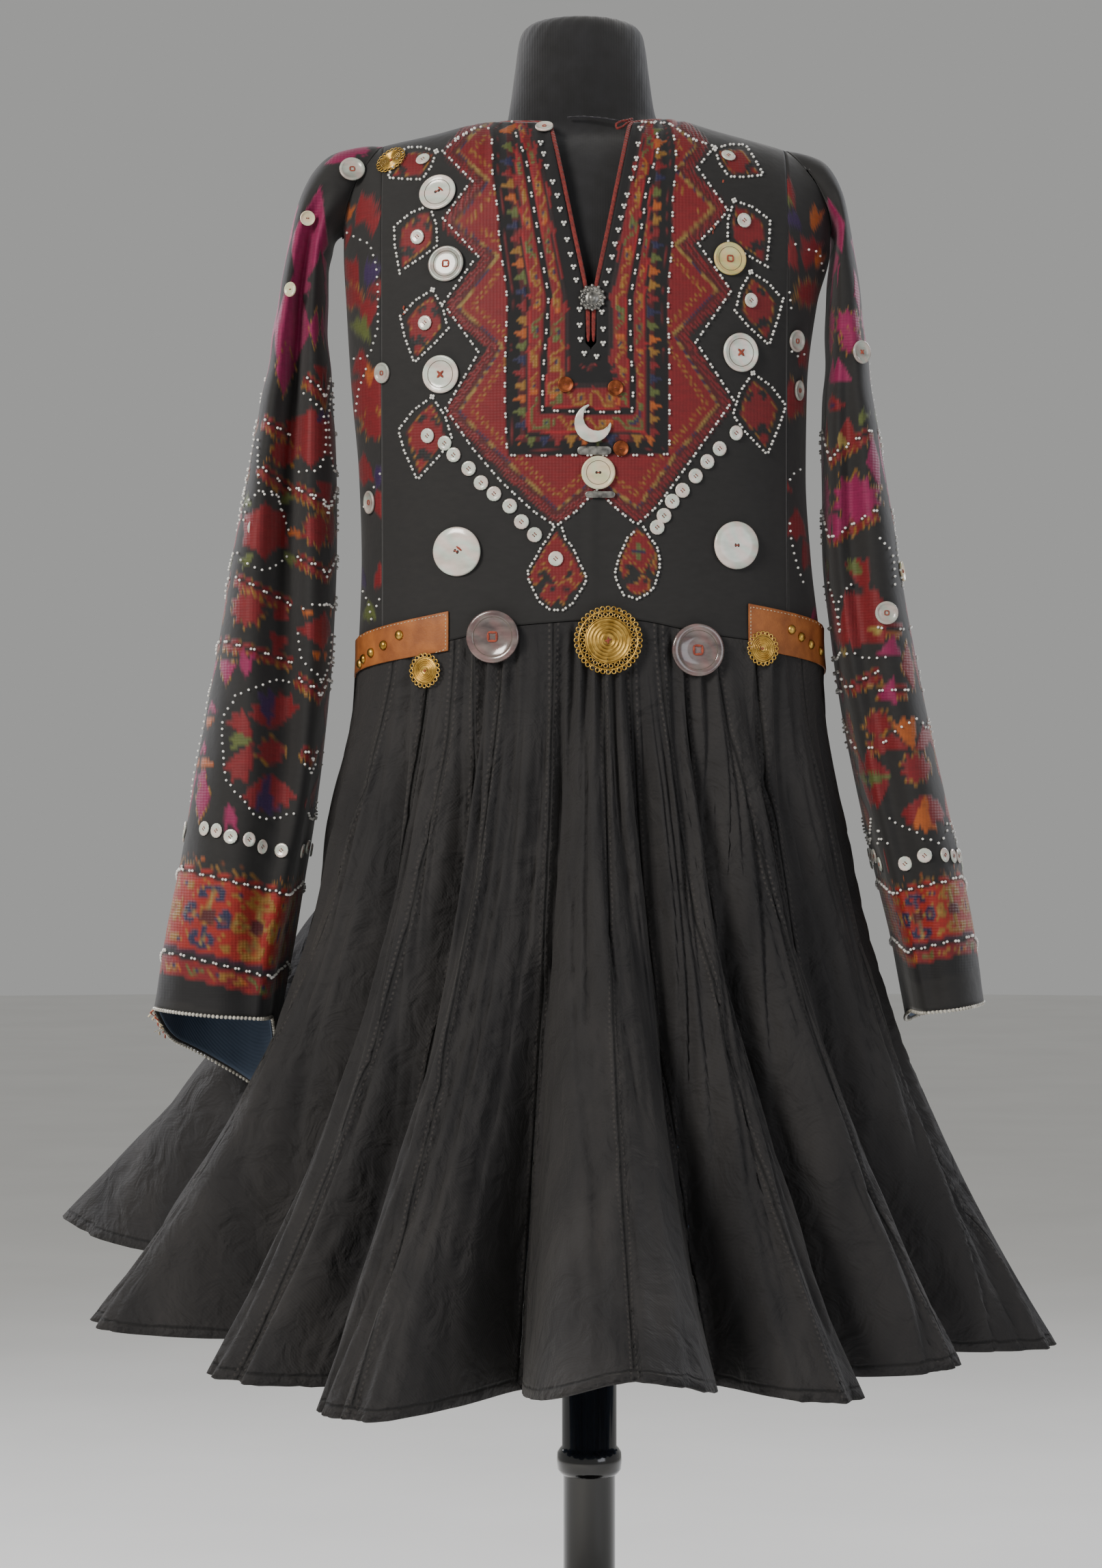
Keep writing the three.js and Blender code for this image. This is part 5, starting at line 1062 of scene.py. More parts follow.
def finish(key):
    """Each finish is made once, when a piece first asks for it."""
    makers = {
        "cloth": lambda: twill_cotton("charcoal cotton twill", "#19181a", "#2a292a", 0.1),
        "gores": lambda: gored_cotton("charcoal cotton in stitched gores"),
        "needlework": lambda: needlework("silk needlework on cotton"),
        "lining": lambda: twill_cotton("blue-grey cotton lining", "#3a475a", "#56667c", 0.1),
        "binding": lambda: twisted_cotton("red cotton binding", "#5c120e", "#84221a"),
        "cord": lambda: twisted_cotton("dark cotton cord", "#15141a", "#26242c"),
        "thread": lambda: twisted_cotton("red-brown sewing thread", "#7c2c1c", "#a84a30"),
        "cream": lambda: twisted_cotton("undyed cotton ends", "#b8a584", "#ddd0b4"),
        "leather": lambda: tanned_leather("tanned leather"),
        "pearl": lambda: shell("white pearl shell", "#cfcbc2", "#f0ede6", 0.2, 0.6),
        "smoky": lambda: shell("smoky pearl shell", "#4e4042", "#8a7674", 0.16, 0.8),
        "grey_shell": lambda: shell("grey pearl shell", "#9a9690", "#c9c5be", 0.25, 0.5),
        "casein": lambda: shell("cream casein", "#d9cca0", "#efe6cc", 0.35, 0.3),
        "yellow": lambda: shell("yellow casein", "#c4ae66", "#e2d296", 0.35, 0.3),
        "brass": lambda: worn_metal("gilt brass", "#9a7430", "#e0ba66", 0.26),
        "copper": lambda: worn_metal("copper brass", "#542a1c", "#a8603c", 0.4),
        "steel": lambda: worn_metal("grey steel", "#4c4c4c", "#b4b2ac", 0.3),
        "white_bead": lambda: glass_bead("white glass beads", "#d2d0ca", "#f4f3ee", 0.25),
        "silver_bead": lambda: glass_bead("silvered glass beads", "#8e8a80", "#d8d4c8", 0.2),
        "hole": lambda: twisted_cotton("shade in a sewing hole", "#120c0a", "#241812"),
        "groove": lambda: twisted_cotton("shade in a turned groove", "#4a4038", "#6a5e52"),
        "form": lambda: jersey("black cotton jersey"),
        "wood": lambda: lacquered_wood("ebonised beech"),
        "paper": lambda: floor_paper("studio paper"),
    }
    if key not in FINISH:
        FINISH[key] = makers[key]()
    return FINISH[key]


# ---- making pieces --------------------------------------------------------------------------
SURFACES, CHARTS = {}, {}


def place_piece(bm, name, finish_key, nodes=(), smooth_shade=True):
    """Turns a bmesh in millimetres into a piece on the root body."""
    bmesh.ops.scale(bm, vec=(MM, MM, MM), verts=bm.verts)
    mesh = bpy.data.meshes.new(name)
    bm.to_mesh(mesh)
    bm.free()
    mesh.polygons.foreach_set("use_smooth", [smooth_shade] * len(mesh.polygons))
    piece = bpy.data.objects.new(name, mesh)
    bpy.context.scene.collection.objects.link(piece)
    mesh.materials.append(finish(finish_key))
    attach(piece, "root")
    if nodes:
        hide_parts(*nodes)
    return piece


def points_of(bm):
    return np.array([vert.co[:] for vert in bm.verts])


def grid_of(points, sewn=None):
    """A sheet made from a grid operator and laid on rows of points, with its seam marks."""
    rows, cols = points.shape[:2]
    bm = bmesh.new()
    bmesh.ops.create_grid(bm, x_segments=cols - 1, y_segments=rows - 1, size=1.0)
    layer = None if sewn is None else bm.verts.layers.float_color.new("sewn")
    for vert in bm.verts:
        col = round((vert.co.x + 1) / 2 * (cols - 1))
        row = round((vert.co.y + 1) / 2 * (rows - 1))
        vert.co = points[row, col]
        if layer is not None:
            vert[layer] = (*sewn[row, col], 1.0)
    return bm


def face_out(bm, centre):
    """Turns the sheet over if it faces its own middle line."""
    total = 0.0
    for face in bm.faces:
        mid = face.calc_center_median()
        total += face.normal.dot(Vector((mid.x - centre(mid.z)[0], mid.y - centre(mid.z)[1], 0)))
    if total < 0:
        bmesh.ops.reverse_faces(bm, faces=bm.faces)


def lay_cloth(name, grids, wall, centre, weave="cloth",
              inner=None, sewn=None):
    """A cloth piece: its grids are joined, faced outwards, worked and given their wall."""
    bm = bmesh.new()
    for points in grids:
        part = grid_of(points, sewn)
        part.normal_update()
        face_out(part, centre)
        sheet = bpy.data.meshes.new("sheet")
        part.to_mesh(sheet)
        part.free()
        bm.from_mesh(sheet)
        bpy.data.meshes.remove(sheet)
    bmesh.ops.remove_doubles(bm, verts=bm.verts, dist=0.02)
    bm.normal_update()
    where = points_of(bm)
    SURFACES[name] = BVHTree.FromBMesh(bm)
    if weave == "needlework":
        flat = np.stack([*to_chart(where), 0 * where[:, 0]], -1)
        if sewn is not None:
            layer = bm.verts.layers.float_color["sewn"]
            flat = np.array([vert[layer][:3] for vert in bm.verts])
            bm.verts.layers.float_color.remove(layer)
            CHARTS[name] = KDTree(len(flat)), where
            for n, place in enumerate(flat):
                CHARTS[name][0].insert(place, n)
            CHARTS[name][0].balance()
    piece = place_piece(bm, name + "_cloth", weave, [name])
    if weave == "needlework":
        cloth = Cloth(flat[:, 0], flat[:, 1])
        stitch_piece(name, cloth)
        layer = piece.data.color_attributes.new("stitch", "FLOAT_COLOR", "POINT")
        values = np.concatenate([cloth.colour, cloth.raised[:, None]], 1)
        layer.data.foreach_set("color", values.astype(np.float32).ravel())
    wall_mod = piece.modifiers.new("wall", "SOLIDIFY")
    wall_mod.thickness = wall * MM
    wall_mod.offset = -1
    if inner:
        piece.data.materials.append(finish(inner))
        wall_mod.material_offset = 1
    return piece


def span(a, b, count):
    return np.linspace(a, b, count + 1)


def soft_noise(a, b):
    """A slow wandering value between -1 and 1 for two coordinates."""
    return (np.sin(a + 1.7 * np.sin(0.7 * b + 0.4)) + np.sin(0.6 * a - 1.3 * b + 2.1)
            + np.sin(1.9 * a + 0.8 * b + 4.0)) / 3


# where the skirt is pleated under its discs: degrees from the front, spread in degrees
PLEATS = [(-57, 5), (-35, 8), (-4, 7), (6, 7), (37, 8), (58, 5), (-95, 7), (95, 7), (170, 9),
          (-140, 8), (140, 8), (-165, 8)]
# long folds: how many round the skirt, how deep in millimetres, how often they change going down
LONG_FOLDS = [(11, 5.0, 1.6), (21, 4.6, 2.4), (37, 3.2, 3.8), (61, 1.6, 7.0)]
GORE_STEPS = 26
# the hem facing shows between these columns of the skirt
FACING_START, FACING_END = 293, 19 * GORE_STEPS
SKIRT_ROWS = 88
# millimetres between two panels: they are sewn, so next to no light comes through
SEWN_SHUT = 0.03


def skirt_crease(q, s):
    """Pleats at the waist, long folds with tight valleys below, and the wavy hem, in mm."""
    flat = skirt_point(q, s)
    turn = np.arctan2(flat[..., 0], -flat[..., 1])
    deg = np.degrees(turn)
    lift = np.zeros(deg.shape)
    for middle, reach in PLEATS:
        off = deg - middle
        close = np.exp(-(off / (reach * (1 + 1.2 * s))) ** 2)
        lift += 4.6 * close * np.cos(off / (1 + 1.1 * s) * 2 * math.pi / 4.7) * np.exp(-s / 0.34)
    wander = turn + 0.035 * np.sin(s * 5 + turn * 7)
    for count, depth, change in LONG_FOLDS:
        n = soft_noise(wander * count + count, s * change + 0.3 * count)
        lift += depth * (n - 1.3 * (1 - np.abs(n)) ** 7 + 0.2) * smooth((s - 0.02) / 0.25)
    lift += 0.9 * soft_noise(turn * 34 + s * 9, s * 27 + turn * 5) * smooth((s - 0.05) / 0.2)
    lift += 2.2 * np.sin(turn * 57 + 2 * np.sin(turn * 9)) * smooth((s - 0.86) / 0.14)
    return np.clip(lift, -9, 6.5) * smooth(s / 0.025)


def seam_marks(points):
    """For every point of a gored panel: how far to its seam, how far above the hem, and the
    length run down it, in millimetres. A seam stands on every crest and in every valley."""
    across = np.linalg.norm(np.diff(points, axis=1), axis=2)
    run = np.concatenate([np.zeros((len(points), 1)), np.cumsum(across, 1)], 1)
    seams = run[:, ::GORE_STEPS]
    seam = np.abs(run[:, :, None] - seams[:, None, :]).min(2)
    down = np.linalg.norm(np.diff(points, axis=0), axis=2)
    down = np.concatenate([np.zeros((1, points.shape[1])), np.cumsum(down, 0)], 0)
    return np.stack([seam, down[-1:] - down, down], -1)


def skirt_cloth(q, s):
    return skirt_point(q, s, skirt_crease(q, s))


def body_axis(_z):
    return (0.0, 0.0)


def sleeve_axis(hand):
    rows = np.array(SLEEVE[hand])
    z = (rows[::-1, 1] + rows[::-1, 3]) / 2
    x = (rows[::-1, 0] + rows[::-1, 2]) / 2
    return lambda at: (float(np.interp(at, z, x)), 0.0)


def inward(points, amount):
    """Moves a laid grid into the garment along its own normals by the given amounts."""
    du = np.gradient(points, axis=1)
    dv = np.gradient(points, axis=0)
    normal = np.cross(du, dv)
    normal /= np.maximum(np.linalg.norm(normal, axis=2, keepdims=True), 1e-9)
    if (normal * points * (1, 1, 0)).sum() < 0:
        normal = -normal
    return points - normal * amount[..., None]


# ---- sizes a maker would change --------------------------------------------------------------
class DressClothSettings(bpy.types.PropertyGroup):
    """Wall thicknesses of the cotton."""
    body_wall: bpy.props.FloatProperty(
        name="Bodice wall", description="Cotton, lining and stitching of the bodice",
        default=BODY_WALL * MM, min=0.0005, max=0.004, unit="LENGTH")
    skirt_wall: bpy.props.FloatProperty(
        name="Skirt wall", description="Cotton of the skirt gores",
        default=SKIRT_WALL * MM, min=0.0005, max=0.004, unit="LENGTH")
    sleeve_wall: bpy.props.FloatProperty(
        name="Sleeve wall", description="Cotton and needlework of the sleeves",
        default=SLEEVE_WALL * MM, min=0.0005, max=0.004, unit="LENGTH")


class DressTrimSettings(bpy.types.PropertyGroup):
    """Sizes of the beads and small buttons."""
    bead: bpy.props.FloatProperty(
        name="Bead", description="Diameter of a white seed bead",
        default=0.0024, min=0.001, max=0.005, unit="LENGTH")
    hem_bead: bpy.props.FloatProperty(
        name="Hem bead", description="Diameter of a silvered bead on the cuff's edge",
        default=0.0032, min=0.001, max=0.006, unit="LENGTH")
    small_button: bpy.props.FloatProperty(
        name="Small button", description="Diameter of the pearl buttons sewn in rows",
        default=0.0115, min=0.006, max=0.02, unit="LENGTH")


class DRESS_OT_skirt(bpy.types.Operator):
    """Hangs the eight panels of the skirt, cut in 26 gores, and the facing inside its hem"""
    bl_idname = "dress.skirt"
    bl_label = "Skirt"

    def execute(self, context):
        wall = context.scene.dress_cloth.skirt_wall / MM
        for name, start, end in SKIRT_PANELS:
            count = (end - start) * GORE_STEPS
            q, s = np.meshgrid(span(start, end, count), span(0, 1, SKIRT_ROWS))
            points = skirt_cloth(q, s)
            inset = np.where(q <= start, 1, np.where(q >= end, -1, 0)) * SEWN_SHUT / 2
            a = np.arctan2(points[..., 0], -points[..., 1])
            points[..., 0] += np.cos(a) * inset
            points[..., 1] += np.sin(a) * inset
            lay_cloth(name, [points], wall, body_axis, "gores",
                      inner="lining", sewn=seam_marks(points))
        q, s = np.meshgrid(np.arange(FACING_START, FACING_END + 1) / GORE_STEPS,
                           np.arange(round(FACING_TOP * SKIRT_ROWS), SKIRT_ROWS) / SKIRT_ROWS)
        points = skirt_cloth(q, s)
        points = inward(points, np.full(q.shape, wall + 1.5))
        lay_cloth("hem_facing", [points], 1.0, body_axis,
                  "lining")
        return {"FINISHED"}


class DRESS_OT_bodice(bpy.types.Operator):
    """Cuts the front, the back and the two side panels of the bodice"""
    bl_idname = "dress.bodice"
    bl_label = "Bodice"

    def execute(self, context):
        wall = context.scene.dress_cloth.body_wall / MM
        rows = np.concatenate([span(0, 1, 158)[:-1], span(1, 2, 48)])
        grids = []
        for hand in (-1, 1):
            c, row = np.meshgrid(span(0, 1, 86), rows)
            points = front_point(hand, c, row)
            x, z = points[..., 0], points[..., 2]
            top = smooth((z - 1365) / 50) * smooth((92 - np.abs(x + 8)) / 30)
            pull = 0.9 * top * (1 + np.cos(x * 2 * math.pi / 11.5))
            low = smooth((1230 - z) / 80) * smooth((z - 1052) / 40)
            pull = pull + 0.7 * low * (1 + soft_noise(x / 13, z / 60))
            edge = smooth(c / 0.06) * smooth((1 - c) / 0.05) * smooth((2 - row) / 0.1)
            grids.append(inward(points, pull * edge))
        lay_cloth("bodice_front", grids, wall, body_axis, "needlework")
        x, row = np.meshgrid(span(SEAM_LEFT + SEAM / 2, SEAM_RIGHT - SEAM / 2, 90),
                             np.concatenate([span(0, 1, 70)[:-1], span(1, 2, 34)]))
        points = panel(x, row, 1, top_of_back(x))
        fade = smooth((x - SEAM_LEFT) / 12) * smooth((SEAM_RIGHT - x) / 12)
        fade *= smooth(row / 0.1) * smooth((2 - row) / 0.3)
        pull = 0.8 * fade * (1 + soft_noise(x / 16, points[..., 2] / 70))
        lay_cloth("bodice_back", [inward(points, pull)], wall, body_axis)
        for name, hand in (("side_panel_left", -1), ("side_panel_right", 1)):
            g, row = np.meshgrid(np.concatenate([span(-1, 0, 30)[:-1], span(0, 1, 16)]),
                                 span(0, 2, 160))
            w = np.clip(1 - np.abs(g), 0, 1)
            seam = SEAM_LEFT if hand < 0 else SEAM_RIGHT
            at_seam = panel(np.float64(seam), row, -1, float(ridge(seam)))[..., 2]
            low = float(waist(hand * 180.0)) + SEAM
            z = lerp(at_seam, lerp(low, ARMPIT_Z, row / 2), w ** 0.85)
            points = side_point(w, z, hand, np.where(g < 0, -1, 1))
            lay_cloth(name, [points], wall, body_axis, "needlework")
        return {"FINISHED"}


class DRESS_OT_sleeves(bpy.types.Operator):
    """Hangs the two sleeves and the linings that show in their cuffs"""
    bl_idname = "dress.sleeves"
    bl_label = "Sleeves"

    def execute(self, context):
        wall = context.scene.dress_cloth.sleeve_wall / MM
        for side, hand in (("left", -1), ("right", 1)):
            front, back = span(0, 0.5, 92), span(0.5, 1, 34)[1:]
            t, k = np.meshgrid(np.concatenate([front, back]), self.rings(0, 13, 236))
            points = sleeve_point(hand, k, t)
            s = np.sin(2 * math.pi * t)
            z = points[..., 2]
            wrinkle = 1.1 * (1 + soft_noise(points[..., 0] / 9, z / 26))
            wrinkle += 1.6 * smooth((1330 - z) / 60) * smooth((z - 1180) / 80) \
                * (1 + np.sin(z / 9 + points[..., 0] / 14))
            fade = smooth((k - 1) / 1.5) * smooth((13 - k) / 0.3)
            centre = np.stack([np.interp(z, *self.middle(hand)), 0 * z], -1)
            lean = points[..., :2] - centre
            lean /= np.maximum(np.linalg.norm(lean, axis=-1, keepdims=True), 1e-6)
            points[..., :2] -= lean * (wrinkle * fade * (0.4 + 0.6 * np.abs(s)))[..., None]
            lay_cloth("sleeve_" + side, [points], wall, sleeve_axis(hand),
                      "needlework",
                      sewn=self.unrolled(points, t[0]))
            t, k = np.meshgrid(span(0, 1, 96), span(11.7, 12.97, 22))
            points = sleeve_point(hand, k, t)
            du, dv = np.gradient(points, axis=1), np.gradient(points, axis=0)
            normal = np.cross(du, dv)
            normal /= np.maximum(np.linalg.norm(normal, axis=2, keepdims=True), 1e-9)
            out = points - np.array([sleeve_axis(hand)(800)[0], 0, 0])
            if (normal * out * (1, 1, 0)).sum() < 0:
                normal = -normal
            lay_cloth("cuff_lining_" + side, [points - normal * (wall + 0.9)], 1.0,
                      sleeve_axis(hand), "lining")
        return {"FINISHED"}

    @staticmethod
    def unrolled(points, t):
        """Chart places of a sleeve. Where it turns away at an edge the chart folds back at
        its full width, and each such face has a number: front 0, back 1, then the sides."""
        marks = np.zeros(points.shape)
        for cols, face in ((np.nonzero(t <= 0.5)[0], 0), (np.nonzero(t >= 0.5)[0], 1)):
            part = points[:, cols].copy()
            faces = np.full(part.shape[:2], float(face))
            for r, line in enumerate(part):
                step = np.linalg.norm(np.diff(line, axis=0), axis=1)
                run = np.concatenate([[0], np.cumsum(step)])
                x = line[:, 0].copy()
                broad = np.nonzero(np.abs(np.diff(x)) >= 0.45 * step)[0]
                if not len(broad):
                    continue
                for border, edge, where, extra in (
                        (broad[0], x[0], slice(0, broad[0]), 2),
                        (broad[-1] + 1, x[-1], slice(broad[-1] + 2, None), 4)):
                    out = x[border] + np.sign(edge - x[border]) * np.abs(run - run[border])
                    past = np.abs(out - x[border]) > abs(edge - x[border])
                    line[where, 0] = np.where(past, 2 * edge - out, out)[where]
                    faces[r, where] = np.where(past, face + extra, face)[where]
            u, v = to_chart(part)
            marks[:, cols] = np.stack([u, v, faces * FACE_STEP], -1)
        return marks

    @staticmethod
    def rings(low, high, count):
        """Rings spaced evenly down the sleeve rather than by table row."""
        k = np.linspace(low, high, 400)
        z = np.concatenate([[0], np.cumsum(np.linalg.norm(np.diff(
            sleeve_point(-1, k, np.full(400, 0.1)), axis=0), axis=1) + 0.3)])
        return np.interp(np.linspace(0, z[-1], count + 1), z, k)

    @staticmethod
    def middle(hand):
        rows = np.array(SLEEVE[hand])[::-1]
        return (rows[:, 1] + rows[:, 3]) / 2, (rows[:, 0] + rows[:, 2]) / 2


# ---- laying things on the cloth --------------------------------------------------------------
BODY_PARTS = ["bodice_front", "side_panel_left", "side_panel_right"]


def meet(u, v, names, face=0):
    """Where a place of the chart falls on the named cloths, and the way the cloth faces."""
    if names[0] in CHARTS:
        tree, where = CHARTS[names[0]]
        near = tree.find_n((u, v, FACE_STEP * face), 4)
        if near[0][2] > CHART_REACH:
            return None
        share = np.array([1 / (far + 0.05) ** 2 for _, _, far in near])
        spot = (where[[n for _, n, _ in near]] * (share / share.sum())[:, None]).sum(0)
        return SURFACES[names[0]].find_nearest(Vector(spot))[:3]
    way = Vector(((u - CHART_MIDDLE[0]) / COUNT, 1.0,
                  -(v - CHART_MIDDLE[1]) / COUNT)).normalized()
    best = None
    for name in names:
        spot, normal, _, far = SURFACES[name].ray_cast(EYE, way)
        if spot is not None and (best is None or far < best[2]):
            if normal.dot(way) > 0:
                normal = -normal
            best = (spot, normal, far)
    return best if best and best[1].dot(way) < -0.22 else None


def walk(line, pitch, start=0.0, closed=False):
    """Even steps along a chart line: place and direction of each."""
    line = np.asarray(line, float)
    if closed:
        line = np.vstack([line, line[:1]])
    spans = np.linalg.norm(np.diff(line, axis=0), axis=1)
    total = spans.sum()
    gone = np.concatenate([[0], np.cumsum(spans)])
    count = max(int((total - start) / pitch), 1)
    out = []
    for n in range(count + (0 if closed else 1)):
        at = min(start + n * (total - start) / count, total - 1e-6)
        i = int(np.searchsorted(gone, at, side="right") - 1)
        t = (at - gone[i]) / spans[i]
        out.append((line[i] + (line[i + 1] - line[i]) * t, (line[i + 1] - line[i]) / spans[i]))
    return out


class Pins:
    """Places collected for one small shape that is sewn on many times."""
    def __init__(self):
        self.frames = []

    def put(self, spot, normal, lift, size=1.0, along=None):
        z = normal.normalized()
        x = along if along is not None else Vector((0, 0, 1)).cross(z)
        x = (x - z * x.dot(z))
        x = x.normalized() if x.length > 1e-6 else z.orthogonal().normalized()
        y = z.cross(x)
        self.frames.append((spot + z * lift, x * size, y * size, z * size))

    def sew(self, shape, name, finish_key, slot, nodes=()):
        """Copies the shape to every place and makes one piece of them."""
        shape.verts.ensure_lookup_table()
        base = points_of(shape)
        faces = [[v.index for v in face.verts] for face in shape.faces]
        shape.free()
        points, polygons = [], []
        for n, (spot, x, y, z) in enumerate(self.frames):
            turn = np.array([x[:], y[:], z[:]])
            points.append(base @ turn + np.array(spot[:]))
            polygons += [[i + n * len(base) for i in face] for face in faces]
        mesh = bpy.data.meshes.new(name + "_laid")
        mesh.from_pydata(np.concatenate(points), [], polygons)
        bm = bmesh.new()
        bm.from_mesh(mesh)
        bpy.data.meshes.remove(mesh)
        return place_piece(bm, name, finish_key, nodes)


def bead_shape(radius):
    bm = bmesh.new()
    bmesh.ops.create_uvsphere(bm, u_segments=6, v_segments=4, radius=radius)
    return bm


def turned_shape(profile, segments):
    """A turned body from a profile of radius and height, closed on its axis."""
    bm = bmesh.new()
    verts = [bm.verts.new((r, 0, h)) for r, h in profile]
    edges = [bm.edges.new(pair) for pair in zip(verts[:-1], verts[1:])]
    bmesh.ops.spin(bm, geom=verts + edges, cent=(0, 0, 0), axis=(0, 0, 1),
                   angle=2 * math.pi, steps=segments, use_merge=True)
    bmesh.ops.remove_doubles(bm, verts=bm.verts, dist=1e-4)
    bmesh.ops.recalc_face_normals(bm, faces=bm.faces)
    return bm


def torus_shape(radius, wire, steps):
    """A small ring of wire."""
    bm = bmesh.new()
    bmesh.ops.create_circle(bm, segments=6, radius=wire)
    bmesh.ops.rotate(bm, cent=(0, 0, 0), matrix=Matrix.Rotation(math.pi / 2, 3, "X"),
                     verts=bm.verts)
    bmesh.ops.translate(bm, vec=(radius, 0, 0), verts=bm.verts)
    bmesh.ops.spin(bm, geom=bm.verts[:] + bm.edges[:], cent=(0, 0, 0), axis=(0, 0, 1),
                   angle=2 * math.pi, steps=steps, use_merge=True)
    bmesh.ops.remove_doubles(bm, verts=bm.verts, dist=1e-4)
    bmesh.ops.recalc_face_normals(bm, faces=bm.faces)
    return bm


def node_frame(name):
    """Centre, axis, radii and thickness of a flat CAD piece, in millimetres."""
    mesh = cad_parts[name].data
    p = np.array([v.co[:] for v in mesh.vertices]) / MM
    p = np.unique(np.round(p, 3), axis=0)
    centre = (p.min(0) + p.max(0)) / 2
    _, _, way = np.linalg.svd(p - p.mean(0))
    axis = way[2]
    if axis @ (centre * (1, 1, 0)) < 0:
        axis = -axis
    high = (p - centre) @ axis
    across = p - centre - np.outer(high, axis)
    side = np.cross((0, 0, 1), axis)
    side /= np.linalg.norm(side)
    up = np.cross(axis, side)
    wide_r = np.abs(across @ side).max()
    tall_r = np.abs(across @ up).max()
    return (Vector(centre + axis * high.min()), Vector(axis), Vector(side), Vector(up),
            wide_r, tall_r, float(np.ptp(high)))


def seat(base, axis, radius, names):
    """How far a flat piece must rise to clear the cloth under it."""
    rise = -9.0
    side = axis.orthogonal().normalized()
    for ring, count in ((0.0, 1), (0.55, 6), (0.95, 10)):
        for n in range(count):
            spot = base + (Matrix.Rotation(n * 2 * math.pi / count, 3, axis) @ side) * radius * ring
            for name in names:
                hit = SURFACES[name].ray_cast(spot + axis * 14, -axis, 28)
                if hit[0] is not None:
                    rise = max(rise, 14 - hit[3])
    return min(max(rise + 0.3, -2.5), 9.0) if rise > -9 else 0.0


PEARL_BUTTON = [(0, 0), (0.94, 0), (1, 0.35), (1, 0.62), (0.95, 1.0), (0.87, 0.97), (0.84, 0.84),
                (0.78, 0.84), (0.72, 0.66), (0.5, 0.6), (0, 0.58)]
PEARL_DISC = [(0, 0), (0.97, 0), (1, 0.3), (0.99, 0.7), (0.94, 1), (0.6, 0.97), (0.3, 0.9),
              (0, 0.88)]
SMOKY_BUTTON = [(0, 0), (0.95, 0), (1, 0.4), (0.985, 0.85), (0.93, 1), (0.80, 0.95),
                (0.76, 0.8), (0.74, 0.68), (0.4, 0.62), (0, 0.6)]
# CAD node: profile, finish, record slot, holes as offsets in millimetres, thread pattern
BUTTONS = {
    "pearl_disc_left": (PEARL_DISC, "pearl", "pearl_shell", [(-1.6, 1), (1.4, -0.6)], "tail"),
    "pearl_disc_right": (PEARL_DISC, "pearl", "pearl_shell", [(-1.7, 0), (1.7, 0)], "bar"),
    "breast_button_left_1": (PEARL_BUTTON, "pearl", "pearl_shell", [(-1.4, 0), (1.2, 1)], "tail"),
    "breast_button_left_2": (PEARL_BUTTON, "grey_shell", "grey_shell", 4, "square"),
    "breast_button_left_3": (PEARL_BUTTON, "pearl", "pearl_shell", 4, "cross"),
    "breast_button_right_1": (PEARL_BUTTON, "yellow", "yellow_casein", 4, "square"),
    "breast_button_right_2": (PEARL_BUTTON, "pearl", "pearl_shell", 4, "cross"),
    "smoky_disc_left": (SMOKY_BUTTON, "smoky", "smoky_shell", 4, "square"),
    "smoky_disc_right": (SMOKY_BUTTON, "smoky", "smoky_shell", 4, "square"),
    "cream_button": (PEARL_BUTTON, "casein", "cream_casein", [(-1.3, 0), (1.3, 0)], "bar"),
    "copper_button_1": (PEARL_BUTTON, "copper", "copper_brass", [(0, 0)], "bar"),
    "copper_button_2": (PEARL_BUTTON, "copper", "copper_brass", [(0, 0)], "bar"),
    "copper_button_3": (PEARL_BUTTON, "copper", "copper_brass", [(0, 0)], "bar"),
    "neck_button": (PEARL_BUTTON, "pearl", "pearl_shell", 4, "square"),
    "sleeve_button_left_4": (SMOKY_BUTTON, "grey_shell", "grey_shell", 4, "two"),
    "sleeve_button_left_3": (SMOKY_BUTTON, "grey_shell", "grey_shell", 4, "two"),
    "sleeve_button_right_1": (SMOKY_BUTTON, "grey_shell", "grey_shell", 4, "cross"),
    "sleeve_button_right_2": (SMOKY_BUTTON, "grey_shell", "grey_shell", 4, "square"),
    "sleeve_button_right_3": (PEARL_BUTTON, "casein", "cream_casein", 4, "two"),
}
for plain in ("shoulder_button_left", "side_button_left_1", "side_button_left_2",
              "side_button_right_1", "side_button_right_2"):
    BUTTONS[plain] = (SMOKY_BUTTON, "grey_shell", "grey_shell", 4, "square")
for plain in ("sleeve_button_left_1", "sleeve_button_left_2", "sleeve_button_left_5"):
    BUTTONS[plain] = (PEARL_BUTTON, "casein", "cream_casein", [(-0.8, 0), (0.8, 0)], "bar")
UNDER = BODY_PARTS + ["sleeve_left", "sleeve_right", "skirt_front_left", "skirt_front_centre",
                      "skirt_front_right", "skirt_side_left", "skirt_side_right"]
MEDALLIONS = ["centre_medallion", "small_medallion_left", "small_medallion_right",
              "shoulder_medallion"]
HOLE_SHADE_PINS, THREAD_PINS, GROOVE_SHADE_PINS = Pins(), Pins(), Pins()


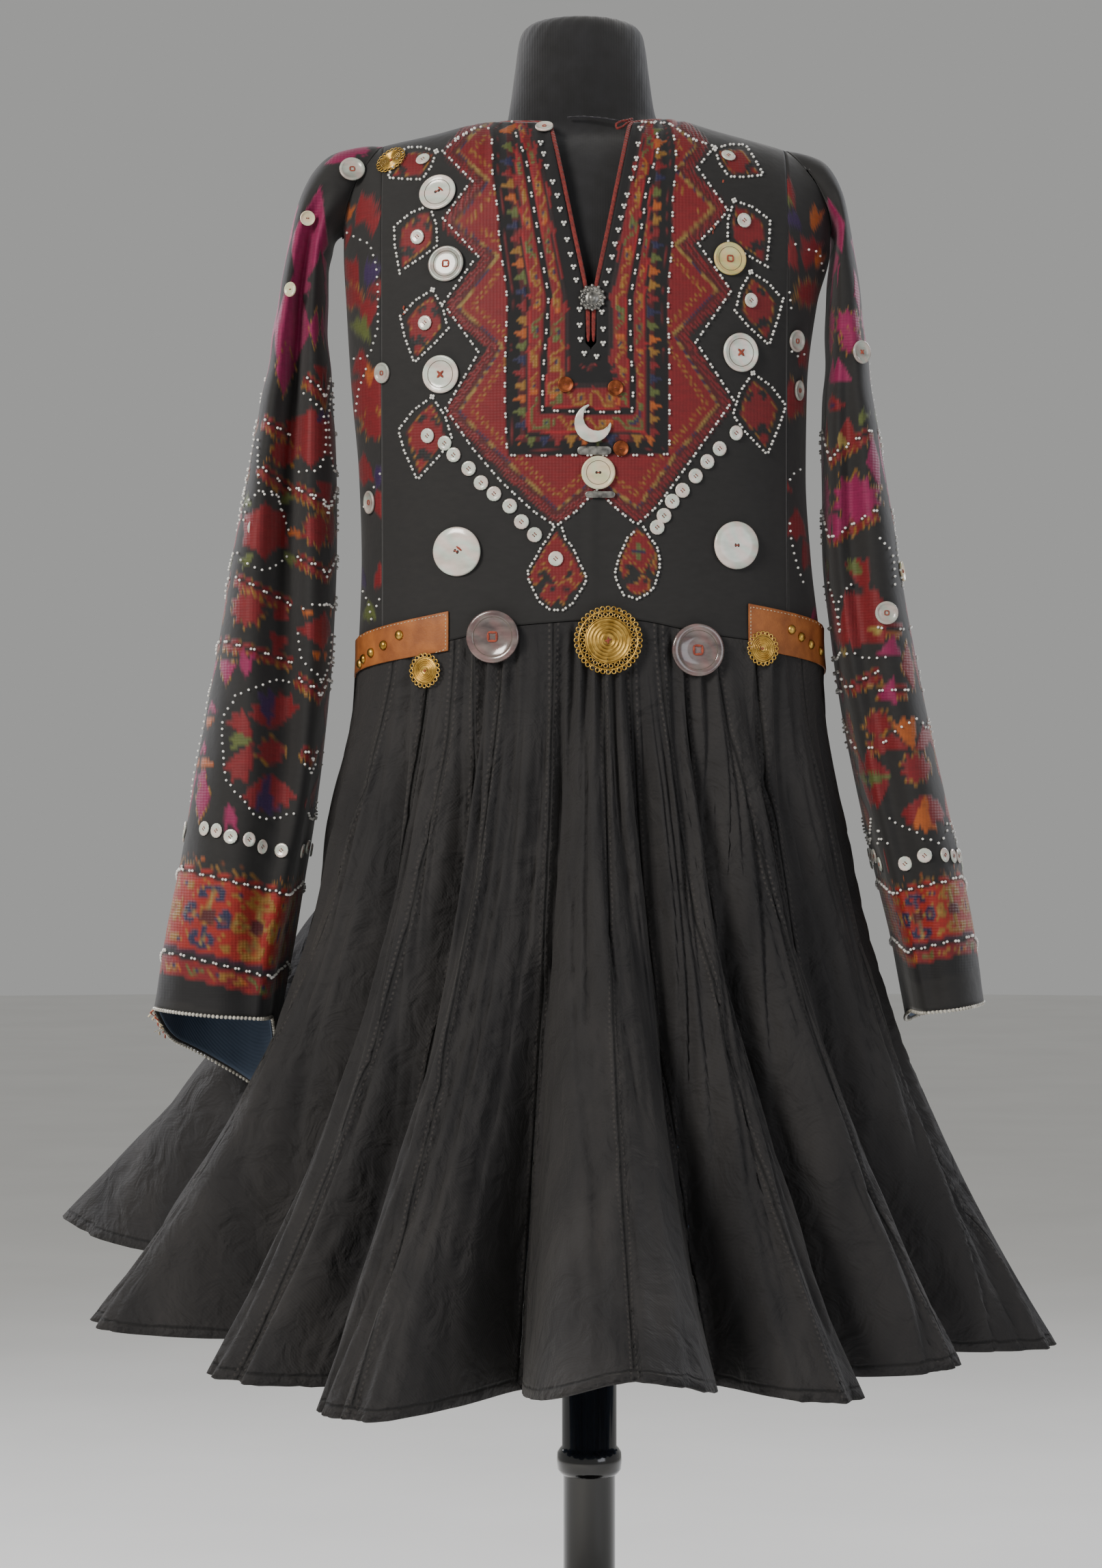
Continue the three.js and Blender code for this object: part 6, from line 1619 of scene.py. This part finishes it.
def sew_through(spot, axis, side, up, size, holes, pattern):
    """Painted shade discs where the holes are, with the thread that crosses them."""
    reach = 1.5 * size
    if holes == 4:
        holes = [(reach, reach), (-reach, reach), (-reach, -reach), (reach, -reach)]
    # each hole is a flat near-black disc on the button's face: painted shade, as no hole is cut
    for x, y in holes:
        HOLE_SHADE_PINS.put(spot + side * x + up * y, axis, 0.02, 0.95 * size, side)
    pairs = {"bar": [(0, 1)], "tail": [(0, 1)], "square": [(0, 1), (1, 2), (2, 3), (3, 0)],
             "cross": [(0, 2), (1, 3)], "two": [(0, 3), (1, 2)]}[pattern]
    if len(holes) == 1:
        holes = [(-0.9, 0), (0.9, 0)]
    for a, b in pairs:
        (x1, y1), (x2, y2) = holes[a], holes[b]
        way = side * (x2 - x1) + up * (y2 - y1)
        middle = spot + side * (x1 + x2) / 2 + up * (y1 + y2) / 2
        THREAD_PINS.put(middle, axis, 0.35, max(way.length / 2, 0.9), way)
    if pattern == "tail":
        THREAD_PINS.put(spot + side * 2.5 + up * 2.2, axis, 0.35, 2.6, side - up * 0.8)


class DRESS_OT_buttons(bpy.types.Operator):
    """Turns the pearl, shell, casein and copper buttons and sews them on"""
    bl_idname = "dress.buttons"
    bl_label = "Buttons"

    def execute(self, context):
        for name, (profile, finish_key, slot, holes, pattern) in BUTTONS.items():
            base, axis, side, up, wide_r, tall_r, thick = node_frame(name)
            if name != "neck_button":
                base = base + axis * seat(base, axis, wide_r, UNDER)
            large = wide_r > 11
            bm = turned_shape([(r, h * thick) for r, h in profile], 56 if large else 28)
            turn = Matrix((side, up, axis)).transposed().to_4x4()
            grow = Matrix.Diagonal((wide_r, tall_r, 1, 1))
            bmesh.ops.transform(bm, matrix=Matrix.Translation(base) @ turn @ grow,
                                verts=bm.verts)
            bmesh.ops.recalc_face_normals(bm, faces=bm.faces)
            place_piece(bm, name + "_turned", finish_key, [name])
            face_height = profile[-1][1] * thick
            # large buttons get a thin brown-grey ring of painted shade where their turned groove lies
            if large and profile is not PEARL_DISC:
                part = 0.74 if profile is SMOKY_BUTTON else 0.7
                GROOVE_SHADE_PINS.put(base + axis * (face_height + 0.12), axis, 0, wide_r * part)
            sew_through(base + axis * face_height, axis, side, up, wide_r / 10 + 0.15, holes,
                        pattern)
        small = Pins()
        rows = [chart(0, 0, 1, text) for text in (
            "651,649 664,666 686,686 704,707 723,723 746,741 763,764 782,783",
            "1076,634 1052,657 1034,676 1017,697 998,718 983,734 971,755 961,772",
            "619,234 611,347 622,473 626,638 1065,229 1088,323 1098,440 813,818")]
        for row in rows:
            for u, v in row:
                self.sew_small(context, small, meet(u, v, BODY_PARTS))
        cuffs = {"sleeve_left": "300,1213 317,1217 337,1225 363,1229 383,1240 412,1247",
                 "sleeve_right": "1325,1265 1353,1253 1381,1252 1396,1254"}
        for name, text in cuffs.items():
            for u, v in chart(0, 0, 1, text):
                for face in range(SLEEVE_FACES):
                    self.sew_small(context, small, meet(u, v, [name], face))
        radius = context.scene.dress_trim.small_button / MM / 2
        shape = turned_shape([(0, 0), (0.95 * radius, 0), (radius, 0.8), (0.86 * radius, 1.5),
                              (0.62 * radius, 1.0), (0, 0.95)], 14)
        small.sew(shape, "small_pearl_buttons", "pearl", "pearl_shell")
        # the rings are thin wire in a dark finish: painted shade in the grooves
        ring = torus_shape(1.0, 0.028, 48)
        GROOVE_SHADE_PINS.sew(ring, "button_groove_shade_rings", "groove", "smoky_shell")
        # the hole discs are near-black: painted shade
        hole = bmesh.new()
        bmesh.ops.create_circle(hole, cap_ends=True, segments=8, radius=0.8)
        HOLE_SHADE_PINS.sew(hole, "button_hole_shades", "hole", "charcoal_cotton")
        strand = bmesh.new()
        bmesh.ops.create_uvsphere(strand, u_segments=8, v_segments=6, radius=1.0)
        bmesh.ops.scale(strand, vec=(1.15, 0.32, 0.3), verts=strand.verts)
        THREAD_PINS.sew(strand, "button_threads", "thread", "red_binding")
        return {"FINISHED"}

    @staticmethod
    def sew_small(context, pins, hit):
        if hit is None:
            return
        spot, normal, _ = hit
        pins.put(spot, normal, 0.5)
        side = Vector((0, 0, 1)).cross(normal).normalized()
        up = normal.cross(side)
        slant = (side + up).normalized()
        other = normal.cross(slant)
        sew_through(spot + normal * 1.5, normal, slant, other, 0.62, 4, "two")


class DRESS_OT_medallions(bpy.types.Operator):
    """Works the gilt discs: ridged middles inside rings of soldered loops"""
    bl_idname = "dress.medallions"
    bl_label = "Medallions"

    def execute(self, context):
        loops, hoops = Pins(), Pins()
        for name in MEDALLIONS:
            base, axis, side, up, r, _, t = node_frame(name)
            base = base + axis * seat(base, axis, r, UNDER)
            grand = name == "centre_medallion"
            edge = 0.66 if grand else 0.72
            profile = [(0, 0.2), (edge * r, 0.2), (edge * r, 0.5 * t)]
            for n in range(5):
                outer = edge - 0.02 - n * 0.105
                profile += [(outer * r, 0.3 * t), ((outer - 0.015) * r, t),
                            ((outer - 0.05) * r, t), ((outer - 0.065) * r, 0.3 * t)]
            profile += [(0.12 * r, 0.3 * t), (0, 0.3 * t)]
            bm = turned_shape(profile, 64 if grand else 40)
            turn = Matrix((side, up, axis)).transposed().to_4x4()
            bmesh.ops.transform(bm, matrix=Matrix.Translation(base) @ turn, verts=bm.verts)
            bmesh.ops.recalc_face_normals(bm, faces=bm.faces)
            place_piece(bm, name + "_sheet", "brass", [name])
            rings = ((0.935, 36, 2.1), (0.76, 30, 1.9)) if grand else ((0.88, 20, 1.95),)
            for part in (0.86, 0.67) if grand else (0.76,):
                hoops.put(base, axis, 0.5 * t, r * part)
            for part, count, size in rings:
                for n in range(count):
                    a = 2 * math.pi * n / count
                    spot = base + (side * math.cos(a) + up * math.sin(a)) * r * part
                    loops.put(spot, axis, 0.55 * t, size)
            THREAD_PINS.put(base, axis, 0.55 * t, 0.1 * r, side + up * 0.3)
            THREAD_PINS.put(base, axis, 0.5 * t, 0.1 * r, up)
        hoops.sew(torus_shape(1.0, 0.032, 64), "medallion_hoops", "brass", "gilt_brass")
        loops.sew(torus_shape(0.78, 0.26, 10), "medallion_loops", "brass", "gilt_brass")
        return {"FINISHED"}


class DRESS_OT_beads(bpy.types.Operator):
    """Sews the white beads in threes, pairs and single rows, and the edging of the cuffs"""
    bl_idname = "dress.beads"
    bl_label = "Beads"

    def execute(self, context):
        white = Pins()
        radius = context.scene.dress_trim.bead / MM / 2
        neck = [chart(580, 120, 2.613, text) for text in (
            "545,170 550,235 562,277 575,325 597,383 615,435 625,487 640,540 652,603 665,660 "
            "677,708 687,758 700,870 700,930 703,985 718,1038 765,1050 790,1000 790,945 785,880 "
            "800,770 812,722 824,670 835,620 848,566 858,520 870,475 882,433 897,370 910,330 "
            "917,295 925,240 933,180",)]
        for line in neck:
            for (u, v) in line:
                for du, dv in ((-2.2, -1.2), (2.2, -1.2), (0, 2.6)):
                    self.sew(white, meet(u + du, v + dv, BODY_PARTS), radius)
        pairs = [(YOKE_EDGE, 22), (YOKE_MIDDLE, 22), (BEAD_EDGE, 14.2),
                 (chart(580, 120, 2.613, "232,218 295,183 340,172 390,152 424,148 465,145 "
                        "537,148"), 13),
                 (chart(580, 120, 2.613, "945,157 985,160 1020,160 1050,168 1090,195 1140,225"),
                  13)]
        for (x, y), size, deg in HORNS:
            outline = turned(HORN_BODY, x, y, size * 1.22, deg, 1.35)
            pairs.append((np.vstack([outline, outline[:1]]), 12.5))
        pairs.append((chart(600, 700, 2.412, "505,178 485,215 465,240 445,278 416,325 418,358 "
                            "434,393 455,436 495,466 540,466 570,445 590,415 610,385 624,356 "
                            "612,325 598,302 585,268 570,240 547,212 538,182"), 12))
        pairs.append((chart(600, 700, 2.412, "785,195 765,215 752,245 740,272 728,312 722,341 "
                            "735,378 752,410 778,420 800,428 838,408 862,384 870,352 880,320 "
                            "880,284 870,240 845,210 826,178"), 12))
        for line, pitch in pairs:
            for at, way in walk(line, pitch):
                for step in (-2.4, 2.4):
                    u, v = at + way * step
                    self.sew(white, meet(u, v, BODY_PARTS), radius)
        for hand, side in ((-1, "left"), (1, "right")):
            arm, flank = ["sleeve_" + side], ["side_panel_" + side]
            for start, end in SLEEVE_BANDS[hand]:
                for at, way in walk([start, end], 17, 6):
                    for step in (-2.2, 2.2):
                        u, v = at + way * step
                        self.both(white, u, v, arm, radius)
            for line in SLEEVE_ARCS[hand]:
                for (u, v), _ in walk(line, 10.5):
                    self.both(white, u, v, arm, radius * 0.95)
            for line in SIDE_ARCS[hand]:
                for (u, v), _ in walk(line, 10.5):
                    self.sew(white, meet(u, v, flank), radius * 0.9)
            (x1, y1), (x2, y2), scale = CUFF[hand]
            span_x, span_y = x2 - x1, y2 - y1
            length = math.hypot(span_x, span_y)
            down = np.array([-span_y, span_x]) / length * scale
            for off in (0.5, 123):
                line = [np.array([x1 - span_x * 0.4, y1 - span_y * 0.4]) + down * off,
                        np.array([x2 + span_x * 0.6, y2 + span_y * 0.6]) + down * off]
                for at, way in walk(line, 16):
                    for step in (-2.2, 2.2):
                        u, v = at + way * step
                        self.both(white, u, v, arm, radius)
        white.sew(bead_shape(1.0), "white_beads", "white_bead", "pearl_shell")
        silver = Pins()
        size = context.scene.dress_trim.hem_bead / MM / 2
        for hand in (-1, 1):
            t = np.linspace(0, 1, 1200)
            edge = sleeve_point(hand, np.full(t.shape, 13.0), t)
            run = np.concatenate([[0], np.cumsum(np.linalg.norm(np.diff(edge, axis=0), axis=1))])
            count = int(run[-1] / (size * 2.05))
            for at in np.arange(count) * run[-1] / count:
                spot = Vector([float(np.interp(at, run, edge[:, c])) for c in range(3)])
                silver.put(spot - Vector((0, 0, size * 0.7)), Vector((0, 0, 1)), 0, size)
        silver.sew(bead_shape(1.0), "cuff_edge_beads", "silver_bead", "pearl_shell")
        return {"FINISHED"}

    @staticmethod
    def sew(pins, hit, radius):
        if hit is not None:
            pins.put(hit[0], hit[1], radius * 0.7, radius)

    def both(self, pins, u, v, names, radius):
        """Sewn on every face of the sleeve."""
        for face in range(SLEEVE_FACES):
            self.sew(pins, meet(u, v, names, face), radius)


def merged_copy(name):
    """A joined-up copy of a CAD piece, in millimetres."""
    bm = bmesh.new()
    bm.from_mesh(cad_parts[name].data)
    bmesh.ops.scale(bm, vec=(1 / MM,) * 3, verts=bm.verts)
    bmesh.ops.remove_doubles(bm, verts=bm.verts, dist=0.005)
    return bm


def cord_along(points, radius, name, finish_key):
    """A round cord swept along points."""
    bm = bmesh.new()
    bmesh.ops.create_circle(bm, segments=8, radius=radius)
    way = (points[1] - points[0]).normalized()
    turn = Vector((0, 0, 1)).rotation_difference(way).to_matrix()
    bmesh.ops.rotate(bm, cent=(0, 0, 0), matrix=turn, verts=bm.verts)
    bmesh.ops.translate(bm, vec=points[0], verts=bm.verts)
    ring = bm.edges[:]
    for before, after in zip(points[:-1], points[1:]):
        made = bmesh.ops.extrude_edge_only(bm, edges=ring)["geom"]
        verts = [g for g in made if isinstance(g, bmesh.types.BMVert)]
        ring = [g for g in made if isinstance(g, bmesh.types.BMEdge)
                and all(v in verts for v in g.verts)]
        bmesh.ops.translate(bm, vec=after - before, verts=verts)
    bmesh.ops.holes_fill(bm, edges=bm.edges, sides=8)
    bmesh.ops.recalc_face_normals(bm, faces=bm.faces)
    return place_piece(bm, name, finish_key)


def bowed(points, count=6):
    """A smooth run of places through a few points."""
    points = np.array(points, float)
    t = np.arange(len(points))
    fine = np.linspace(0, len(points) - 1, (len(points) - 1) * count + 1)
    table = [[i, *p] for i, p in zip(t, points)]
    return [Vector(p) for p in np.stack([track(table, c)(fine) for c in (1, 2, 3)], -1)]


class DRESS_OT_trimmings(bpy.types.Operator):
    """Binds the neck, and sews on the tabs, studs, crescent, bars, flower and loose threads"""
    bl_idname = "dress.trimmings"
    bl_label = "Trimmings"

    def execute(self, context):
        bm = merged_copy("neck_binding")
        piece = place_piece(bm, "neck_binding_rolled", "binding", ["neck_binding"])
        self.soften(piece, 2)
        for side in ("left", "right"):
            name = "waist_tab_" + side
            bm = merged_copy(name)
            bm.normal_update()
            SURFACES[name] = BVHTree.FromBMesh(bm)
            bmesh.ops.bevel(bm, geom=[e for e in bm.edges if e.is_manifold
                                      and e.calc_face_angle(0) > 0.9],
                            offset=0.45, affect="EDGES", segments=2, profile=0.5, material=-1)
            place_piece(bm, name + "_cut", "leather", [name])
        studs = Pins()
        for side, text in (("left", "584,930 561,945 543,956 532,965 527,972"),
                           ("right", "1158,922 1172,933 1186,944 1200,954 1211,965")):
            for u, v in chart(0, 0, 1, text):
                hit = meet(u, v, ["waist_tab_" + side])
                if hit is not None:
                    studs.put(hit[0], hit[1], -0.2)
        studs.sew(turned_shape([(0, 0), (3.9, 0), (3.7, 1.3), (2.9, 2.4), (1.6, 3.1), (0, 3.3)],
                               20), "tab_studs", "brass", "gilt_brass")
        stitches = Pins()
        for side in ("left", "right"):
            name = "waist_tab_" + side
            bm = merged_copy(name)
            rim = points_of(bm)
            bm.free()
            x, z = to_chart(rim)
            outline = self.hull(np.stack([x, z], -1))
            middle = outline.mean(0)
            outline = middle + (outline - middle) * np.array([0.94, 0.88])
            for (u, v), way in walk(outline, 5.2, closed=True):
                hit = meet(u, v, [name])
                if hit is not None:
                    stitches.put(hit[0], hit[1], 0.1, 0.95, Vector((way[0], 0, -way[1])))
        strand = bmesh.new()
        bmesh.ops.create_uvsphere(strand, u_segments=6, v_segments=4, radius=1.0)
        bmesh.ops.scale(strand, vec=(1, 0.35, 0.3), verts=strand.verts)
        stitches.sew(strand, "tab_stitches", "cream", "cream_casein")
        for name, key, slot, round_off in (
                ("shell_crescent", "pearl", "pearl_shell", 0.8),
                ("metal_bar_upper", "steel", "grey_steel", 0.6),
                ("metal_bar_lower", "steel", "grey_steel", 0.6)):
            bm = merged_copy(name)
            bmesh.ops.bevel(bm, geom=[e for e in bm.edges if e.calc_face_angle(0) > 0.9],
                            offset=round_off, affect="EDGES", segments=3, profile=0.5,
                            material=-1)
            place_piece(bm, name + "_rounded", key, [name])
        self.flower()
        self.neck_cords()
        return {"FINISHED"}

    @staticmethod
    def soften(piece, levels):
        mod = piece.modifiers.new("roll", "SUBSURF")
        mod.levels = mod.render_levels = levels

    @staticmethod
    def hull(points):
        """The outline round a set of chart places."""
        bm = bmesh.new()
        for x, y in points:
            bm.verts.new((x, y, 0))
        made = bmesh.ops.convex_hull(bm, input=bm.verts)
        keep = {g for g in made["geom"] if isinstance(g, bmesh.types.BMVert)}
        ring = np.array([v.co[:2] for v in bm.verts if v in keep])
        bm.free()
        middle = ring.mean(0)
        order = np.argsort(np.arctan2(*(ring - middle).T[::-1]))
        return ring[order]

    @staticmethod
    def flower():
        """The openwork metal flower over the foot of the neck."""
        base, axis, side, up, wide_r, _, thick = node_frame("flower_button")
        bm = turned_shape([(0, 0.1), (0.86 * wide_r, 0.1), (0.9 * wide_r, 0.9), (0.7 * wide_r, 1.0),
                           (0.62 * wide_r, 0.7), (0.3 * wide_r, 0.8), (0.24 * wide_r, thick),
                           (0, thick + 0.3)], 40)
        petal = Pins()
        for n in range(12):
            a = 2 * math.pi * n / 12
            out = Vector((math.cos(a), math.sin(a), 0))
            petal.put(out * wide_r * 0.9, Vector((0, 0, 1)), 1.0, 1.35, out)
            petal.put(out * wide_r * 0.62, Vector((0, 0, 1)), 1.3, 1.15, out)
        turn = Matrix.Translation(base) @ Matrix((side, up, axis)).transposed().to_4x4()
        bmesh.ops.transform(bm, matrix=turn, verts=bm.verts)
        bmesh.ops.recalc_face_normals(bm, faces=bm.faces)
        place_piece(bm, "flower_button_cast", "steel", ["flower_button"])
        for n, (spot, x, y, z) in enumerate(petal.frames):
            petal.frames[n] = (turn @ spot, turn.to_3x3() @ x, turn.to_3x3() @ y,
                               turn.to_3x3() @ z)
        grain = bmesh.new()
        bmesh.ops.create_uvsphere(grain, u_segments=8, v_segments=6, radius=1.0)
        petal.sew(grain, "flower_button_grains", "steel", "grey_steel")

    @staticmethod
    def neck_cords():
        """The red loop that the neck button once closed in, the dark tie and loose threads."""
        def at(u, v, y):
            far = y - EYE.y
            return (EYE.x + (u - CHART_MIDDLE[0]) * far / COUNT, y,
                    EYE.z - (v - CHART_MIDDLE[1]) * far / COUNT)
        loop = bowed([at(925, 174, -50), at(918, 176, -54), at(908, 178, -57), at(901, 183, -59),
                      at(903, 188, -59), at(910, 186, -58), at(918, 180, -55),
                      at(926, 178, -51)])
        cord_along(loop, 1.0, "neck_loop", "binding")
        tie = bowed([at(830, 172, -51), at(850, 171, -53), at(880, 173, -54), at(905, 177, -54)])
        cord_along(tie, 0.7, "neck_tie", "cord")
        ends = []
        random.seed(7)
        for u, v in ((593, 448), (1058, 264), (1046, 330)):
            spot, normal, _ = meet(u, v, BODY_PARTS)
            ends.append(([spot + normal * 0.4 + Vector((random.uniform(-2, 2), 0, k * -2.2))
                          for k in range(4)], "thread"))
        for n in range(10):
            edge = sleeve_point(-1, np.array([13.0]), np.array([0.93 + 0.012 * n]))[0]
            start = Vector(edge) + Vector((0, -1.5, 0))
            drop = [start + Vector((random.uniform(-3, 3) * k, random.uniform(-2, 0) * k, -4.0 * k))
                    for k in (0, 0.5, 1.0, 1.6)]
            ends.append((drop, "cream" if n % 3 else "thread"))
        for n, (points, key) in enumerate(ends):
            cord_along(bowed([p[:] for p in points], 3), 0.75, f"loose_thread_{n + 1}", key)


class DRESS_OT_form(bpy.types.Operator):
    """Stretches black jersey over the form and turns its post and base"""
    bl_idname = "dress.form"
    bl_label = "Form and stand"

    def execute(self, context):
        bm = merged_copy("form_torso")
        piece = place_piece(bm, "form_torso_covered", "form", ["form_torso"])
        mod = piece.modifiers.new("round", "SUBSURF")
        mod.levels = mod.render_levels = 2
        post = turned_shape([(0, 26.3), (27, 26.3), (27, 31), (24, 35), (20.4, 40), (20.4, 384),
                             (23, 386), (25, 389), (25.6, 395.5), (25, 402), (23, 405),
                             (21.4, 407), (21.4, 775.5), (0, 775.5)], 64)
        place_piece(post, "stand_post_turned", "wood", ["stand_post"])
        base = turned_shape([(0, 0), (187, 0), (189.5, 1.5), (190, 4), (190, 11), (188.5, 15),
                             (184, 18), (168, 21), (150, 26), (0, 26)], 96)
        place_piece(base, "stand_base_turned", "wood", ["stand_base"])
        for name in ("stand_post_turned", "stand_base_turned"):
            bpy.data.objects[name].data.set_sharp_from_angle(angle=math.radians(50))
        return {"FINISHED"}


class DRESS_OT_stage(bpy.types.Operator):
    """Lays the pale floor, hangs the soft lights and places the camera"""
    bl_idname = "dress.stage"
    bl_label = "Stage"

    def execute(self, context):
        bm = bmesh.new()
        bmesh.ops.create_circle(bm, cap_ends=True, segments=96, radius=14.0)
        mesh = bpy.data.meshes.new("studio_floor")
        bm.to_mesh(mesh)
        bm.free()
        paper = bpy.data.objects.new("studio_floor", mesh)
        context.scene.collection.objects.link(paper)
        mesh.materials.append(finish("paper"))
        for name, place, aim, size, power, tint in (
                ("key", (-1.9, -2.3, 2.5), (0, 0, 1.05), 1.0, 92, "#fffaf2"),
                ("fill", (2.3, -2.4, 1.5), (0, 0, 0.95), 1.6, 20, "#f4f7ff"),
                ("left_rim", (-2.0, 1.6, 2.0), (0, 0, 1.0), 1.2, 46, "#f6f8ff"),
                ("right_rim", (2.0, 1.8, 2.2), (0, 0, 1.0), 1.2, 46, "#f6f8ff")):
            data = bpy.data.lights.new(name, "AREA")
            data.energy = power
            data.size = size
            data.color = hex_colour(tint)
            lamp = bpy.data.objects.new(name, data)
            lamp.location = place
            way = Vector(aim) - Vector(place)
            lamp.rotation_euler = way.to_track_quat("-Z", "Y").to_euler()
            context.scene.collection.objects.link(lamp)
        world = bpy.data.worlds.new("soft room")
        world.use_nodes = True
        sky = world.node_tree.nodes["Background"]
        sky.inputs["Color"].default_value = rgba("#dcdcda")
        sky.inputs["Strength"].default_value = 0.5
        context.scene.world = world
        data = bpy.data.cameras.new("camera")
        data.sensor_width = 36
        data.lens = 36 * COUNT / 2296
        camera = bpy.data.objects.new("camera", data)
        camera.location = EYE * MM
        camera.rotation_euler = (math.pi / 2, 0, 0)
        context.scene.collection.objects.link(camera)
        context.scene.camera = camera
        return {"FINISHED"}


class DRESS_PT_panel(bpy.types.Panel):
    """Lists the pieces of the dress"""
    bl_idname = "DRESS_PT_panel"
    bl_label = "Embroidered dress"
    bl_space_type = "VIEW_3D"
    bl_region_type = "UI"
    bl_category = "Dress"

    def draw(self, context):
        layout = self.layout
        for operator in OPERATORS:
            layout.operator(operator.bl_idname)
        for group in (context.scene.dress_cloth, context.scene.dress_trim):
            for key in group.bl_rna.properties.keys():
                if key not in ("rna_type", "name"):
                    layout.prop(group, key)


OPERATORS = (DRESS_OT_form, DRESS_OT_skirt, DRESS_OT_bodice, DRESS_OT_sleeves,
             DRESS_OT_beads, DRESS_OT_medallions, DRESS_OT_buttons, DRESS_OT_trimmings,
             DRESS_OT_stage)
CLASSES = (DressClothSettings, DressTrimSettings) + OPERATORS + (DRESS_PT_panel,)


def register():
    for cls in CLASSES:
        bpy.utils.register_class(cls)
    bpy.types.Scene.dress_cloth = bpy.props.PointerProperty(type=DressClothSettings)
    bpy.types.Scene.dress_trim = bpy.props.PointerProperty(type=DressTrimSettings)


def unregister():
    del bpy.types.Scene.dress_cloth
    del bpy.types.Scene.dress_trim
    for cls in reversed(CLASSES):
        bpy.utils.unregister_class(cls)


def main():
    register()
    for operator in OPERATORS:
        group, name = operator.bl_idname.split(".")
        getattr(getattr(bpy.ops, group), name)()


if __name__ == "__main__":
    main()
